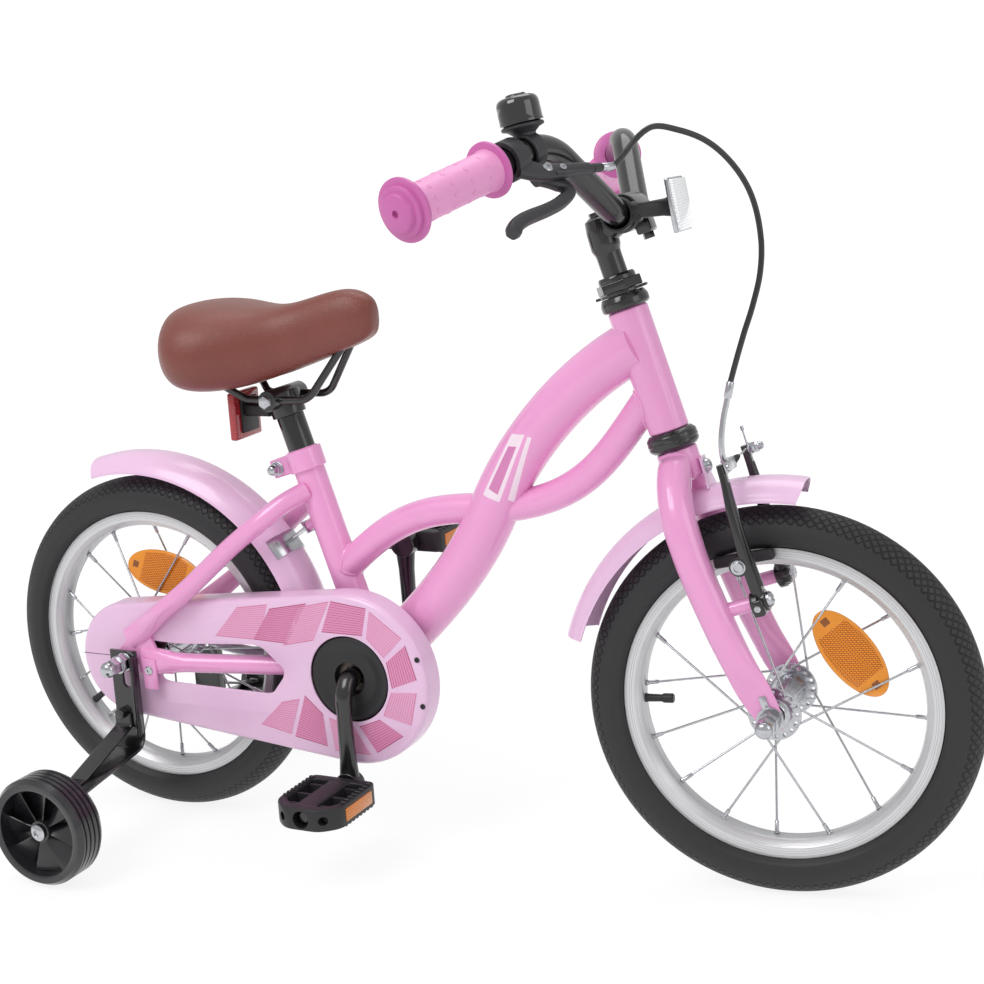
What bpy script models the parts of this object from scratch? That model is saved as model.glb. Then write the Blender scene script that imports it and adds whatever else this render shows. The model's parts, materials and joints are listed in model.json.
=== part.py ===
"""A child's bicycle with stabilisers, one object for each piece.

Units are metres. +X points forward, +Y to the rider's left and +Z up. The
origin lies on the centre plane, where the rear tyre meets the ground.
The fork and everything on it are modelled pointing straight ahead and then
turned together by an empty on the steering axis.
"""
import math

import bmesh
import bpy
from mathutils import Matrix, Vector
from mathutils.geometry import interpolate_bezier

# Clearances
GAP = 0.0003            # between pieces that touch
TURN_GAP = 0.0005       # round a shaft that turns
WELD = 0.000005         # points closer than this are one point
FLAT_ANGLE = math.radians(0.8)

# Wheels
WHEELBASE = 0.6253
TYRE_RADIUS = 0.1657
TYRE_SECTION = 0.0208
TREAD_HALF_WIDTH = 0.0045
TYRE_STEPS = 28
RIM_RADIUS = 0.1330
RIM_HALF_WIDTH = 0.0139
RIM_DEPTH = 0.0150
RIM_WALL = 0.0016
RIM_WELL_HALF_WIDTH = 0.0062
BEAD_DEPTH = 0.0045
SPOKE_COUNT = 16
SPOKE_RADIUS = 0.0010
SPOKE_LEAN = math.radians(45.0)
AXLE_RADIUS = 0.0048
FRONT_FLANGE_RADIUS = 0.0220
FRONT_FLANGE_OFFSET = 0.0360
FRONT_SHELL_RADIUS = 0.0120
REAR_FLANGE_RADIUS = 0.0270
REAR_FLANGE_OFFSET = 0.0300
REAR_SHELL_RADIUS = 0.0200
FLANGE_THICKNESS = 0.0025
SPOKE_HOLE_INSET = 0.0028
SPOKE_REFLECTOR_RADIUS = 0.0745
SPOKE_REFLECTOR_LENGTH = 0.0840
SPOKE_REFLECTOR_HEIGHT = 0.0400
SPOKE_REFLECTOR_THICKNESS = 0.0050
SPOKE_REFLECTOR_SEAT = 0.0067

# Steering
HEAD_ANGLE = math.radians(72.14)
STEER_ANGLE = math.radians(7.24)
FORK_RAKE = 0.0160
FORK_HEIGHT = 0.2271        # front axle to the crown, along the steering axis
CROWN_HEIGHT = 0.0260
CROWN_RADIUS = 0.0172
LEG_RADIUS = 0.0143
LEG_END_THICKNESS = 0.0052
FRONT_HUB_WIDTH = 0.0960    # between the fork ends
STEERER_RADIUS = 0.0127
STEERER_BORE = 0.0109
QUILL_RADIUS = 0.01055
QUILL_INSERTION = 0.0600
LOWER_STACK = 0.0164        # headset below the head tube
HEAD_TUBE_LENGTH = 0.1055
HEAD_TUBE_RADIUS = 0.0170
HEAD_TUBE_BORE = 0.0150
UPPER_CUP_HEIGHT = 0.0125
LOCKNUT_HEIGHT = 0.0165
CUP_SPIGOT = 0.0070
STEM_RISE = 0.0442          # locknut to the middle of the handlebar
STEM_REACH = 0.0263
STEM_CLAMP_LENGTH = 0.0400
STEM_CLAMP_RADIUS = 0.0160

# Handlebar
BAR_RADIUS = 0.0111
BAR_FLAT = 0.0300           # half of the straight middle
BAR_RISE = 0.0594
BAR_SHOULDER = 0.1070
BAR_SETBACK = 0.0311
BAR_HALF_WIDTH = 0.2555
GRIP_SWEEP = 0.3840         # back, for each unit outward
GRIP_DROOP = 0.2670         # down, for each unit outward
GRIP_START = 0.1680
GRIP_RADIUS = 0.0152
GRIP_INNER_FLANGE = 0.0215
GRIP_END_FLANGE = 0.0240
GRIP_END_CAP = 0.0110

# Frame
BRACKET_X = 0.2385
BRACKET_HEIGHT = 0.1660
BRACKET_RADIUS = 0.0255
BRACKET_BORE = 0.0225
BRACKET_WIDTH = 0.0680
SEAT_ANGLE = math.radians(72.54)
SEAT_TUBE_LENGTH = 0.2080
SEAT_TUBE_RADIUS = 0.0143
SEAT_POST_RADIUS = 0.0127
SEAT_BORE_DEPTH = 0.1300
MAIN_TUBE_RADIUS = 0.0222
MAIN_TUBE_DROP = 0.0300     # its axis below the head tube's top
LOOP_RADIUS = 0.0134
LOOP_HEAD_RISE = 0.0357     # above the head tube's foot
LOOP_SEAT_RISE = 0.0896     # above the bottom bracket
CROSSING_X = 0.3688
CROSSING_Z = 0.3177
STAY_RADIUS = 0.0090
REAR_HUB_WIDTH = 0.1060     # between the dropouts
DROPOUT_THICKNESS = 0.0045
DROPOUT_SLOT_OPENING = 0.0300

# Drive
CHAIN_PITCH = 0.0127
FRONT_TEETH = 28
REAR_TEETH = 16
CHAIN_LINE = 0.0425
SPROCKET_THICKNESS = 0.0022
CHAIN_WIDTH = 0.0078
LINK_HALF_HEIGHT = 0.0044
LINK_HALF_WAIST = 0.0034
CRANK_LENGTH = 0.0955
CRANK_OFFSET = 0.0650
CRANK_SPINDLE_RADIUS = 0.0085
DISC_RADIUS = 0.0390
PEDAL_WIDTH = 0.0760
PEDAL_LENGTH = 0.0660
PEDAL_HEIGHT = 0.0220
PEDAL_SPINDLE_RADIUS = 0.0045

# Chain guard
GUARD_FRONT_RADIUS = 0.0795
GUARD_TAIL_RADIUS = 0.0550
GUARD_TAIL_BACK = 0.0050
GUARD_DEPTH = 0.0240
GUARD_WALL = 0.0018
GUARD_EDGE = 0.0050

# Mudguards
MUDGUARD_RADIUS = 0.1897
MUDGUARD_HALF_WIDTH = 0.0260
MUDGUARD_DROP = 0.0140
MUDGUARD_THICKNESS = 0.0013
FRONT_MUDGUARD_ANGLES = (83.0, 164.0)
REAR_MUDGUARD_ANGLES = (11.0, 106.5)
MUDGUARD_SHAPE = ((0.0, 0.0), (0.45, 0.10), (0.80, 0.50), (1.0, 1.0))

# Saddle
SEAT_STANDOFF = 0.0480      # seat tube top to the saddle clamp

# Stabilisers
STABILISER_RADIUS = 0.0504
STABILISER_LIFT = 0.0020
STABILISER_TRACK = 0.1990
STABILISER_WIDTH = 0.0340
BRACKET_PLATE = 0.0030
BRACKET_PLATE_OFFSET = 0.0640
BRACKET_PLATE_WIDTH = 0.0300

# Brake lever
LEVER_RING = 0.1480
LEVER_PIVOT = (0.0170, 0.0215)
BODY_ABOVE = 0.0046
BLADE_ABOVE = -0.0038
PIN_RADIUS = 0.0028

# Bell
BELL_AT = 0.1270
BELL_DIAMETER = 0.0330
BELL_HEIGHT = 0.0225
DOME_LOW = 0.0075

# Front reflector
REFLECTOR_WIDTH = 0.0460
REFLECTOR_HEIGHT = 0.0440
REFLECTOR_THICKNESS = 0.0070

# Front brake and its cable
BOSS_HEIGHT = 0.0943        # brake pivots above the front axle
BOSS_AHEAD = 0.0330
ARM_TOP = 0.2085
ARM_TOP_LEFT = 0.0445
PAD_HEIGHT = 0.1272
PAD_AHEAD = 0.0300
POST_AHEAD = 0.0335
PAD_GAP = 0.0016
PAD_THICKNESS = 0.0095
POST_RADIUS = 0.0030
NOODLE_RADIUS = 0.0024
NOODLE_TOP = (0.2560, 0.0630, -0.0300)
WIRE_RADIUS = 0.0008
CABLE_RADIUS = 0.0025
FERRULE_RADIUS = 0.0033

# Ends of the hubs and axles
FRONT_HUB_END = 0.0405
REAR_HUB_END = 0.0370
FRONT_TIP = 0.0845
REAR_TIP = 0.0980
FRONT_WASHER_RADIUS = 0.0112
REAR_WASHER_RADIUS = 0.0090

# Coaster brake arm
CLIP_X = 0.1180

# Seat clamp, post and rails
CLAMP_HEIGHT = 0.0190
POST_INSERTION = 0.0900
RAIL_SPREAD = 0.0185
RAIL_RADIUS = 0.0035

# Colours
PINK = "#F2A6D6"
LIGHT_PINK = "#F3C0E2"
GRIP_PINK = "#EE8FCB"
BLACK = "#1C1B1E"
STEEL = "#C9CBCE"
AMBER = "#F0960F"

UP = Vector((0.0, 0.0, 1.0))
LEFT = Vector((0.0, 1.0, 0.0))

for item in list(bpy.data.objects):
    bpy.data.objects.remove(item)

BIKE = bpy.data.collections.new("kids_bike")
bpy.context.scene.collection.children.link(BIKE)


# Helpers that make and join solids
def linked(name, data):
    """Put new data into the bicycle's collection as an object."""
    item = bpy.data.objects.new(name, data)
    BIKE.objects.link(item)
    return item


def from_bmesh(bm, name="piece"):
    """Turn a bmesh into an object with its faces pointing out."""
    bmesh.ops.recalc_face_normals(bm, faces=bm.faces)
    mesh = bpy.data.meshes.new(name)
    bm.to_mesh(mesh)
    bm.free()
    return linked(name, mesh)


def as_mesh(source, name="piece"):
    """Replace a curve or a modified mesh with its welded, evaluated mesh."""
    bpy.context.view_layer.update()
    graph = bpy.context.evaluated_depsgraph_get()
    mesh = bpy.data.meshes.new_from_object(source.evaluated_get(graph))
    mesh.transform(source.matrix_world)
    bm = bmesh.new()
    bm.from_mesh(mesh)
    bmesh.ops.remove_doubles(bm, verts=bm.verts, dist=WELD)
    bmesh.ops.dissolve_degenerate(bm, edges=bm.edges, dist=WELD)
    loose = [edge for edge in bm.edges if not edge.link_faces]
    bmesh.ops.delete(bm, geom=loose, context="EDGES")
    bpy.data.meshes.remove(mesh)
    bpy.data.objects.remove(source)
    return from_bmesh(bm, name)


def aim(origin, axis, side=None):
    """Matrix with its Z along an axis and its X toward a side."""
    z = axis.normalized()
    if side is None:
        side = LEFT if abs(z.y) < 0.9 else Vector((1.0, 0.0, 0.0))
    x = (side - z * side.dot(z)).normalized()
    y = z.cross(x)
    return Matrix.Translation(origin) @ Matrix((x, y, z)).transposed().to_4x4()


def rod(start, end, radius, sides=16, end_radius=None, side=None):
    """Solid cylinder or cone between two points."""
    bm = bmesh.new()
    axis = end - start
    bmesh.ops.create_cone(
        bm, cap_ends=True, segments=sides, radius1=radius,
        radius2=radius if end_radius is None else end_radius,
        depth=axis.length, matrix=aim((start + end) / 2, axis, side))
    return from_bmesh(bm)


def box(centre, size, matrix=None, bevel=0.0, segments=1):
    """Box with optional rounded edges, placed by a matrix."""
    bm = bmesh.new()
    bmesh.ops.create_cube(bm, size=1.0)
    bmesh.ops.scale(bm, vec=Vector(size), verts=bm.verts)
    if bevel:
        bmesh.ops.bevel(bm, geom=bm.edges[:], offset=bevel, segments=segments,
                        profile=0.5, affect="EDGES")
    place = Matrix.Translation(centre)
    if matrix is not None:
        place = matrix @ place
    bmesh.ops.transform(bm, matrix=place, verts=bm.verts)
    return from_bmesh(bm)


def ball(centre, radius, rings=8, sides=12, scale=(1.0, 1.0, 1.0), matrix=None):
    """Sphere or ellipsoid."""
    bm = bmesh.new()
    bmesh.ops.create_uvsphere(bm, u_segments=sides, v_segments=rings, radius=radius)
    bmesh.ops.scale(bm, vec=Vector(scale), verts=bm.verts)
    place = Matrix.Translation(centre)
    if matrix is not None:
        place = place @ matrix
    bmesh.ops.transform(bm, matrix=place, verts=bm.verts)
    return from_bmesh(bm)


def turned(profile, origin, axis, steps=24, closed=True, side=None, phase=0.0):
    """Revolve a profile of (radius, height) points about an axis."""
    mesh = bpy.data.meshes.new("profile")
    points = [(r * math.cos(phase), r * math.sin(phase), h) for r, h in profile]
    edges = [(i, i + 1) for i in range(len(points) - 1)]
    if closed:
        edges.append((len(points) - 1, 0))
    mesh.from_pydata(points, edges, [])
    item = linked("profile", mesh)
    turn = item.modifiers.new("Turn", "SCREW")
    turn.angle = math.tau
    turn.steps = steps
    turn.render_steps = steps
    turn.use_merge_vertices = True
    turn.merge_threshold = 0.00001
    item.matrix_world = aim(origin, axis, side)
    return as_mesh(item)


def tube(points, radius, resolution=2, radii=None):
    """Round bar along a chain of points, with filled ends."""
    curve = bpy.data.curves.new("path", "CURVE")
    curve.dimensions = "3D"
    curve.bevel_depth = radius
    curve.bevel_resolution = resolution
    curve.use_fill_caps = True
    spline = curve.splines.new("POLY")
    spline.points.add(len(points) - 1)
    for i, point in enumerate(points):
        spline.points[i].co = (*point, 1.0)
        if radii:
            spline.points[i].radius = radii[i] / radius
    return as_mesh(linked("path", curve))


def plate(outline, thickness, matrix, holes=()):
    """Flat outline of given thickness, standing on both sides of its plane."""
    curve = bpy.data.curves.new("outline", "CURVE")
    curve.dimensions = "2D"
    curve.fill_mode = "BOTH"
    curve.extrude = thickness / 2
    for loop in (outline, *holes):
        spline = curve.splines.new("POLY")
        spline.points.add(len(loop) - 1)
        for i, (x, y) in enumerate(loop):
            spline.points[i].co = (x, y, 0.0, 1.0)
        spline.use_cyclic_u = True
    item = linked("outline", curve)
    item.matrix_world = matrix
    return as_mesh(item)


def loft(stations, sides=12, power=2.0):
    """Skin over sections, each a centre and two half-width vectors.

    A power of two gives ellipses, and a larger one rounded rectangles.
    """
    bm = bmesh.new()
    rings = []
    for centre, u, v in stations:
        ring = []
        for k in range(sides):
            a = math.tau * (k + 0.5) / sides
            c = math.copysign(abs(math.cos(a)) ** (2.0 / power), math.cos(a))
            s = math.copysign(abs(math.sin(a)) ** (2.0 / power), math.sin(a))
            ring.append(bm.verts.new(centre + u * c + v * s))
        rings.append(ring)
    for low, high in zip(rings, rings[1:]):
        for k in range(sides):
            j = (k + 1) % sides
            bm.faces.new((low[k], low[j], high[j], high[k]))
    bm.faces.new(rings[0])
    bm.faces.new(rings[-1])
    return from_bmesh(bm)


def flattened(solid):
    """Join neighbouring faces that lie in one plane."""
    bm = bmesh.new()
    bm.from_mesh(solid.data)
    bmesh.ops.dissolve_limit(bm, angle_limit=FLAT_ANGLE, use_dissolve_boundaries=False,
                             verts=bm.verts, edges=bm.edges, delimit=set())
    bm.to_mesh(solid.data)
    bm.free()
    return solid


def combine(base, others, operation):
    """Boolean a base with other solids, which are used up."""
    for other in others:
        step = base.modifiers.new("Step", "BOOLEAN")
        step.operation = operation
        step.solver = "EXACT"
        step.object = other
    result = as_mesh(base)
    for other in others:
        bpy.data.objects.remove(other)
    return flattened(result)


def fuse(*solids):
    """Join overlapping solids into one body."""
    return combine(solids[0], solids[1:], "UNION")


def cut(base, *cutters):
    """Take cutters away from a solid."""
    return combine(base, cutters, "DIFFERENCE")


def mirrored(solid, keep=True):
    """Copy of a solid on the other side of the centre plane."""
    bm = bmesh.new()
    bm.from_mesh(solid.data)
    bmesh.ops.transform(bm, matrix=Matrix.Scale(-1.0, 4, LEFT), verts=bm.verts)
    if not keep:
        bpy.data.objects.remove(solid)
    return from_bmesh(bm)


def moved(solid, matrix):
    """Transform a solid's own points."""
    solid.data.transform(matrix)
    return solid


def copied(solid):
    """Second object with its own copy of the mesh."""
    return linked(solid.name, solid.data.copy())


def finish(solid, name, colour, roughness, metallic=0.0, origin=None, parent=None,
           crease=38.0):
    """Name, colour, shade and place a finished piece."""
    solid.name = name
    solid.data.name = name
    material = bpy.data.materials.new(name)
    material.use_nodes = True
    shader = material.node_tree.nodes["Principled BSDF"]
    rgb = [int(colour[i:i + 2], 16) / 255 for i in (1, 3, 5)]
    linear = [c / 12.92 if c <= 0.04045 else ((c + 0.055) / 1.055) ** 2.4 for c in rgb]
    shader.inputs["Base Color"].default_value = (*linear, 1.0)
    shader.inputs["Roughness"].default_value = roughness
    shader.inputs["Metallic"].default_value = metallic
    material.diffuse_color = (*linear, 1.0)
    solid.data.materials.clear()
    solid.data.materials.append(material)
    solid.data.shade_smooth()
    solid.data.set_sharp_from_angle(angle=math.radians(crease))
    if origin is not None:
        solid.data.transform(Matrix.Translation(-origin))
        solid.location = origin
    if parent is not None:
        solid.parent = parent
        solid.matrix_parent_inverse = Matrix.Translation(-STEER_PIVOT)
    return solid


# Helpers that lay out points
def circle(radius, count, centre=(0.0, 0.0), start=0.0, end=math.tau, closed=True):
    """Points on a circle or, with ends, on an arc."""
    span = end - start
    last = count if closed else count - 1
    return [(centre[0] + radius * math.cos(start + span * i / last),
             centre[1] + radius * math.sin(start + span * i / last))
            for i in range(count)]


def smooth_path(points, steps=6):
    """Curve through points, with tangents taken from their neighbours."""
    points = [Vector(p) for p in points]
    result = []
    for i in range(len(points) - 1):
        before = points[max(i - 1, 0)]
        after = points[min(i + 2, len(points) - 1)]
        a, b = points[i], points[i + 1]
        span = (b - a).length
        ta = (b - before).normalized() * span / 3
        tb = (after - a).normalized() * span / 3
        result += list(interpolate_bezier(a, a + ta, b - tb, b, steps + 1))[:-1]
    return result + [points[-1]]


def rounded_path(corners, radii, steps=5):
    """Straight runs joined by tangent arcs at the corners."""
    corners = [Vector(p) for p in corners]
    result = [corners[0]]
    for i in range(1, len(corners) - 1):
        before = (corners[i - 1] - corners[i]).normalized()
        after = (corners[i + 1] - corners[i]).normalized()
        half = before.angle(after) / 2
        reach = radii[i - 1] / math.tan(half)
        centre = corners[i] + (before + after).normalized() * radii[i - 1] / math.sin(half)
        start = corners[i] + before * reach - centre
        end = corners[i] + after * reach - centre
        for k in range(steps + 1):
            result.append(centre + start.slerp(end, k / steps).normalized() * radii[i - 1])
    return result + [corners[-1]]


def bend(start, start_angle, start_pull, end, end_angle, end_pull, count):
    """Bezier in the centre plane, from one direction to another."""
    a = Vector((start[0], 0.0, start[1]))
    b = Vector((end[0], 0.0, end[1]))
    da = Vector((math.cos(start_angle), 0.0, math.sin(start_angle)))
    db = Vector((math.cos(end_angle), 0.0, math.sin(end_angle)))
    return list(interpolate_bezier(a, a + da * start_pull, b - db * end_pull, b, count))


def keyhole(radius, length):
    """Outline of a round hole with a straight slot out of it along X."""
    return circle(radius, 11, start=math.pi / 4, end=1.75 * math.pi, closed=False) + [
        (length, -radius * 0.9), (length, radius * 0.9)]


# Places that everything is built from
REAR_AXLE = Vector((0.0, 0.0, TYRE_RADIUS))
FRONT_AXLE = Vector((WHEELBASE, 0.0, TYRE_RADIUS))
STEER_UP = Vector((-math.cos(HEAD_ANGLE), 0.0, math.sin(HEAD_ANGLE)))
STEER_AHEAD = Vector((math.sin(HEAD_ANGLE), 0.0, math.cos(HEAD_ANGLE)))
STEER_FOOT = FRONT_AXLE - STEER_AHEAD * FORK_RAKE
HEAD_LOW = FORK_HEIGHT + LOWER_STACK
HEAD_TOP = HEAD_LOW + HEAD_TUBE_LENGTH
STEER_PIVOT = STEER_FOOT + STEER_UP * HEAD_LOW
BRACKET = Vector((BRACKET_X, 0.0, BRACKET_HEIGHT))
SEAT_UP = Vector((-math.cos(SEAT_ANGLE), 0.0, math.sin(SEAT_ANGLE)))
SEAT_AHEAD = Vector((math.sin(SEAT_ANGLE), 0.0, math.cos(SEAT_ANGLE)))
SEAT_TOP = BRACKET + SEAT_UP * SEAT_TUBE_LENGTH
AHEAD = Vector((1.0, 0.0, 0.0))


def head(along, ahead=0.0, left=0.0):
    """Point in the fork's own frame, measured from beside the front axle."""
    return STEER_FOOT + STEER_UP * along + STEER_AHEAD * ahead + LEFT * left


def seat(along, ahead=0.0, left=0.0):
    """Point in the seat tube's frame, measured from its top."""
    return SEAT_TOP + SEAT_UP * along + SEAT_AHEAD * ahead + LEFT * left


steering = bpy.data.objects.new("steering_axis", None)
BIKE.objects.link(steering)
steering.empty_display_size = 0.05
steering.location = STEER_PIVOT
steering.rotation_mode = "QUATERNION"
steering.rotation_quaternion = Matrix.Rotation(STEER_ANGLE, 4, STEER_UP).to_quaternion()


# Main frame
BORE = SEAT_POST_RADIUS + GAP
head_tube = rod(head(HEAD_LOW), head(HEAD_TOP), HEAD_TUBE_RADIUS, 18)
main_start = head(HEAD_TOP - MAIN_TUBE_DROP)
crossing = (CROSSING_X, CROSSING_Z)
upper_run = bend((main_start.x, main_start.z), math.radians(206.0), 0.066,
                 crossing, math.radians(244.0), 0.066, 7)
lower_run = bend(crossing, math.radians(244.0), 0.066,
                 (BRACKET.x, BRACKET.z), math.radians(220.0), 0.064, 7)
main_tube = tube(upper_run + lower_run[1:], MAIN_TUBE_RADIUS, 3)
loop_start = head(HEAD_LOW + LOOP_HEAD_RISE)
loop_end = BRACKET + SEAT_UP * LOOP_SEAT_RISE
front_loop = tube(bend((loop_start.x, loop_start.z), math.radians(232.3), 0.0755,
                       crossing, math.radians(187.0), 0.0920, 8), LOOP_RADIUS, 2)
rear_loop = tube(bend(crossing, math.radians(182.0), 0.0640,
                      (loop_end.x, loop_end.z), math.radians(224.3), 0.0830, 7),
                 LOOP_RADIUS, 2)
seat_tube = rod(BRACKET, SEAT_TOP, SEAT_TUBE_RADIUS, 16)
shell = rod(BRACKET - LEFT * BRACKET_WIDTH / 2, BRACKET + LEFT * BRACKET_WIDTH / 2,
            BRACKET_RADIUS, 20)
frame = fuse(main_tube, head_tube, front_loop, rear_loop, seat_tube, shell)

DROPOUT_Y = REAR_HUB_WIDTH / 2 + DROPOUT_THICKNESS / 2
STAY_END_Y = DROPOUT_Y + 0.0018
STAY_BULGE_Y = REAR_HUB_WIDTH / 2 + STAY_RADIUS + GAP
seat_stay_points = [
    (Vector((0.0015, STAY_END_Y, TYRE_RADIUS + 0.0200)), 0.0040, 0.0105),
    (Vector((0.0200, STAY_END_Y + 0.0012, TYRE_RADIUS + 0.0320)), 0.0048, 0.0105),
    (Vector((0.0460, STAY_BULGE_Y, TYRE_RADIUS + 0.0520)), 0.0088, 0.0092),
    (Vector((0.0750, STAY_BULGE_Y - 0.0015, TYRE_RADIUS + 0.0735)), 0.0090, 0.0090),
    (Vector((0.1217, 0.0510, 0.2801)), 0.0090, 0.0090),
    (Vector((0.1500, 0.0430, 0.3025)), 0.0090, 0.0090),
    (Vector((0.1685, 0.0290, 0.3180)), 0.0090, 0.0090),
    (seat(-0.0375, -0.0030, 0.0110), 0.0090, 0.0090),
]
chain_stay_points = [
    (Vector((0.0150, DROPOUT_Y + 0.0018, TYRE_RADIUS)), 0.0038, 0.0125),
    (Vector((0.0300, DROPOUT_Y + 0.0026, TYRE_RADIUS)), 0.0044, 0.0122),
    (Vector((0.0450, DROPOUT_Y - 0.0002, TYRE_RADIUS)), 0.0078, 0.0105),
    (Vector((0.0620, DROPOUT_Y - 0.0030, TYRE_RADIUS)), 0.0090, 0.0090),
    (Vector((0.1000, 0.0450, TYRE_RADIUS)), 0.0090, 0.0090),
    (Vector((0.1500, 0.0350, TYRE_RADIUS)), 0.0090, 0.0090),
    (Vector((0.1850, 0.0283, TYRE_RADIUS)), 0.0090, 0.0090),
    (BRACKET + Vector((-0.0140, 0.0235, 0.0)), 0.0090, 0.0090),
]


def stay(points, sides=8):
    """Bent tube whose rear end is pressed flat against the dropout."""
    stations = []
    for i, (centre, thick, tall) in enumerate(points):
        before = points[max(i - 1, 0)][0]
        after = points[min(i + 1, len(points) - 1)][0]
        along = (after - before).normalized()
        across = (LEFT - along * along.y).normalized()
        stations.append((centre, across * thick, along.cross(across) * tall))
    return loft(stations, sides)


def dropout():
    """Slotted plate that carries one end of the rear axle."""
    nose = [(0.0240, -0.0125), (0.0480, -0.0110), (0.0480, 0.0110), (0.0300, 0.0125)]
    top = [(0.0210, 0.0330), (0.0080, 0.0330)]
    back = circle(0.0150, 6, start=math.radians(115.0), end=math.radians(255.0), closed=False)
    outline = nose + top + back
    solid = plate(outline, DROPOUT_THICKNESS,
                  Matrix.Translation(REAR_AXLE + LEFT * DROPOUT_Y) @ Matrix.Rotation(math.pi / 2, 4, "X"))
    mouth = plate(keyhole(AXLE_RADIUS + GAP, DROPOUT_SLOT_OPENING), DROPOUT_THICKNESS * 3,
                  aim(REAR_AXLE + LEFT * DROPOUT_Y, LEFT, -AHEAD))
    return cut(solid, mouth)


left_rear = fuse(dropout(), stay(seat_stay_points), stay(chain_stay_points))
right_rear = mirrored(left_rear)
lug_base = seat(-0.0660, -SEAT_TUBE_RADIUS + 0.0040)
LUG_WAY = (REAR_AXLE - lug_base).normalized()
lug_tip = lug_base + LUG_WAY * 0.0120
mudguard_lug = rod(lug_base, lug_tip, 0.0050, 8)
frame = fuse(frame, left_rear, right_rear, mudguard_lug)
frame = cut(
    frame,
    rod(head(HEAD_LOW - 0.01), head(HEAD_TOP + 0.01), HEAD_TUBE_BORE, 18),
    rod(BRACKET - LEFT * BRACKET_WIDTH, BRACKET + LEFT * BRACKET_WIDTH, BRACKET_BORE, 20),
    rod(seat(-SEAT_BORE_DEPTH), seat(0.01), BORE, 16))
finish(frame, "main_frame", PINK, 0.28)

# Headset
SPIGOT = HEAD_TUBE_BORE - GAP
CUP_BORE = STEERER_RADIUS + GAP
upper_cup = turned([
    (HEAD_TUBE_RADIUS + 0.0012, 0.0003), (HEAD_TUBE_RADIUS + 0.0034, 0.0025),
    (HEAD_TUBE_RADIUS + 0.0034, 0.0075), (HEAD_TUBE_RADIUS + 0.0010, UPPER_CUP_HEIGHT),
    (CUP_BORE, UPPER_CUP_HEIGHT), (CUP_BORE, -CUP_SPIGOT), (SPIGOT, -CUP_SPIGOT),
    (SPIGOT, 0.0003)][::-1], head(HEAD_TOP), STEER_UP, 16)
finish(upper_cup, "headset_upper_cup", BLACK, 0.35, 0.2)

LOCKNUT_LOW = HEAD_TOP + UPPER_CUP_HEIGHT + GAP
washer_height = 0.0030
washer = turned([
    (CUP_BORE - 0.0010, 0.0), (0.0185, 0.0), (0.0185, washer_height), (0.0158, washer_height),
    (0.0158, LOCKNUT_HEIGHT - 0.0020), (0.0146, LOCKNUT_HEIGHT), (CUP_BORE - 0.0010, LOCKNUT_HEIGHT)],
    head(LOCKNUT_LOW), STEER_UP, 16)
washer_tab = box(Vector((0.0, 0.0, washer_height / 2)), (0.0460, 0.0060, washer_height - 0.0006),
                 aim(head(LOCKNUT_LOW), STEER_UP, STEER_AHEAD))
nut_bottom = LOCKNUT_LOW + washer_height - 0.0004
hex_nut = rod(head(nut_bottom), head(nut_bottom + 0.0084), 0.0196, 6)
locknut = fuse(washer, hex_nut, washer_tab)
locknut = cut(locknut, rod(head(LOCKNUT_LOW - 0.01), head(LOCKNUT_LOW + LOCKNUT_HEIGHT - 0.0018),
                           CUP_BORE, 18),
              rod(head(LOCKNUT_LOW), head(LOCKNUT_LOW + 0.04), QUILL_RADIUS + GAP, 18))
finish(locknut, "headset_locknut", BLACK, 0.3, 0.3, STEER_PIVOT, steering)

lower_cup = turned([
    (SPIGOT, 0.0), (SPIGOT, CUP_SPIGOT), (CUP_BORE, CUP_SPIGOT), (CUP_BORE, -LOWER_STACK + GAP),
    (HEAD_TUBE_RADIUS + 0.0015, -LOWER_STACK + GAP), (HEAD_TUBE_RADIUS + 0.0045, -0.0130),
    (HEAD_TUBE_RADIUS + 0.0045, -0.0040), (HEAD_TUBE_RADIUS + 0.0010, -GAP), (SPIGOT, -GAP)],
    head(HEAD_LOW), STEER_UP, 16)
finish(lower_cup, "headset_lower_cup", BLACK, 0.35, 0.2)

# Fork
LEG_Y = FRONT_HUB_WIDTH / 2 + LEG_END_THICKNESS / 2
leg_points = [
    (FORK_HEIGHT - 0.0060, -0.0010, 0.0078, 0.0070, LEG_RADIUS - 0.0010),
    (FORK_HEIGHT - 0.0160, -0.0020, 0.0190, LEG_RADIUS, LEG_RADIUS),
    (FORK_HEIGHT - 0.0290, -0.0030, 0.0330, LEG_RADIUS, LEG_RADIUS),
    (FORK_HEIGHT - 0.0440, -0.0035, 0.0430, LEG_RADIUS, LEG_RADIUS),
    (FORK_HEIGHT - 0.0620, -0.0035, LEG_Y - 0.0022, LEG_RADIUS, LEG_RADIUS),
    (0.1350, -0.0030, LEG_Y, 0.0136, 0.0140),
    (0.0800, 0.0015, LEG_Y, 0.0125, 0.0138),
    (0.0480, 0.0058, LEG_Y, 0.0095, 0.0135),
    (0.0260, 0.0100, LEG_Y, LEG_END_THICKNESS / 2 + 0.0012, 0.0140),
    (0.0100, 0.0135, LEG_Y, LEG_END_THICKNESS / 2, 0.0125),
    (-0.0020, FORK_RAKE + 0.0004, LEG_Y, LEG_END_THICKNESS / 2, 0.0098),
    (-0.0110, FORK_RAKE + 0.0024, LEG_Y, LEG_END_THICKNESS / 2, 0.0045),
]
stations = []
for i, (along, ahead, left, thick, wide) in enumerate(leg_points):
    low = leg_points[max(i - 1, 0)]
    high = leg_points[min(i + 1, len(leg_points) - 1)]
    run = (head(*high[:3]) - head(*low[:3])).normalized()
    across = (LEFT - run * run.y).normalized()
    stations.append((head(along, ahead, left), across * thick, run.cross(across) * wide))
leg = loft(stations, 10)
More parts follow.
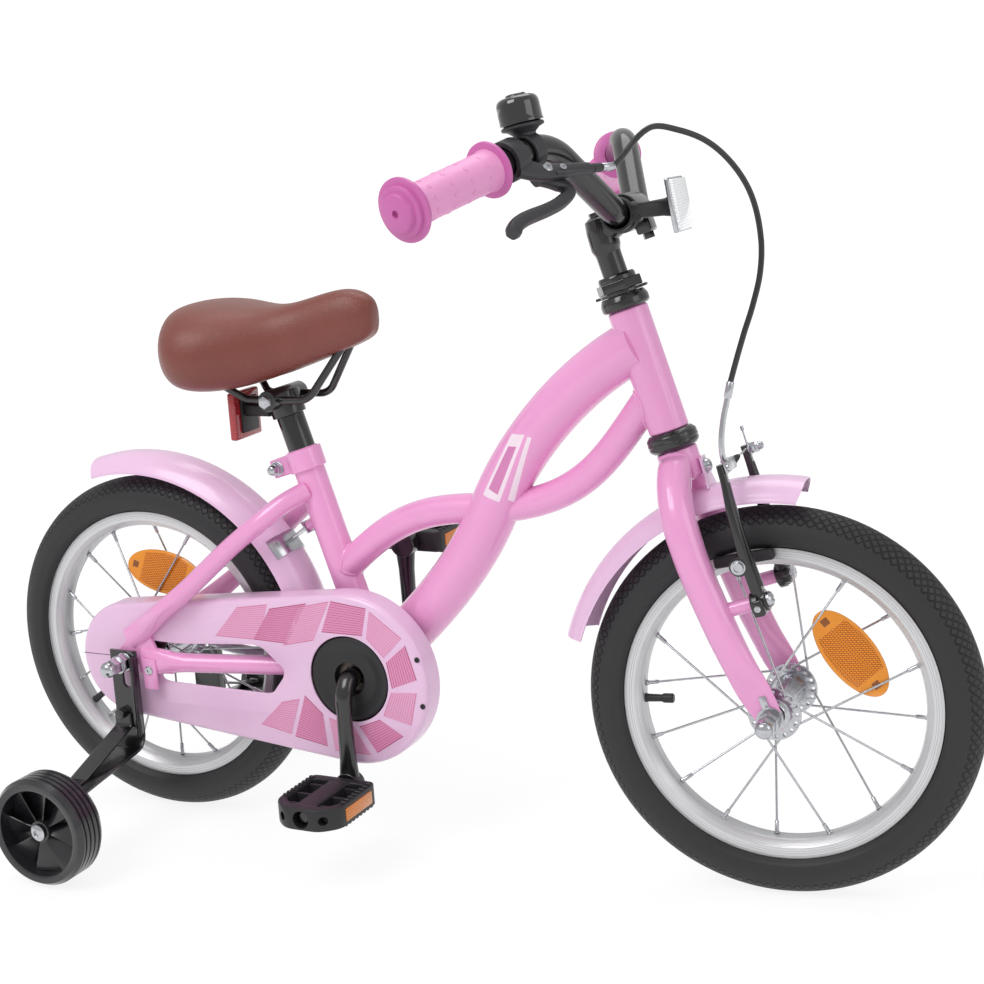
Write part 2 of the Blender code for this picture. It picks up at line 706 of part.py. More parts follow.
boss = rod(head(BOSS_HEIGHT, 0.0, LEG_Y - 0.004), head(BOSS_HEIGHT, BOSS_AHEAD - GAP, LEG_Y - 0.004),
           0.0060, 10)
boss_pin = rod(head(BOSS_HEIGHT, BOSS_AHEAD - 0.004, LEG_Y - 0.004),
               head(BOSS_HEIGHT, BOSS_AHEAD + 0.0145, LEG_Y - 0.004), 0.0040, 10)
boss_cap = rod(head(BOSS_HEIGHT, BOSS_AHEAD + 0.0125, LEG_Y - 0.004),
               head(BOSS_HEIGHT, BOSS_AHEAD + 0.0175, LEG_Y - 0.004), 0.0056, 10, 0.0034)
boss_block = box(Vector((0.0, 0.0, 0.0)), (0.0180, 0.0090, 0.0090),
                 aim(head(BOSS_HEIGHT, 0.0120, LEG_Y - 0.004), STEER_UP, STEER_AHEAD), 0.001)
left_leg = fuse(leg, boss, boss_pin, boss_cap, boss_block)
left_leg = cut(left_leg, plate(keyhole(AXLE_RADIUS + GAP, 0.0200), 0.0200,
                               aim(FRONT_AXLE + LEFT * LEG_Y, LEFT, -STEER_UP)))
crown = rod(head(FORK_HEIGHT - CROWN_HEIGHT), head(FORK_HEIGHT), CROWN_RADIUS, 18)
steerer_top = LOCKNUT_LOW + LOCKNUT_HEIGHT - 0.0020
steerer = rod(head(FORK_HEIGHT - 0.005), head(steerer_top), STEERER_RADIUS, 18)
fork = fuse(crown, left_leg, mirrored(left_leg), steerer)
fork = cut(fork, rod(head(steerer_top - QUILL_INSERTION - 0.01), head(steerer_top + 0.01),
                     STEERER_BORE, 18))
finish(fork, "fork", PINK, 0.28, 0.0, STEER_PIVOT, steering)

# Stem
BAR_ALONG = LOCKNUT_LOW + LOCKNUT_HEIGHT + STEM_RISE
BAR_CENTRE = head(BAR_ALONG, STEM_REACH)
quill_low = steerer_top - QUILL_INSERTION
neck = loft([
    (head(quill_low), LEFT * QUILL_RADIUS, STEER_AHEAD * QUILL_RADIUS),
    (head(BAR_ALONG - 0.0260), LEFT * QUILL_RADIUS, STEER_AHEAD * QUILL_RADIUS),
    (head(BAR_ALONG - 0.0210), LEFT * 0.0130, STEER_AHEAD * 0.0125),
    (head(BAR_ALONG - 0.0060, 0.0010), LEFT * 0.0132, STEER_AHEAD * 0.0128),
    (head(BAR_ALONG + 0.0040, 0.0010), LEFT * 0.0110, STEER_AHEAD * 0.0105)], 16)
gooseneck = loft([
    (head(BAR_ALONG - 0.0100, 0.0020), LEFT * 0.0118, STEER_UP * 0.0125),
    (head(BAR_ALONG - 0.0050, 0.0120), LEFT * 0.0130, STEER_UP * 0.0125),
    (head(BAR_ALONG, STEM_REACH), LEFT * 0.0150, STEER_UP * 0.0120)], 12)
sleeve = rod(BAR_CENTRE - LEFT * STEM_CLAMP_LENGTH / 2, BAR_CENTRE + LEFT * STEM_CLAMP_LENGTH / 2,
             STEM_CLAMP_RADIUS, 18)
clamp_lug = box(Vector((0.0, 0.0, 0.0)), (0.0200, 0.0130, 0.0120),
                aim(BAR_CENTRE + STEER_AHEAD * 0.0110 - STEER_UP * 0.0150, STEER_UP, LEFT), 0.0015)
binder = rod(BAR_CENTRE + STEER_AHEAD * 0.0110 - STEER_UP * 0.0270,
             BAR_CENTRE + STEER_AHEAD * 0.0110 - STEER_UP * 0.0180, 0.0048, 6)
expander = rod(head(BAR_ALONG), head(BAR_ALONG + 0.0090), 0.0060, 6)
stem = fuse(neck, gooseneck, sleeve, clamp_lug, binder, expander)
stem = cut(stem, rod(BAR_CENTRE - LEFT * 0.03, BAR_CENTRE + LEFT * 0.03, BAR_RADIUS + GAP, 16))
finish(stem, "stem", BLACK, 0.35, 0.3, STEER_PIVOT, steering)


# Handlebar and grips
def grip_line(outward, side=1.0):
    """Point on the straight outer part of the handlebar."""
    past = outward - BAR_SHOULDER
    return BAR_CENTRE + Vector((-BAR_SETBACK - GRIP_SWEEP * past, side * outward,
                                BAR_RISE - GRIP_DROOP * past))


GRIP_OUT = (grip_line(1.0) - grip_line(0.0)).normalized()
half = rounded_path([BAR_CENTRE, BAR_CENTRE + LEFT * BAR_FLAT,
                     grip_line(BAR_SHOULDER), grip_line(BAR_HALF_WIDTH)], [0.030, 0.050], 4)
other = [Vector((p.x, -p.y, p.z)) for p in half[1:]]
bar_line = other[::-1] + half
bar = tube(bar_line, BAR_RADIUS, 3)
finish(bar, "handlebar", BLACK, 0.32, 0.4, STEER_PIVOT, steering)


def grip(side):
    """Rubber grip with a round guard at each end and a stepped end cap."""
    length = (grip_line(BAR_HALF_WIDTH) - grip_line(GRIP_START)).length
    bore = BAR_RADIUS + GAP
    end = length + GRIP_END_CAP
    profile = [
        (bore, 0.0), (GRIP_INNER_FLANGE, 0.0006), (GRIP_INNER_FLANGE - 0.0006, 0.0042),
        (GRIP_RADIUS, 0.0056), (GRIP_RADIUS, length - 0.0040), (GRIP_END_FLANGE, length - 0.0006),
        (GRIP_END_FLANGE - 0.0014, length + 0.0030), (0.0188, length + 0.0034),
        (0.0185, length + 0.0068), (0.0140, length + 0.0072), (0.0132, end),
        (0.0, end), (0.0, length + 0.0015), (bore, length + 0.0015)]
    out = Vector((GRIP_OUT.x, side * GRIP_OUT.y, GRIP_OUT.z))
    return turned(profile[::-1], grip_line(GRIP_START, side), out, 14)


for side, word in ((-1.0, "right"), (1.0, "left")):
    finish(grip(side), "grip_" + word, GRIP_PINK, 0.45, 0.0, STEER_PIVOT, steering)

# Brake lever on the right of the handlebar
ring_centre = grip_line(LEVER_RING, -1.0)
INBOARD = Vector((-GRIP_OUT.x, GRIP_OUT.y, -GRIP_OUT.z))
reach = Vector((0.70, 0.0, -0.70))
REACH = (reach - INBOARD * reach.dot(INBOARD)).normalized()
LEVER_TOP = REACH.cross(INBOARD).normalized()


def lever(inboard, forward, above=0.0):
    """Point in the plane in which the brake lever swings."""
    return ring_centre + INBOARD * inboard + REACH * forward + LEVER_TOP * above


def flat_arm(points, above, half_thickness, sides=8, power=3.0):
    """Loft of flat sections through (inboard, forward, half width) points."""
    sections = []
    for i, (inboard, forward, wide) in enumerate(points):
        low = points[max(i - 1, 0)]
        high = points[min(i + 1, len(points) - 1)]
        run = (lever(*high[:2]) - lever(*low[:2])).normalized()
        sections.append((lever(inboard, forward, above), run.cross(LEVER_TOP) * wide,
                         LEVER_TOP * half_thickness))
    return loft(sections, sides, power)


ring = rod(lever(-0.0070, 0.0), lever(0.0070, 0.0), 0.0160, 16)
perch = flat_arm([(-0.004, 0.0100, 0.0090), (0.004, 0.0160, 0.0090), (0.014, 0.0225, 0.0072),
                  (0.030, 0.0275, 0.0060), (0.045, 0.0320, 0.0048), (0.056, 0.0356, 0.0042)],
                 BODY_ABOVE, 0.0040)
barrel = rod(lever(0.0530, 0.0347, BODY_ABOVE), lever(0.0680, 0.0394, BODY_ABOVE), 0.0036, 12)
pivot_pin = rod(lever(*LEVER_PIVOT, -0.0088), lever(*LEVER_PIVOT, BODY_ABOVE), PIN_RADIUS, 12)
pin_head = rod(lever(*LEVER_PIVOT, -0.0095), lever(*LEVER_PIVOT, -0.0078), 0.0046, 12)
pin_top = rod(lever(*LEVER_PIVOT, 0.0080), lever(*LEVER_PIVOT, 0.0098), 0.0042, 12)
lever_body = fuse(perch, ring, barrel, pivot_pin, pin_head, pin_top)
lever_body = cut(lever_body, rod(lever(-0.02, 0.0), lever(0.02, 0.0), BAR_RADIUS + GAP, 16))
finish(lever_body, "brake_lever_body", BLACK, 0.45, 0.0, STEER_PIVOT, steering)

blade = flat_arm([(0.0105, 0.0215, 0.0050), (0.0170, 0.0218, 0.0068), (0.0280, 0.0330, 0.0062),
                  (0.0300, 0.0415, 0.0055), (0.0180, 0.0460, 0.0050), (0.0000, 0.0470, 0.0048),
                  (-0.0260, 0.0455, 0.0046), (-0.0390, 0.0465, 0.0048), (-0.0440, 0.0490, 0.0044)],
                 BLADE_ABOVE, 0.0034)
blade = cut(blade, rod(lever(*LEVER_PIVOT, -0.02), lever(*LEVER_PIVOT, 0.02), PIN_RADIUS + GAP, 12))
finish(blade, "brake_lever", BLACK, 0.45, 0.0, lever(*LEVER_PIVOT), steering)

# Bell
bell_foot = grip_line(BELL_AT, -1.0)
BELL_UP = Vector((-0.20, 0.0, 0.98)).normalized()
bell_low = bell_foot + BELL_UP * 0.0175
strap = rod(bell_foot - INBOARD * 0.0060, bell_foot + INBOARD * 0.0060, 0.0142, 16)
pillar = rod(bell_foot + BELL_UP * 0.008, bell_low + BELL_UP * 0.0035, 0.0095, 12)
dish = rod(bell_low, bell_low + BELL_UP * 0.0030, 0.0135, 16, 0.0155)
spindle = rod(bell_low, bell_low + BELL_UP * (BELL_HEIGHT + 0.0010), 0.0028, 8)
bell_base = fuse(strap, pillar, dish, spindle)
bell_base = cut(bell_base, tube(bar_line, BAR_RADIUS + GAP, 3))
finish(bell_base, "bell_base", BLACK, 0.4, 0.0, STEER_PIVOT, steering)
R = BELL_DIAMETER / 2
dome = turned([
    (R, DOME_LOW), (R, BELL_HEIGHT * 0.72), (R * 0.93, BELL_HEIGHT * 0.90),
    (R * 0.76, BELL_HEIGHT), (0.0060, BELL_HEIGHT + 0.0012), (0.0060, BELL_HEIGHT + 0.0026),
    (0.0, BELL_HEIGHT + 0.0026), (0.0, BELL_HEIGHT + 0.0013 + GAP),
    (0.0028 + GAP, BELL_HEIGHT + 0.0010 + GAP), (0.0028 + GAP, BELL_HEIGHT - 0.0014),
    (R * 0.74, BELL_HEIGHT - 0.0016),
    (R - 0.0030, BELL_HEIGHT * 0.84), (R - 0.0016, BELL_HEIGHT * 0.68), (R - 0.0016, DOME_LOW)],
    bell_low, BELL_UP, 16)
finish(dome, "bell_dome", "#232327", 0.12, 0.8, STEER_PIVOT, steering)

# Thumb striker on the far side of the bell
BELL_SIDE = BELL_UP.cross(AHEAD).normalized()
striker_pivot = bell_low + BELL_SIDE * 0.0100 + BELL_UP * 0.0052
thumb = loft([
    (striker_pivot + BELL_SIDE * 0.0190 - BELL_UP * 0.0012, AHEAD * 0.0050, BELL_UP * 0.0010),
    (striker_pivot + BELL_SIDE * 0.0080 - BELL_UP * 0.0006, AHEAD * 0.0035, BELL_UP * 0.0010),
    (striker_pivot + BELL_SIDE * 0.0030 - BELL_UP * 0.0004, AHEAD * 0.0028, BELL_UP * 0.0010),
    (striker_pivot, AHEAD * 0.0028, BELL_UP * 0.0012),
    (striker_pivot - BELL_SIDE * 0.0030 + BELL_UP * 0.0030, AHEAD * 0.0022, BELL_UP * 0.0012)], 8)
finish(thumb, "bell_striker", BLACK, 0.4, 0.0, striker_pivot, steering)

# Front reflector and its bracket
front_reflector_centre = BAR_CENTRE + Vector((0.0440, 0.0, 0.0055))
lens_axis = Vector((0.985, 0.0, 0.17)).normalized()
lens_frame = aim(front_reflector_centre, lens_axis, LEFT)
lens = box(Vector((0.0, 0.0, 0.0)), (REFLECTOR_WIDTH, REFLECTOR_HEIGHT, REFLECTOR_THICKNESS),
           lens_frame, 0.0018, 1)
finish(lens, "front_reflector", "#E4E6E8", 0.12, 0.0, STEER_PIVOT, steering)
band_centre = BAR_CENTRE - LEFT * (STEM_CLAMP_LENGTH / 2 + 0.0070)
band = rod(band_centre - LEFT * 0.0050, band_centre + LEFT * 0.0050, 0.0138, 16)
arm_end = front_reflector_centre - lens_axis * (REFLECTOR_THICKNESS / 2 + GAP)
bracket_arm = loft([
    (band_centre + Vector((0.0100, 0.0, 0.0040)), LEFT * 0.0050, UP * 0.0060),
    (band_centre + Vector((0.0190, 0.0, 0.0030)), LEFT * 0.0050, UP * 0.0060),
    (arm_end - lens_axis * 0.0060 - LEFT * 0.0100, LEFT * 0.0090, UP * 0.0070),
    (arm_end - LEFT * 0.0040, LEFT * 0.0110, UP * 0.0090)], 8, 3.0)
band = fuse(band, bracket_arm)
band = cut(band, tube(bar_line, BAR_RADIUS + GAP, 3),
           box(Vector((0.0, 0.0, 0.0)), (REFLECTOR_WIDTH, REFLECTOR_HEIGHT, REFLECTOR_THICKNESS + 2 * GAP),
               lens_frame))
finish(band, "front_reflector_bracket", BLACK, 0.45, 0.0, STEER_PIVOT, steering)


# Mudguards


def wheel_frame(axle):
    """Matrix whose Z runs to the right along an axle and whose X points ahead."""
    return aim(axle, -LEFT, AHEAD)


def mudguard_shell(axle, angles, steps):
    """Curved blade over a wheel, between two angles measured up from ahead."""
    first = math.radians(angles[0])
    span = math.radians(angles[1] - angles[0])
    half_shape = [(MUDGUARD_HALF_WIDTH * a, MUDGUARD_RADIUS - MUDGUARD_DROP * b)
                  for a, b in MUDGUARD_SHAPE]
    shape = [(-a, r) for a, r in half_shape[:0:-1]] + half_shape
    mesh = bpy.data.meshes.new("blade")
    points = [(r * math.cos(first), r * math.sin(first), a) for a, r in shape]
    mesh.from_pydata(points, [(i, i + 1) for i in range(len(points) - 1)], [])
    blade = linked("blade", mesh)
    sweep = blade.modifiers.new("Sweep", "SCREW")
    sweep.angle = span
    sweep.steps = steps
    sweep.render_steps = steps
    sweep.use_smooth_shade = True
    thicken = blade.modifiers.new("Thicken", "SOLIDIFY")
    thicken.thickness = MUDGUARD_THICKNESS
    thicken.offset = 0.0
    blade.matrix_world = wheel_frame(axle)
    return as_mesh(blade)


TONGUE_TOP = FORK_HEIGHT - 0.0120
front_blade = mudguard_shell(FRONT_AXLE, FRONT_MUDGUARD_ANGLES, 13)
TONGUE_AHEAD = CROWN_RADIUS + GAP + 0.0011
tongue = loft([
    (head(MUDGUARD_RADIUS - 0.0006, TONGUE_AHEAD), LEFT * 0.0150, STEER_AHEAD * 0.0011),
    (head(MUDGUARD_RADIUS + 0.0080, TONGUE_AHEAD), LEFT * 0.0105, STEER_AHEAD * 0.0011),
    (head(TONGUE_TOP, TONGUE_AHEAD), LEFT * 0.0085, STEER_AHEAD * 0.0011)], 10, 5.0)
crown_bolt = rod(head(TONGUE_TOP - 0.0085, TONGUE_AHEAD), head(TONGUE_TOP - 0.0085, TONGUE_AHEAD + 0.0055),
                 0.0062, 12, 0.0040)
front_mudguard = fuse(front_blade, tongue, crown_bolt)
finish(front_mudguard, "front_mudguard", LIGHT_PINK, 0.22, 0.0, STEER_PIVOT, steering)
rear_mudguard = mudguard_shell(REAR_AXLE, REAR_MUDGUARD_ANGLES, 15)
finish(rear_mudguard, "rear_mudguard", LIGHT_PINK, 0.22)

# Strap that hangs the rear mudguard from the seat tube
strap_angle = math.atan2(lug_tip.z - REAR_AXLE.z, lug_tip.x)
strap_frame = wheel_frame(REAR_AXLE) @ Matrix.Rotation(strap_angle, 4, "Z")
STRAP_GAP = MUDGUARD_THICKNESS / 2 + GAP
outer = [(MUDGUARD_RADIUS - MUDGUARD_DROP * b + STRAP_GAP, MUDGUARD_HALF_WIDTH * a)
         for a, b in MUDGUARD_SHAPE[:-1]]
inner_line = [(r, -a) for r, a in outer[:0:-1]] + outer
strap_thick = 0.0014
top_line = [(r + strap_thick, a * 1.03) for r, a in inner_line]
strap_blank = plate(inner_line + top_line[::-1], 0.0140,
                    strap_frame @ Matrix.Rotation(math.pi / 2, 4, "X"))
strap_reach = (lug_tip - REAR_AXLE).length
strap_tab = box(Vector(((MUDGUARD_RADIUS + strap_reach - GAP) / 2 + 0.0008, 0.0, 0.0)),
                (strap_reach - GAP - MUDGUARD_RADIUS - 0.0016, 0.0026, 0.0120), strap_frame)
strap_foot = box(Vector((strap_reach - GAP - 0.0008, 0.0, 0.0)), (0.0016, 0.0120, 0.0130), strap_frame)
hanger = fuse(strap_blank, strap_tab, strap_foot)
finish(hanger, "rear_mudguard_bracket", STEEL, 0.25, 1.0)


# Wheels
def tyre(axle):
    """Tyre with a flat tread line and beads seated inside the rim."""
    major = TYRE_RADIUS - TYRE_SECTION
    half_side = []
    for degrees in (40.0, 75.0, 110.0):
        a = math.radians(degrees)
        half_side.append((major + TYRE_SECTION * math.cos(a), TYRE_SECTION * math.sin(a)))
    bead = RIM_HALF_WIDTH - RIM_WALL - GAP
    slope = (RIM_HALF_WIDTH - RIM_WALL - RIM_WELL_HALF_WIDTH) / (RIM_DEPTH - RIM_WALL)
    half_side.append((RIM_RADIUS + GAP, bead))
    half_side.append((RIM_RADIUS - BEAD_DEPTH, bead - slope * BEAD_DEPTH))
    profile = [(TYRE_RADIUS, TREAD_HALF_WIDTH)] + half_side
    profile += [(r, -h) for r, h in reversed(profile)]
    grow = 1.0 / math.cos(math.pi / TYRE_STEPS)
    profile = [(r * grow if r > major else r, h) for r, h in profile]
    return turned(profile, axle, -LEFT, TYRE_STEPS, side=-UP, phase=math.pi / TYRE_STEPS)


def rim(axle):
    """Deep channel with a braking band on each side."""
    profile = [
        (RIM_RADIUS, RIM_HALF_WIDTH), (RIM_RADIUS - 0.0095, RIM_HALF_WIDTH - 0.0006),
        (RIM_RADIUS - RIM_DEPTH, RIM_WELL_HALF_WIDTH + 0.0006)]
    inside = [(RIM_RADIUS - RIM_DEPTH + RIM_WALL, RIM_WELL_HALF_WIDTH),
              (RIM_RADIUS, RIM_HALF_WIDTH - RIM_WALL)]
    loop = profile + [(r, -h) for r, h in profile[::-1]]
    loop += [(r, -h) for r, h in inside[::-1]] + inside
    return turned(loop, axle, -LEFT, TYRE_STEPS, side=-UP, phase=math.pi / TYRE_STEPS)


def spokes(axle, flange_radius, flange_offset):
    """Crossed spokes from both flanges to just inside the rim."""
    frame_of_wheel = wheel_frame(axle)
    hole = flange_radius - SPOKE_HOLE_INSET
    tip = (RIM_RADIUS - RIM_DEPTH + 0.0010) * math.cos(math.pi / TYRE_STEPS) - 0.0018
    solids = []
    for k in range(SPOKE_COUNT):
        side = 1.0 if k % 2 else -1.0
        pair = k // 2
        hub_angle = math.tau * k / SPOKE_COUNT
        rim_angle = hub_angle + (SPOKE_LEAN if pair % 2 else -SPOKE_LEAN)
        inner_offset = side * (flange_offset + (0.0010 if pair % 2 else -0.0010))
        start = Vector((hole * math.cos(hub_angle), hole * math.sin(hub_angle), inner_offset))
        end = Vector((tip * math.cos(rim_angle), tip * math.sin(rim_angle), side * 0.0030))
        solids.append(rod(frame_of_wheel @ start, frame_of_wheel @ end, SPOKE_RADIUS, 3))
    return solids


def hub(axle, flange_radius, flange_offset, shell_radius, end_offset):
    """Hub shell with two flanges, bored for the axle, and its spokes."""
    half = FLANGE_THICKNESS / 2
    right_side = [
        (0.0090, end_offset), (shell_radius, flange_offset + half),
        (flange_radius, flange_offset + half), (flange_radius, flange_offset - half),
        (shell_radius, flange_offset - half - 0.0010)]
    loop = right_side + [(r, -h) for r, h in right_side[::-1]]
    bore = AXLE_RADIUS + TURN_GAP
    loop += [(bore, -end_offset), (bore, end_offset)]
    shell_solid = turned(loop, axle, -LEFT, 14, side=AHEAD)
    return fuse(shell_solid, *spokes(axle, flange_radius, flange_offset))


def spoke_reflector(axle, centre_angle, flange_radius, flange_offset):
    """Oval reflector lying against the inner side of the right-hand spokes."""
    frame_of_wheel = wheel_frame(axle) @ Matrix.Rotation(centre_angle, 4, "Z")
    rim_end = RIM_RADIUS - RIM_DEPTH
    slope = (flange_offset - 0.0030) / (rim_end - flange_radius)
    offset = flange_offset - slope * (SPOKE_REFLECTOR_RADIUS - flange_radius)
    offset -= SPOKE_REFLECTOR_SEAT
    tilt = Matrix.Rotation(math.atan(slope), 4, "Y")
    outline = []
    for x, y in circle(1.0, 18):
        outline.append((x * SPOKE_REFLECTOR_HEIGHT / 2, y * SPOKE_REFLECTOR_LENGTH / 2))
    place = frame_of_wheel @ Matrix.Translation(Vector((SPOKE_REFLECTOR_RADIUS, 0.0, offset))) @ tilt
    return plate(outline, SPOKE_REFLECTOR_THICKNESS, place)


for place, axle, parent in (("front", FRONT_AXLE, steering), ("rear", REAR_AXLE, None)):
    finish(tyre(axle), place + "_tyre", "#2B2B2D", 0.75, 0.0, axle, parent, 50.0)
    finish(rim(axle), place + "_rim", "#D5D6D6", 0.35, 0.8, axle, parent)
front_hub = hub(FRONT_AXLE, FRONT_FLANGE_RADIUS, FRONT_FLANGE_OFFSET, FRONT_SHELL_RADIUS, FRONT_HUB_END)
finish(front_hub, "front_hub", STEEL, 0.25, 1.0, FRONT_AXLE, steering)
rear_hub = hub(REAR_AXLE, REAR_FLANGE_RADIUS, REAR_FLANGE_OFFSET, REAR_SHELL_RADIUS, REAR_HUB_END)
finish(rear_hub, "rear_hub", STEEL, 0.25, 1.0, REAR_AXLE)
front_glint = spoke_reflector(FRONT_AXLE, math.radians(39.0), FRONT_FLANGE_RADIUS, FRONT_FLANGE_OFFSET)
finish(front_glint, "front_spoke_reflector", AMBER, 0.2, 0.0, FRONT_AXLE, steering)
rear_glint = spoke_reflector(REAR_AXLE, math.radians(86.0), REAR_FLANGE_RADIUS, REAR_FLANGE_OFFSET)
finish(rear_glint, "rear_spoke_reflector", AMBER, 0.2, 0.0, REAR_AXLE)


def axle_side(hub_end, inner_face, washer_face, tip, washer_radius):
    """Places and radii of one end of an axle, from the hub outward."""
    washer_end = washer_face + GAP + 0.0016
    return [
        (hub_end + GAP, AXLE_RADIUS), (hub_end + GAP, 0.0075), (hub_end + 0.0018, 0.0088),
        (inner_face - GAP, 0.0088), (inner_face - GAP, AXLE_RADIUS), (washer_face + GAP, AXLE_RADIUS),
        (washer_face + GAP, washer_radius), (washer_end, washer_radius), (washer_end, 0.0068), (tip - 0.0030, 0.0066),
        (tip, 0.0030), (tip, 0.0)]


def axle_solid(axle, right, left, extras=()):
    """Axle turned from both ends' places, with a hexagon nut at each end."""
    profile = [(r, -h) for h, r in right[::-1]] + [(r, h) for h, r in left]
    body = turned(profile, axle, LEFT, 10, closed=False)
    nuts = []
    for side, places in ((-1.0, right), (1.0, left)):
        washer_end = places[8][0]
        tip = places[-1][0]
        nuts.append(rod(axle + LEFT * side * (washer_end - 0.0005), axle + LEFT * side * (tip - 0.0058),
                        0.0088, 6))
    return fuse(body, *nuts, *extras)


front_end = axle_side(FRONT_HUB_END, FRONT_HUB_WIDTH / 2, FRONT_HUB_WIDTH / 2 + LEG_END_THICKNESS, FRONT_TIP,
                      FRONT_WASHER_RADIUS)
finish(axle_solid(FRONT_AXLE, front_end, front_end), "front_axle", STEEL, 0.2, 1.0, STEER_PIVOT, steering)

# Rim brake on the fork
ARM_PIVOT_LEFT = LEG_Y - 0.0040
ARM_BACK = BOSS_AHEAD
ARM_FRONT = BOSS_AHEAD + 0.0120
arm_points = [
    (BOSS_HEIGHT - 0.0040, ARM_PIVOT_LEFT, 0.0070, 0.0395, 0.0050),
    (BOSS_HEIGHT + 0.0120, ARM_PIVOT_LEFT + 0.0010, 0.0066, 0.0395, 0.0050),
    (PAD_HEIGHT, ARM_PIVOT_LEFT + 0.0035, 0.0062, 0.0398, 0.0045),
    (0.1500, ARM_PIVOT_LEFT + 0.0040, 0.0058, 0.0405, 0.0040),
    (0.1750, ARM_PIVOT_LEFT + 0.0030, 0.0056, 0.0418, 0.0036),
    (0.1930, ARM_TOP_LEFT + 0.0020, 0.0056, 0.0430, 0.0032),
    (ARM_TOP, ARM_TOP_LEFT, 0.0050, 0.0434, 0.0030)]


def brake_arm():
    """Left arm of the brake, with its pivot boss and pad carrier."""
    sections = [(head(t, s, y), LEFT * wide, STEER_AHEAD * thick)
                for t, y, wide, s, thick in arm_points]
    arm = loft(sections, 8, 3.0)
    hub_round = rod(head(BOSS_HEIGHT, ARM_BACK, ARM_PIVOT_LEFT), head(BOSS_HEIGHT, ARM_FRONT, ARM_PIVOT_LEFT),
                    0.0088, 12)
    spring_box = rod(head(BOSS_HEIGHT - 0.0010, ARM_BACK, ARM_PIVOT_LEFT + 0.0030),
                     head(BOSS_HEIGHT - 0.0010, ARM_BACK + 0.0065, ARM_PIVOT_LEFT + 0.0030), 0.0105, 12)
    carrier = rod(head(PAD_HEIGHT, POST_AHEAD, ARM_PIVOT_LEFT - 0.0045),
                  head(PAD_HEIGHT, POST_AHEAD, ARM_PIVOT_LEFT + 0.0100), 0.0080, 10)
    return fuse(arm, hub_round, spring_box, carrier)


pin_hole = rod(head(BOSS_HEIGHT, 0.0, ARM_PIVOT_LEFT), head(BOSS_HEIGHT, 0.08, ARM_PIVOT_LEFT),
               0.0040 + GAP, 10)
post_hole = rod(head(PAD_HEIGHT, POST_AHEAD, 0.02), head(PAD_HEIGHT, POST_AHEAD, 0.08),
                POST_RADIUS + GAP, 8)
left_arm = cut(brake_arm(), pin_hole, post_hole)
right_arm = mirrored(left_arm)
anchor = rod(head(ARM_TOP - 0.0040, 0.0430, ARM_TOP_LEFT), head(ARM_TOP - 0.0040, 0.0560, ARM_TOP_LEFT),
             0.0042, 6)
anchor_cap = rod(head(ARM_TOP - 0.0040, 0.0560, ARM_TOP_LEFT), head(ARM_TOP - 0.0040, 0.0600, ARM_TOP_LEFT),
                 0.0040, 12, 0.0022)
left_arm = fuse(left_arm, anchor, anchor_cap)
left_pivot = head(BOSS_HEIGHT, BOSS_AHEAD, ARM_PIVOT_LEFT)
right_pivot = head(BOSS_HEIGHT, BOSS_AHEAD, -ARM_PIVOT_LEFT)
finish(left_arm, "brake_arm_left", BLACK, 0.3, 0.2, left_pivot, steering)
finish(right_arm, "brake_arm_right", BLACK, 0.3, 0.2, right_pivot, steering)

pad_low = RIM_HALF_WIDTH + PAD_GAP
radial = (head(PAD_HEIGHT, PAD_AHEAD) - FRONT_AXLE).normalized()
pad_frame = aim(head(PAD_HEIGHT, PAD_AHEAD, pad_low + PAD_THICKNESS / 2), LEFT, radial)
pad = box(Vector((0.0, 0.0, 0.0)), (0.0090, 0.0500, PAD_THICKNESS), pad_frame, 0.0016)
post = rod(head(PAD_HEIGHT, POST_AHEAD, pad_low + PAD_THICKNESS - 0.002),
           head(PAD_HEIGHT, POST_AHEAD, ARM_PIVOT_LEFT + 0.0140), POST_RADIUS, 8)
cup_washer = rod(head(PAD_HEIGHT, POST_AHEAD, pad_low + PAD_THICKNESS - 0.001),
                 head(PAD_HEIGHT, POST_AHEAD, ARM_PIVOT_LEFT - 0.0045 - GAP), 0.0070, 10)
post_head = rod(head(PAD_HEIGHT, POST_AHEAD, ARM_PIVOT_LEFT + 0.0100 + GAP),
                head(PAD_HEIGHT, POST_AHEAD, ARM_PIVOT_LEFT + 0.0155), 0.0052, 10)
left_pad = fuse(pad, post, cup_washer, post_head)
right_pad = mirrored(left_pad)
finish(left_pad, "brake_pad_left", "#252326", 0.6, 0.0, left_pivot, steering)
finish(right_pad, "brake_pad_right", "#252326", 0.6, 0.0, right_pivot, steering)

# Noodle with its link, the boot and the bare cable
LINK_AHEAD = 0.0434 + 0.0030 + GAP
noodle_points = smooth_path([
    head(*NOODLE_TOP), head(0.2405, 0.0545, -0.0325), head(0.2250, 0.0480, -0.0345),
    head(0.2130, 0.0448, -0.0340), head(0.2062, 0.0445, -0.0300), head(0.2045, 0.0445, -0.0200)], 3)
noodle = tube(noodle_points, NOODLE_RADIUS, 2)
link_plate = box(Vector((0.0, 0.0, 0.0)), (0.0340, 0.0090, 0.0018),
                 aim(head(0.2045, LINK_AHEAD + 0.0009, -0.0320), STEER_AHEAD, LEFT), 0.0006)
link_block = box(Vector((0.0, 0.0, 0.0)), (0.0090, 0.0100, 0.0098),
                 aim(head(0.2045, LINK_AHEAD - 0.0040 + 0.0006, -0.0200), STEER_AHEAD, LEFT), 0.0010)
noodle = fuse(noodle, link_block, link_plate)
finish(noodle, "brake_noodle", STEEL, 0.2, 1.0, right_pivot, steering)
wire_start = head(0.2045, 0.0445, -0.0155 + GAP)
wire_turn = head(0.2060, 0.0474, 0.0150)
wire_line = (wire_turn - wire_start).normalized()
boot_low = wire_start + wire_line * 0.0006
boot_end = boot_low + wire_line * 0.0190
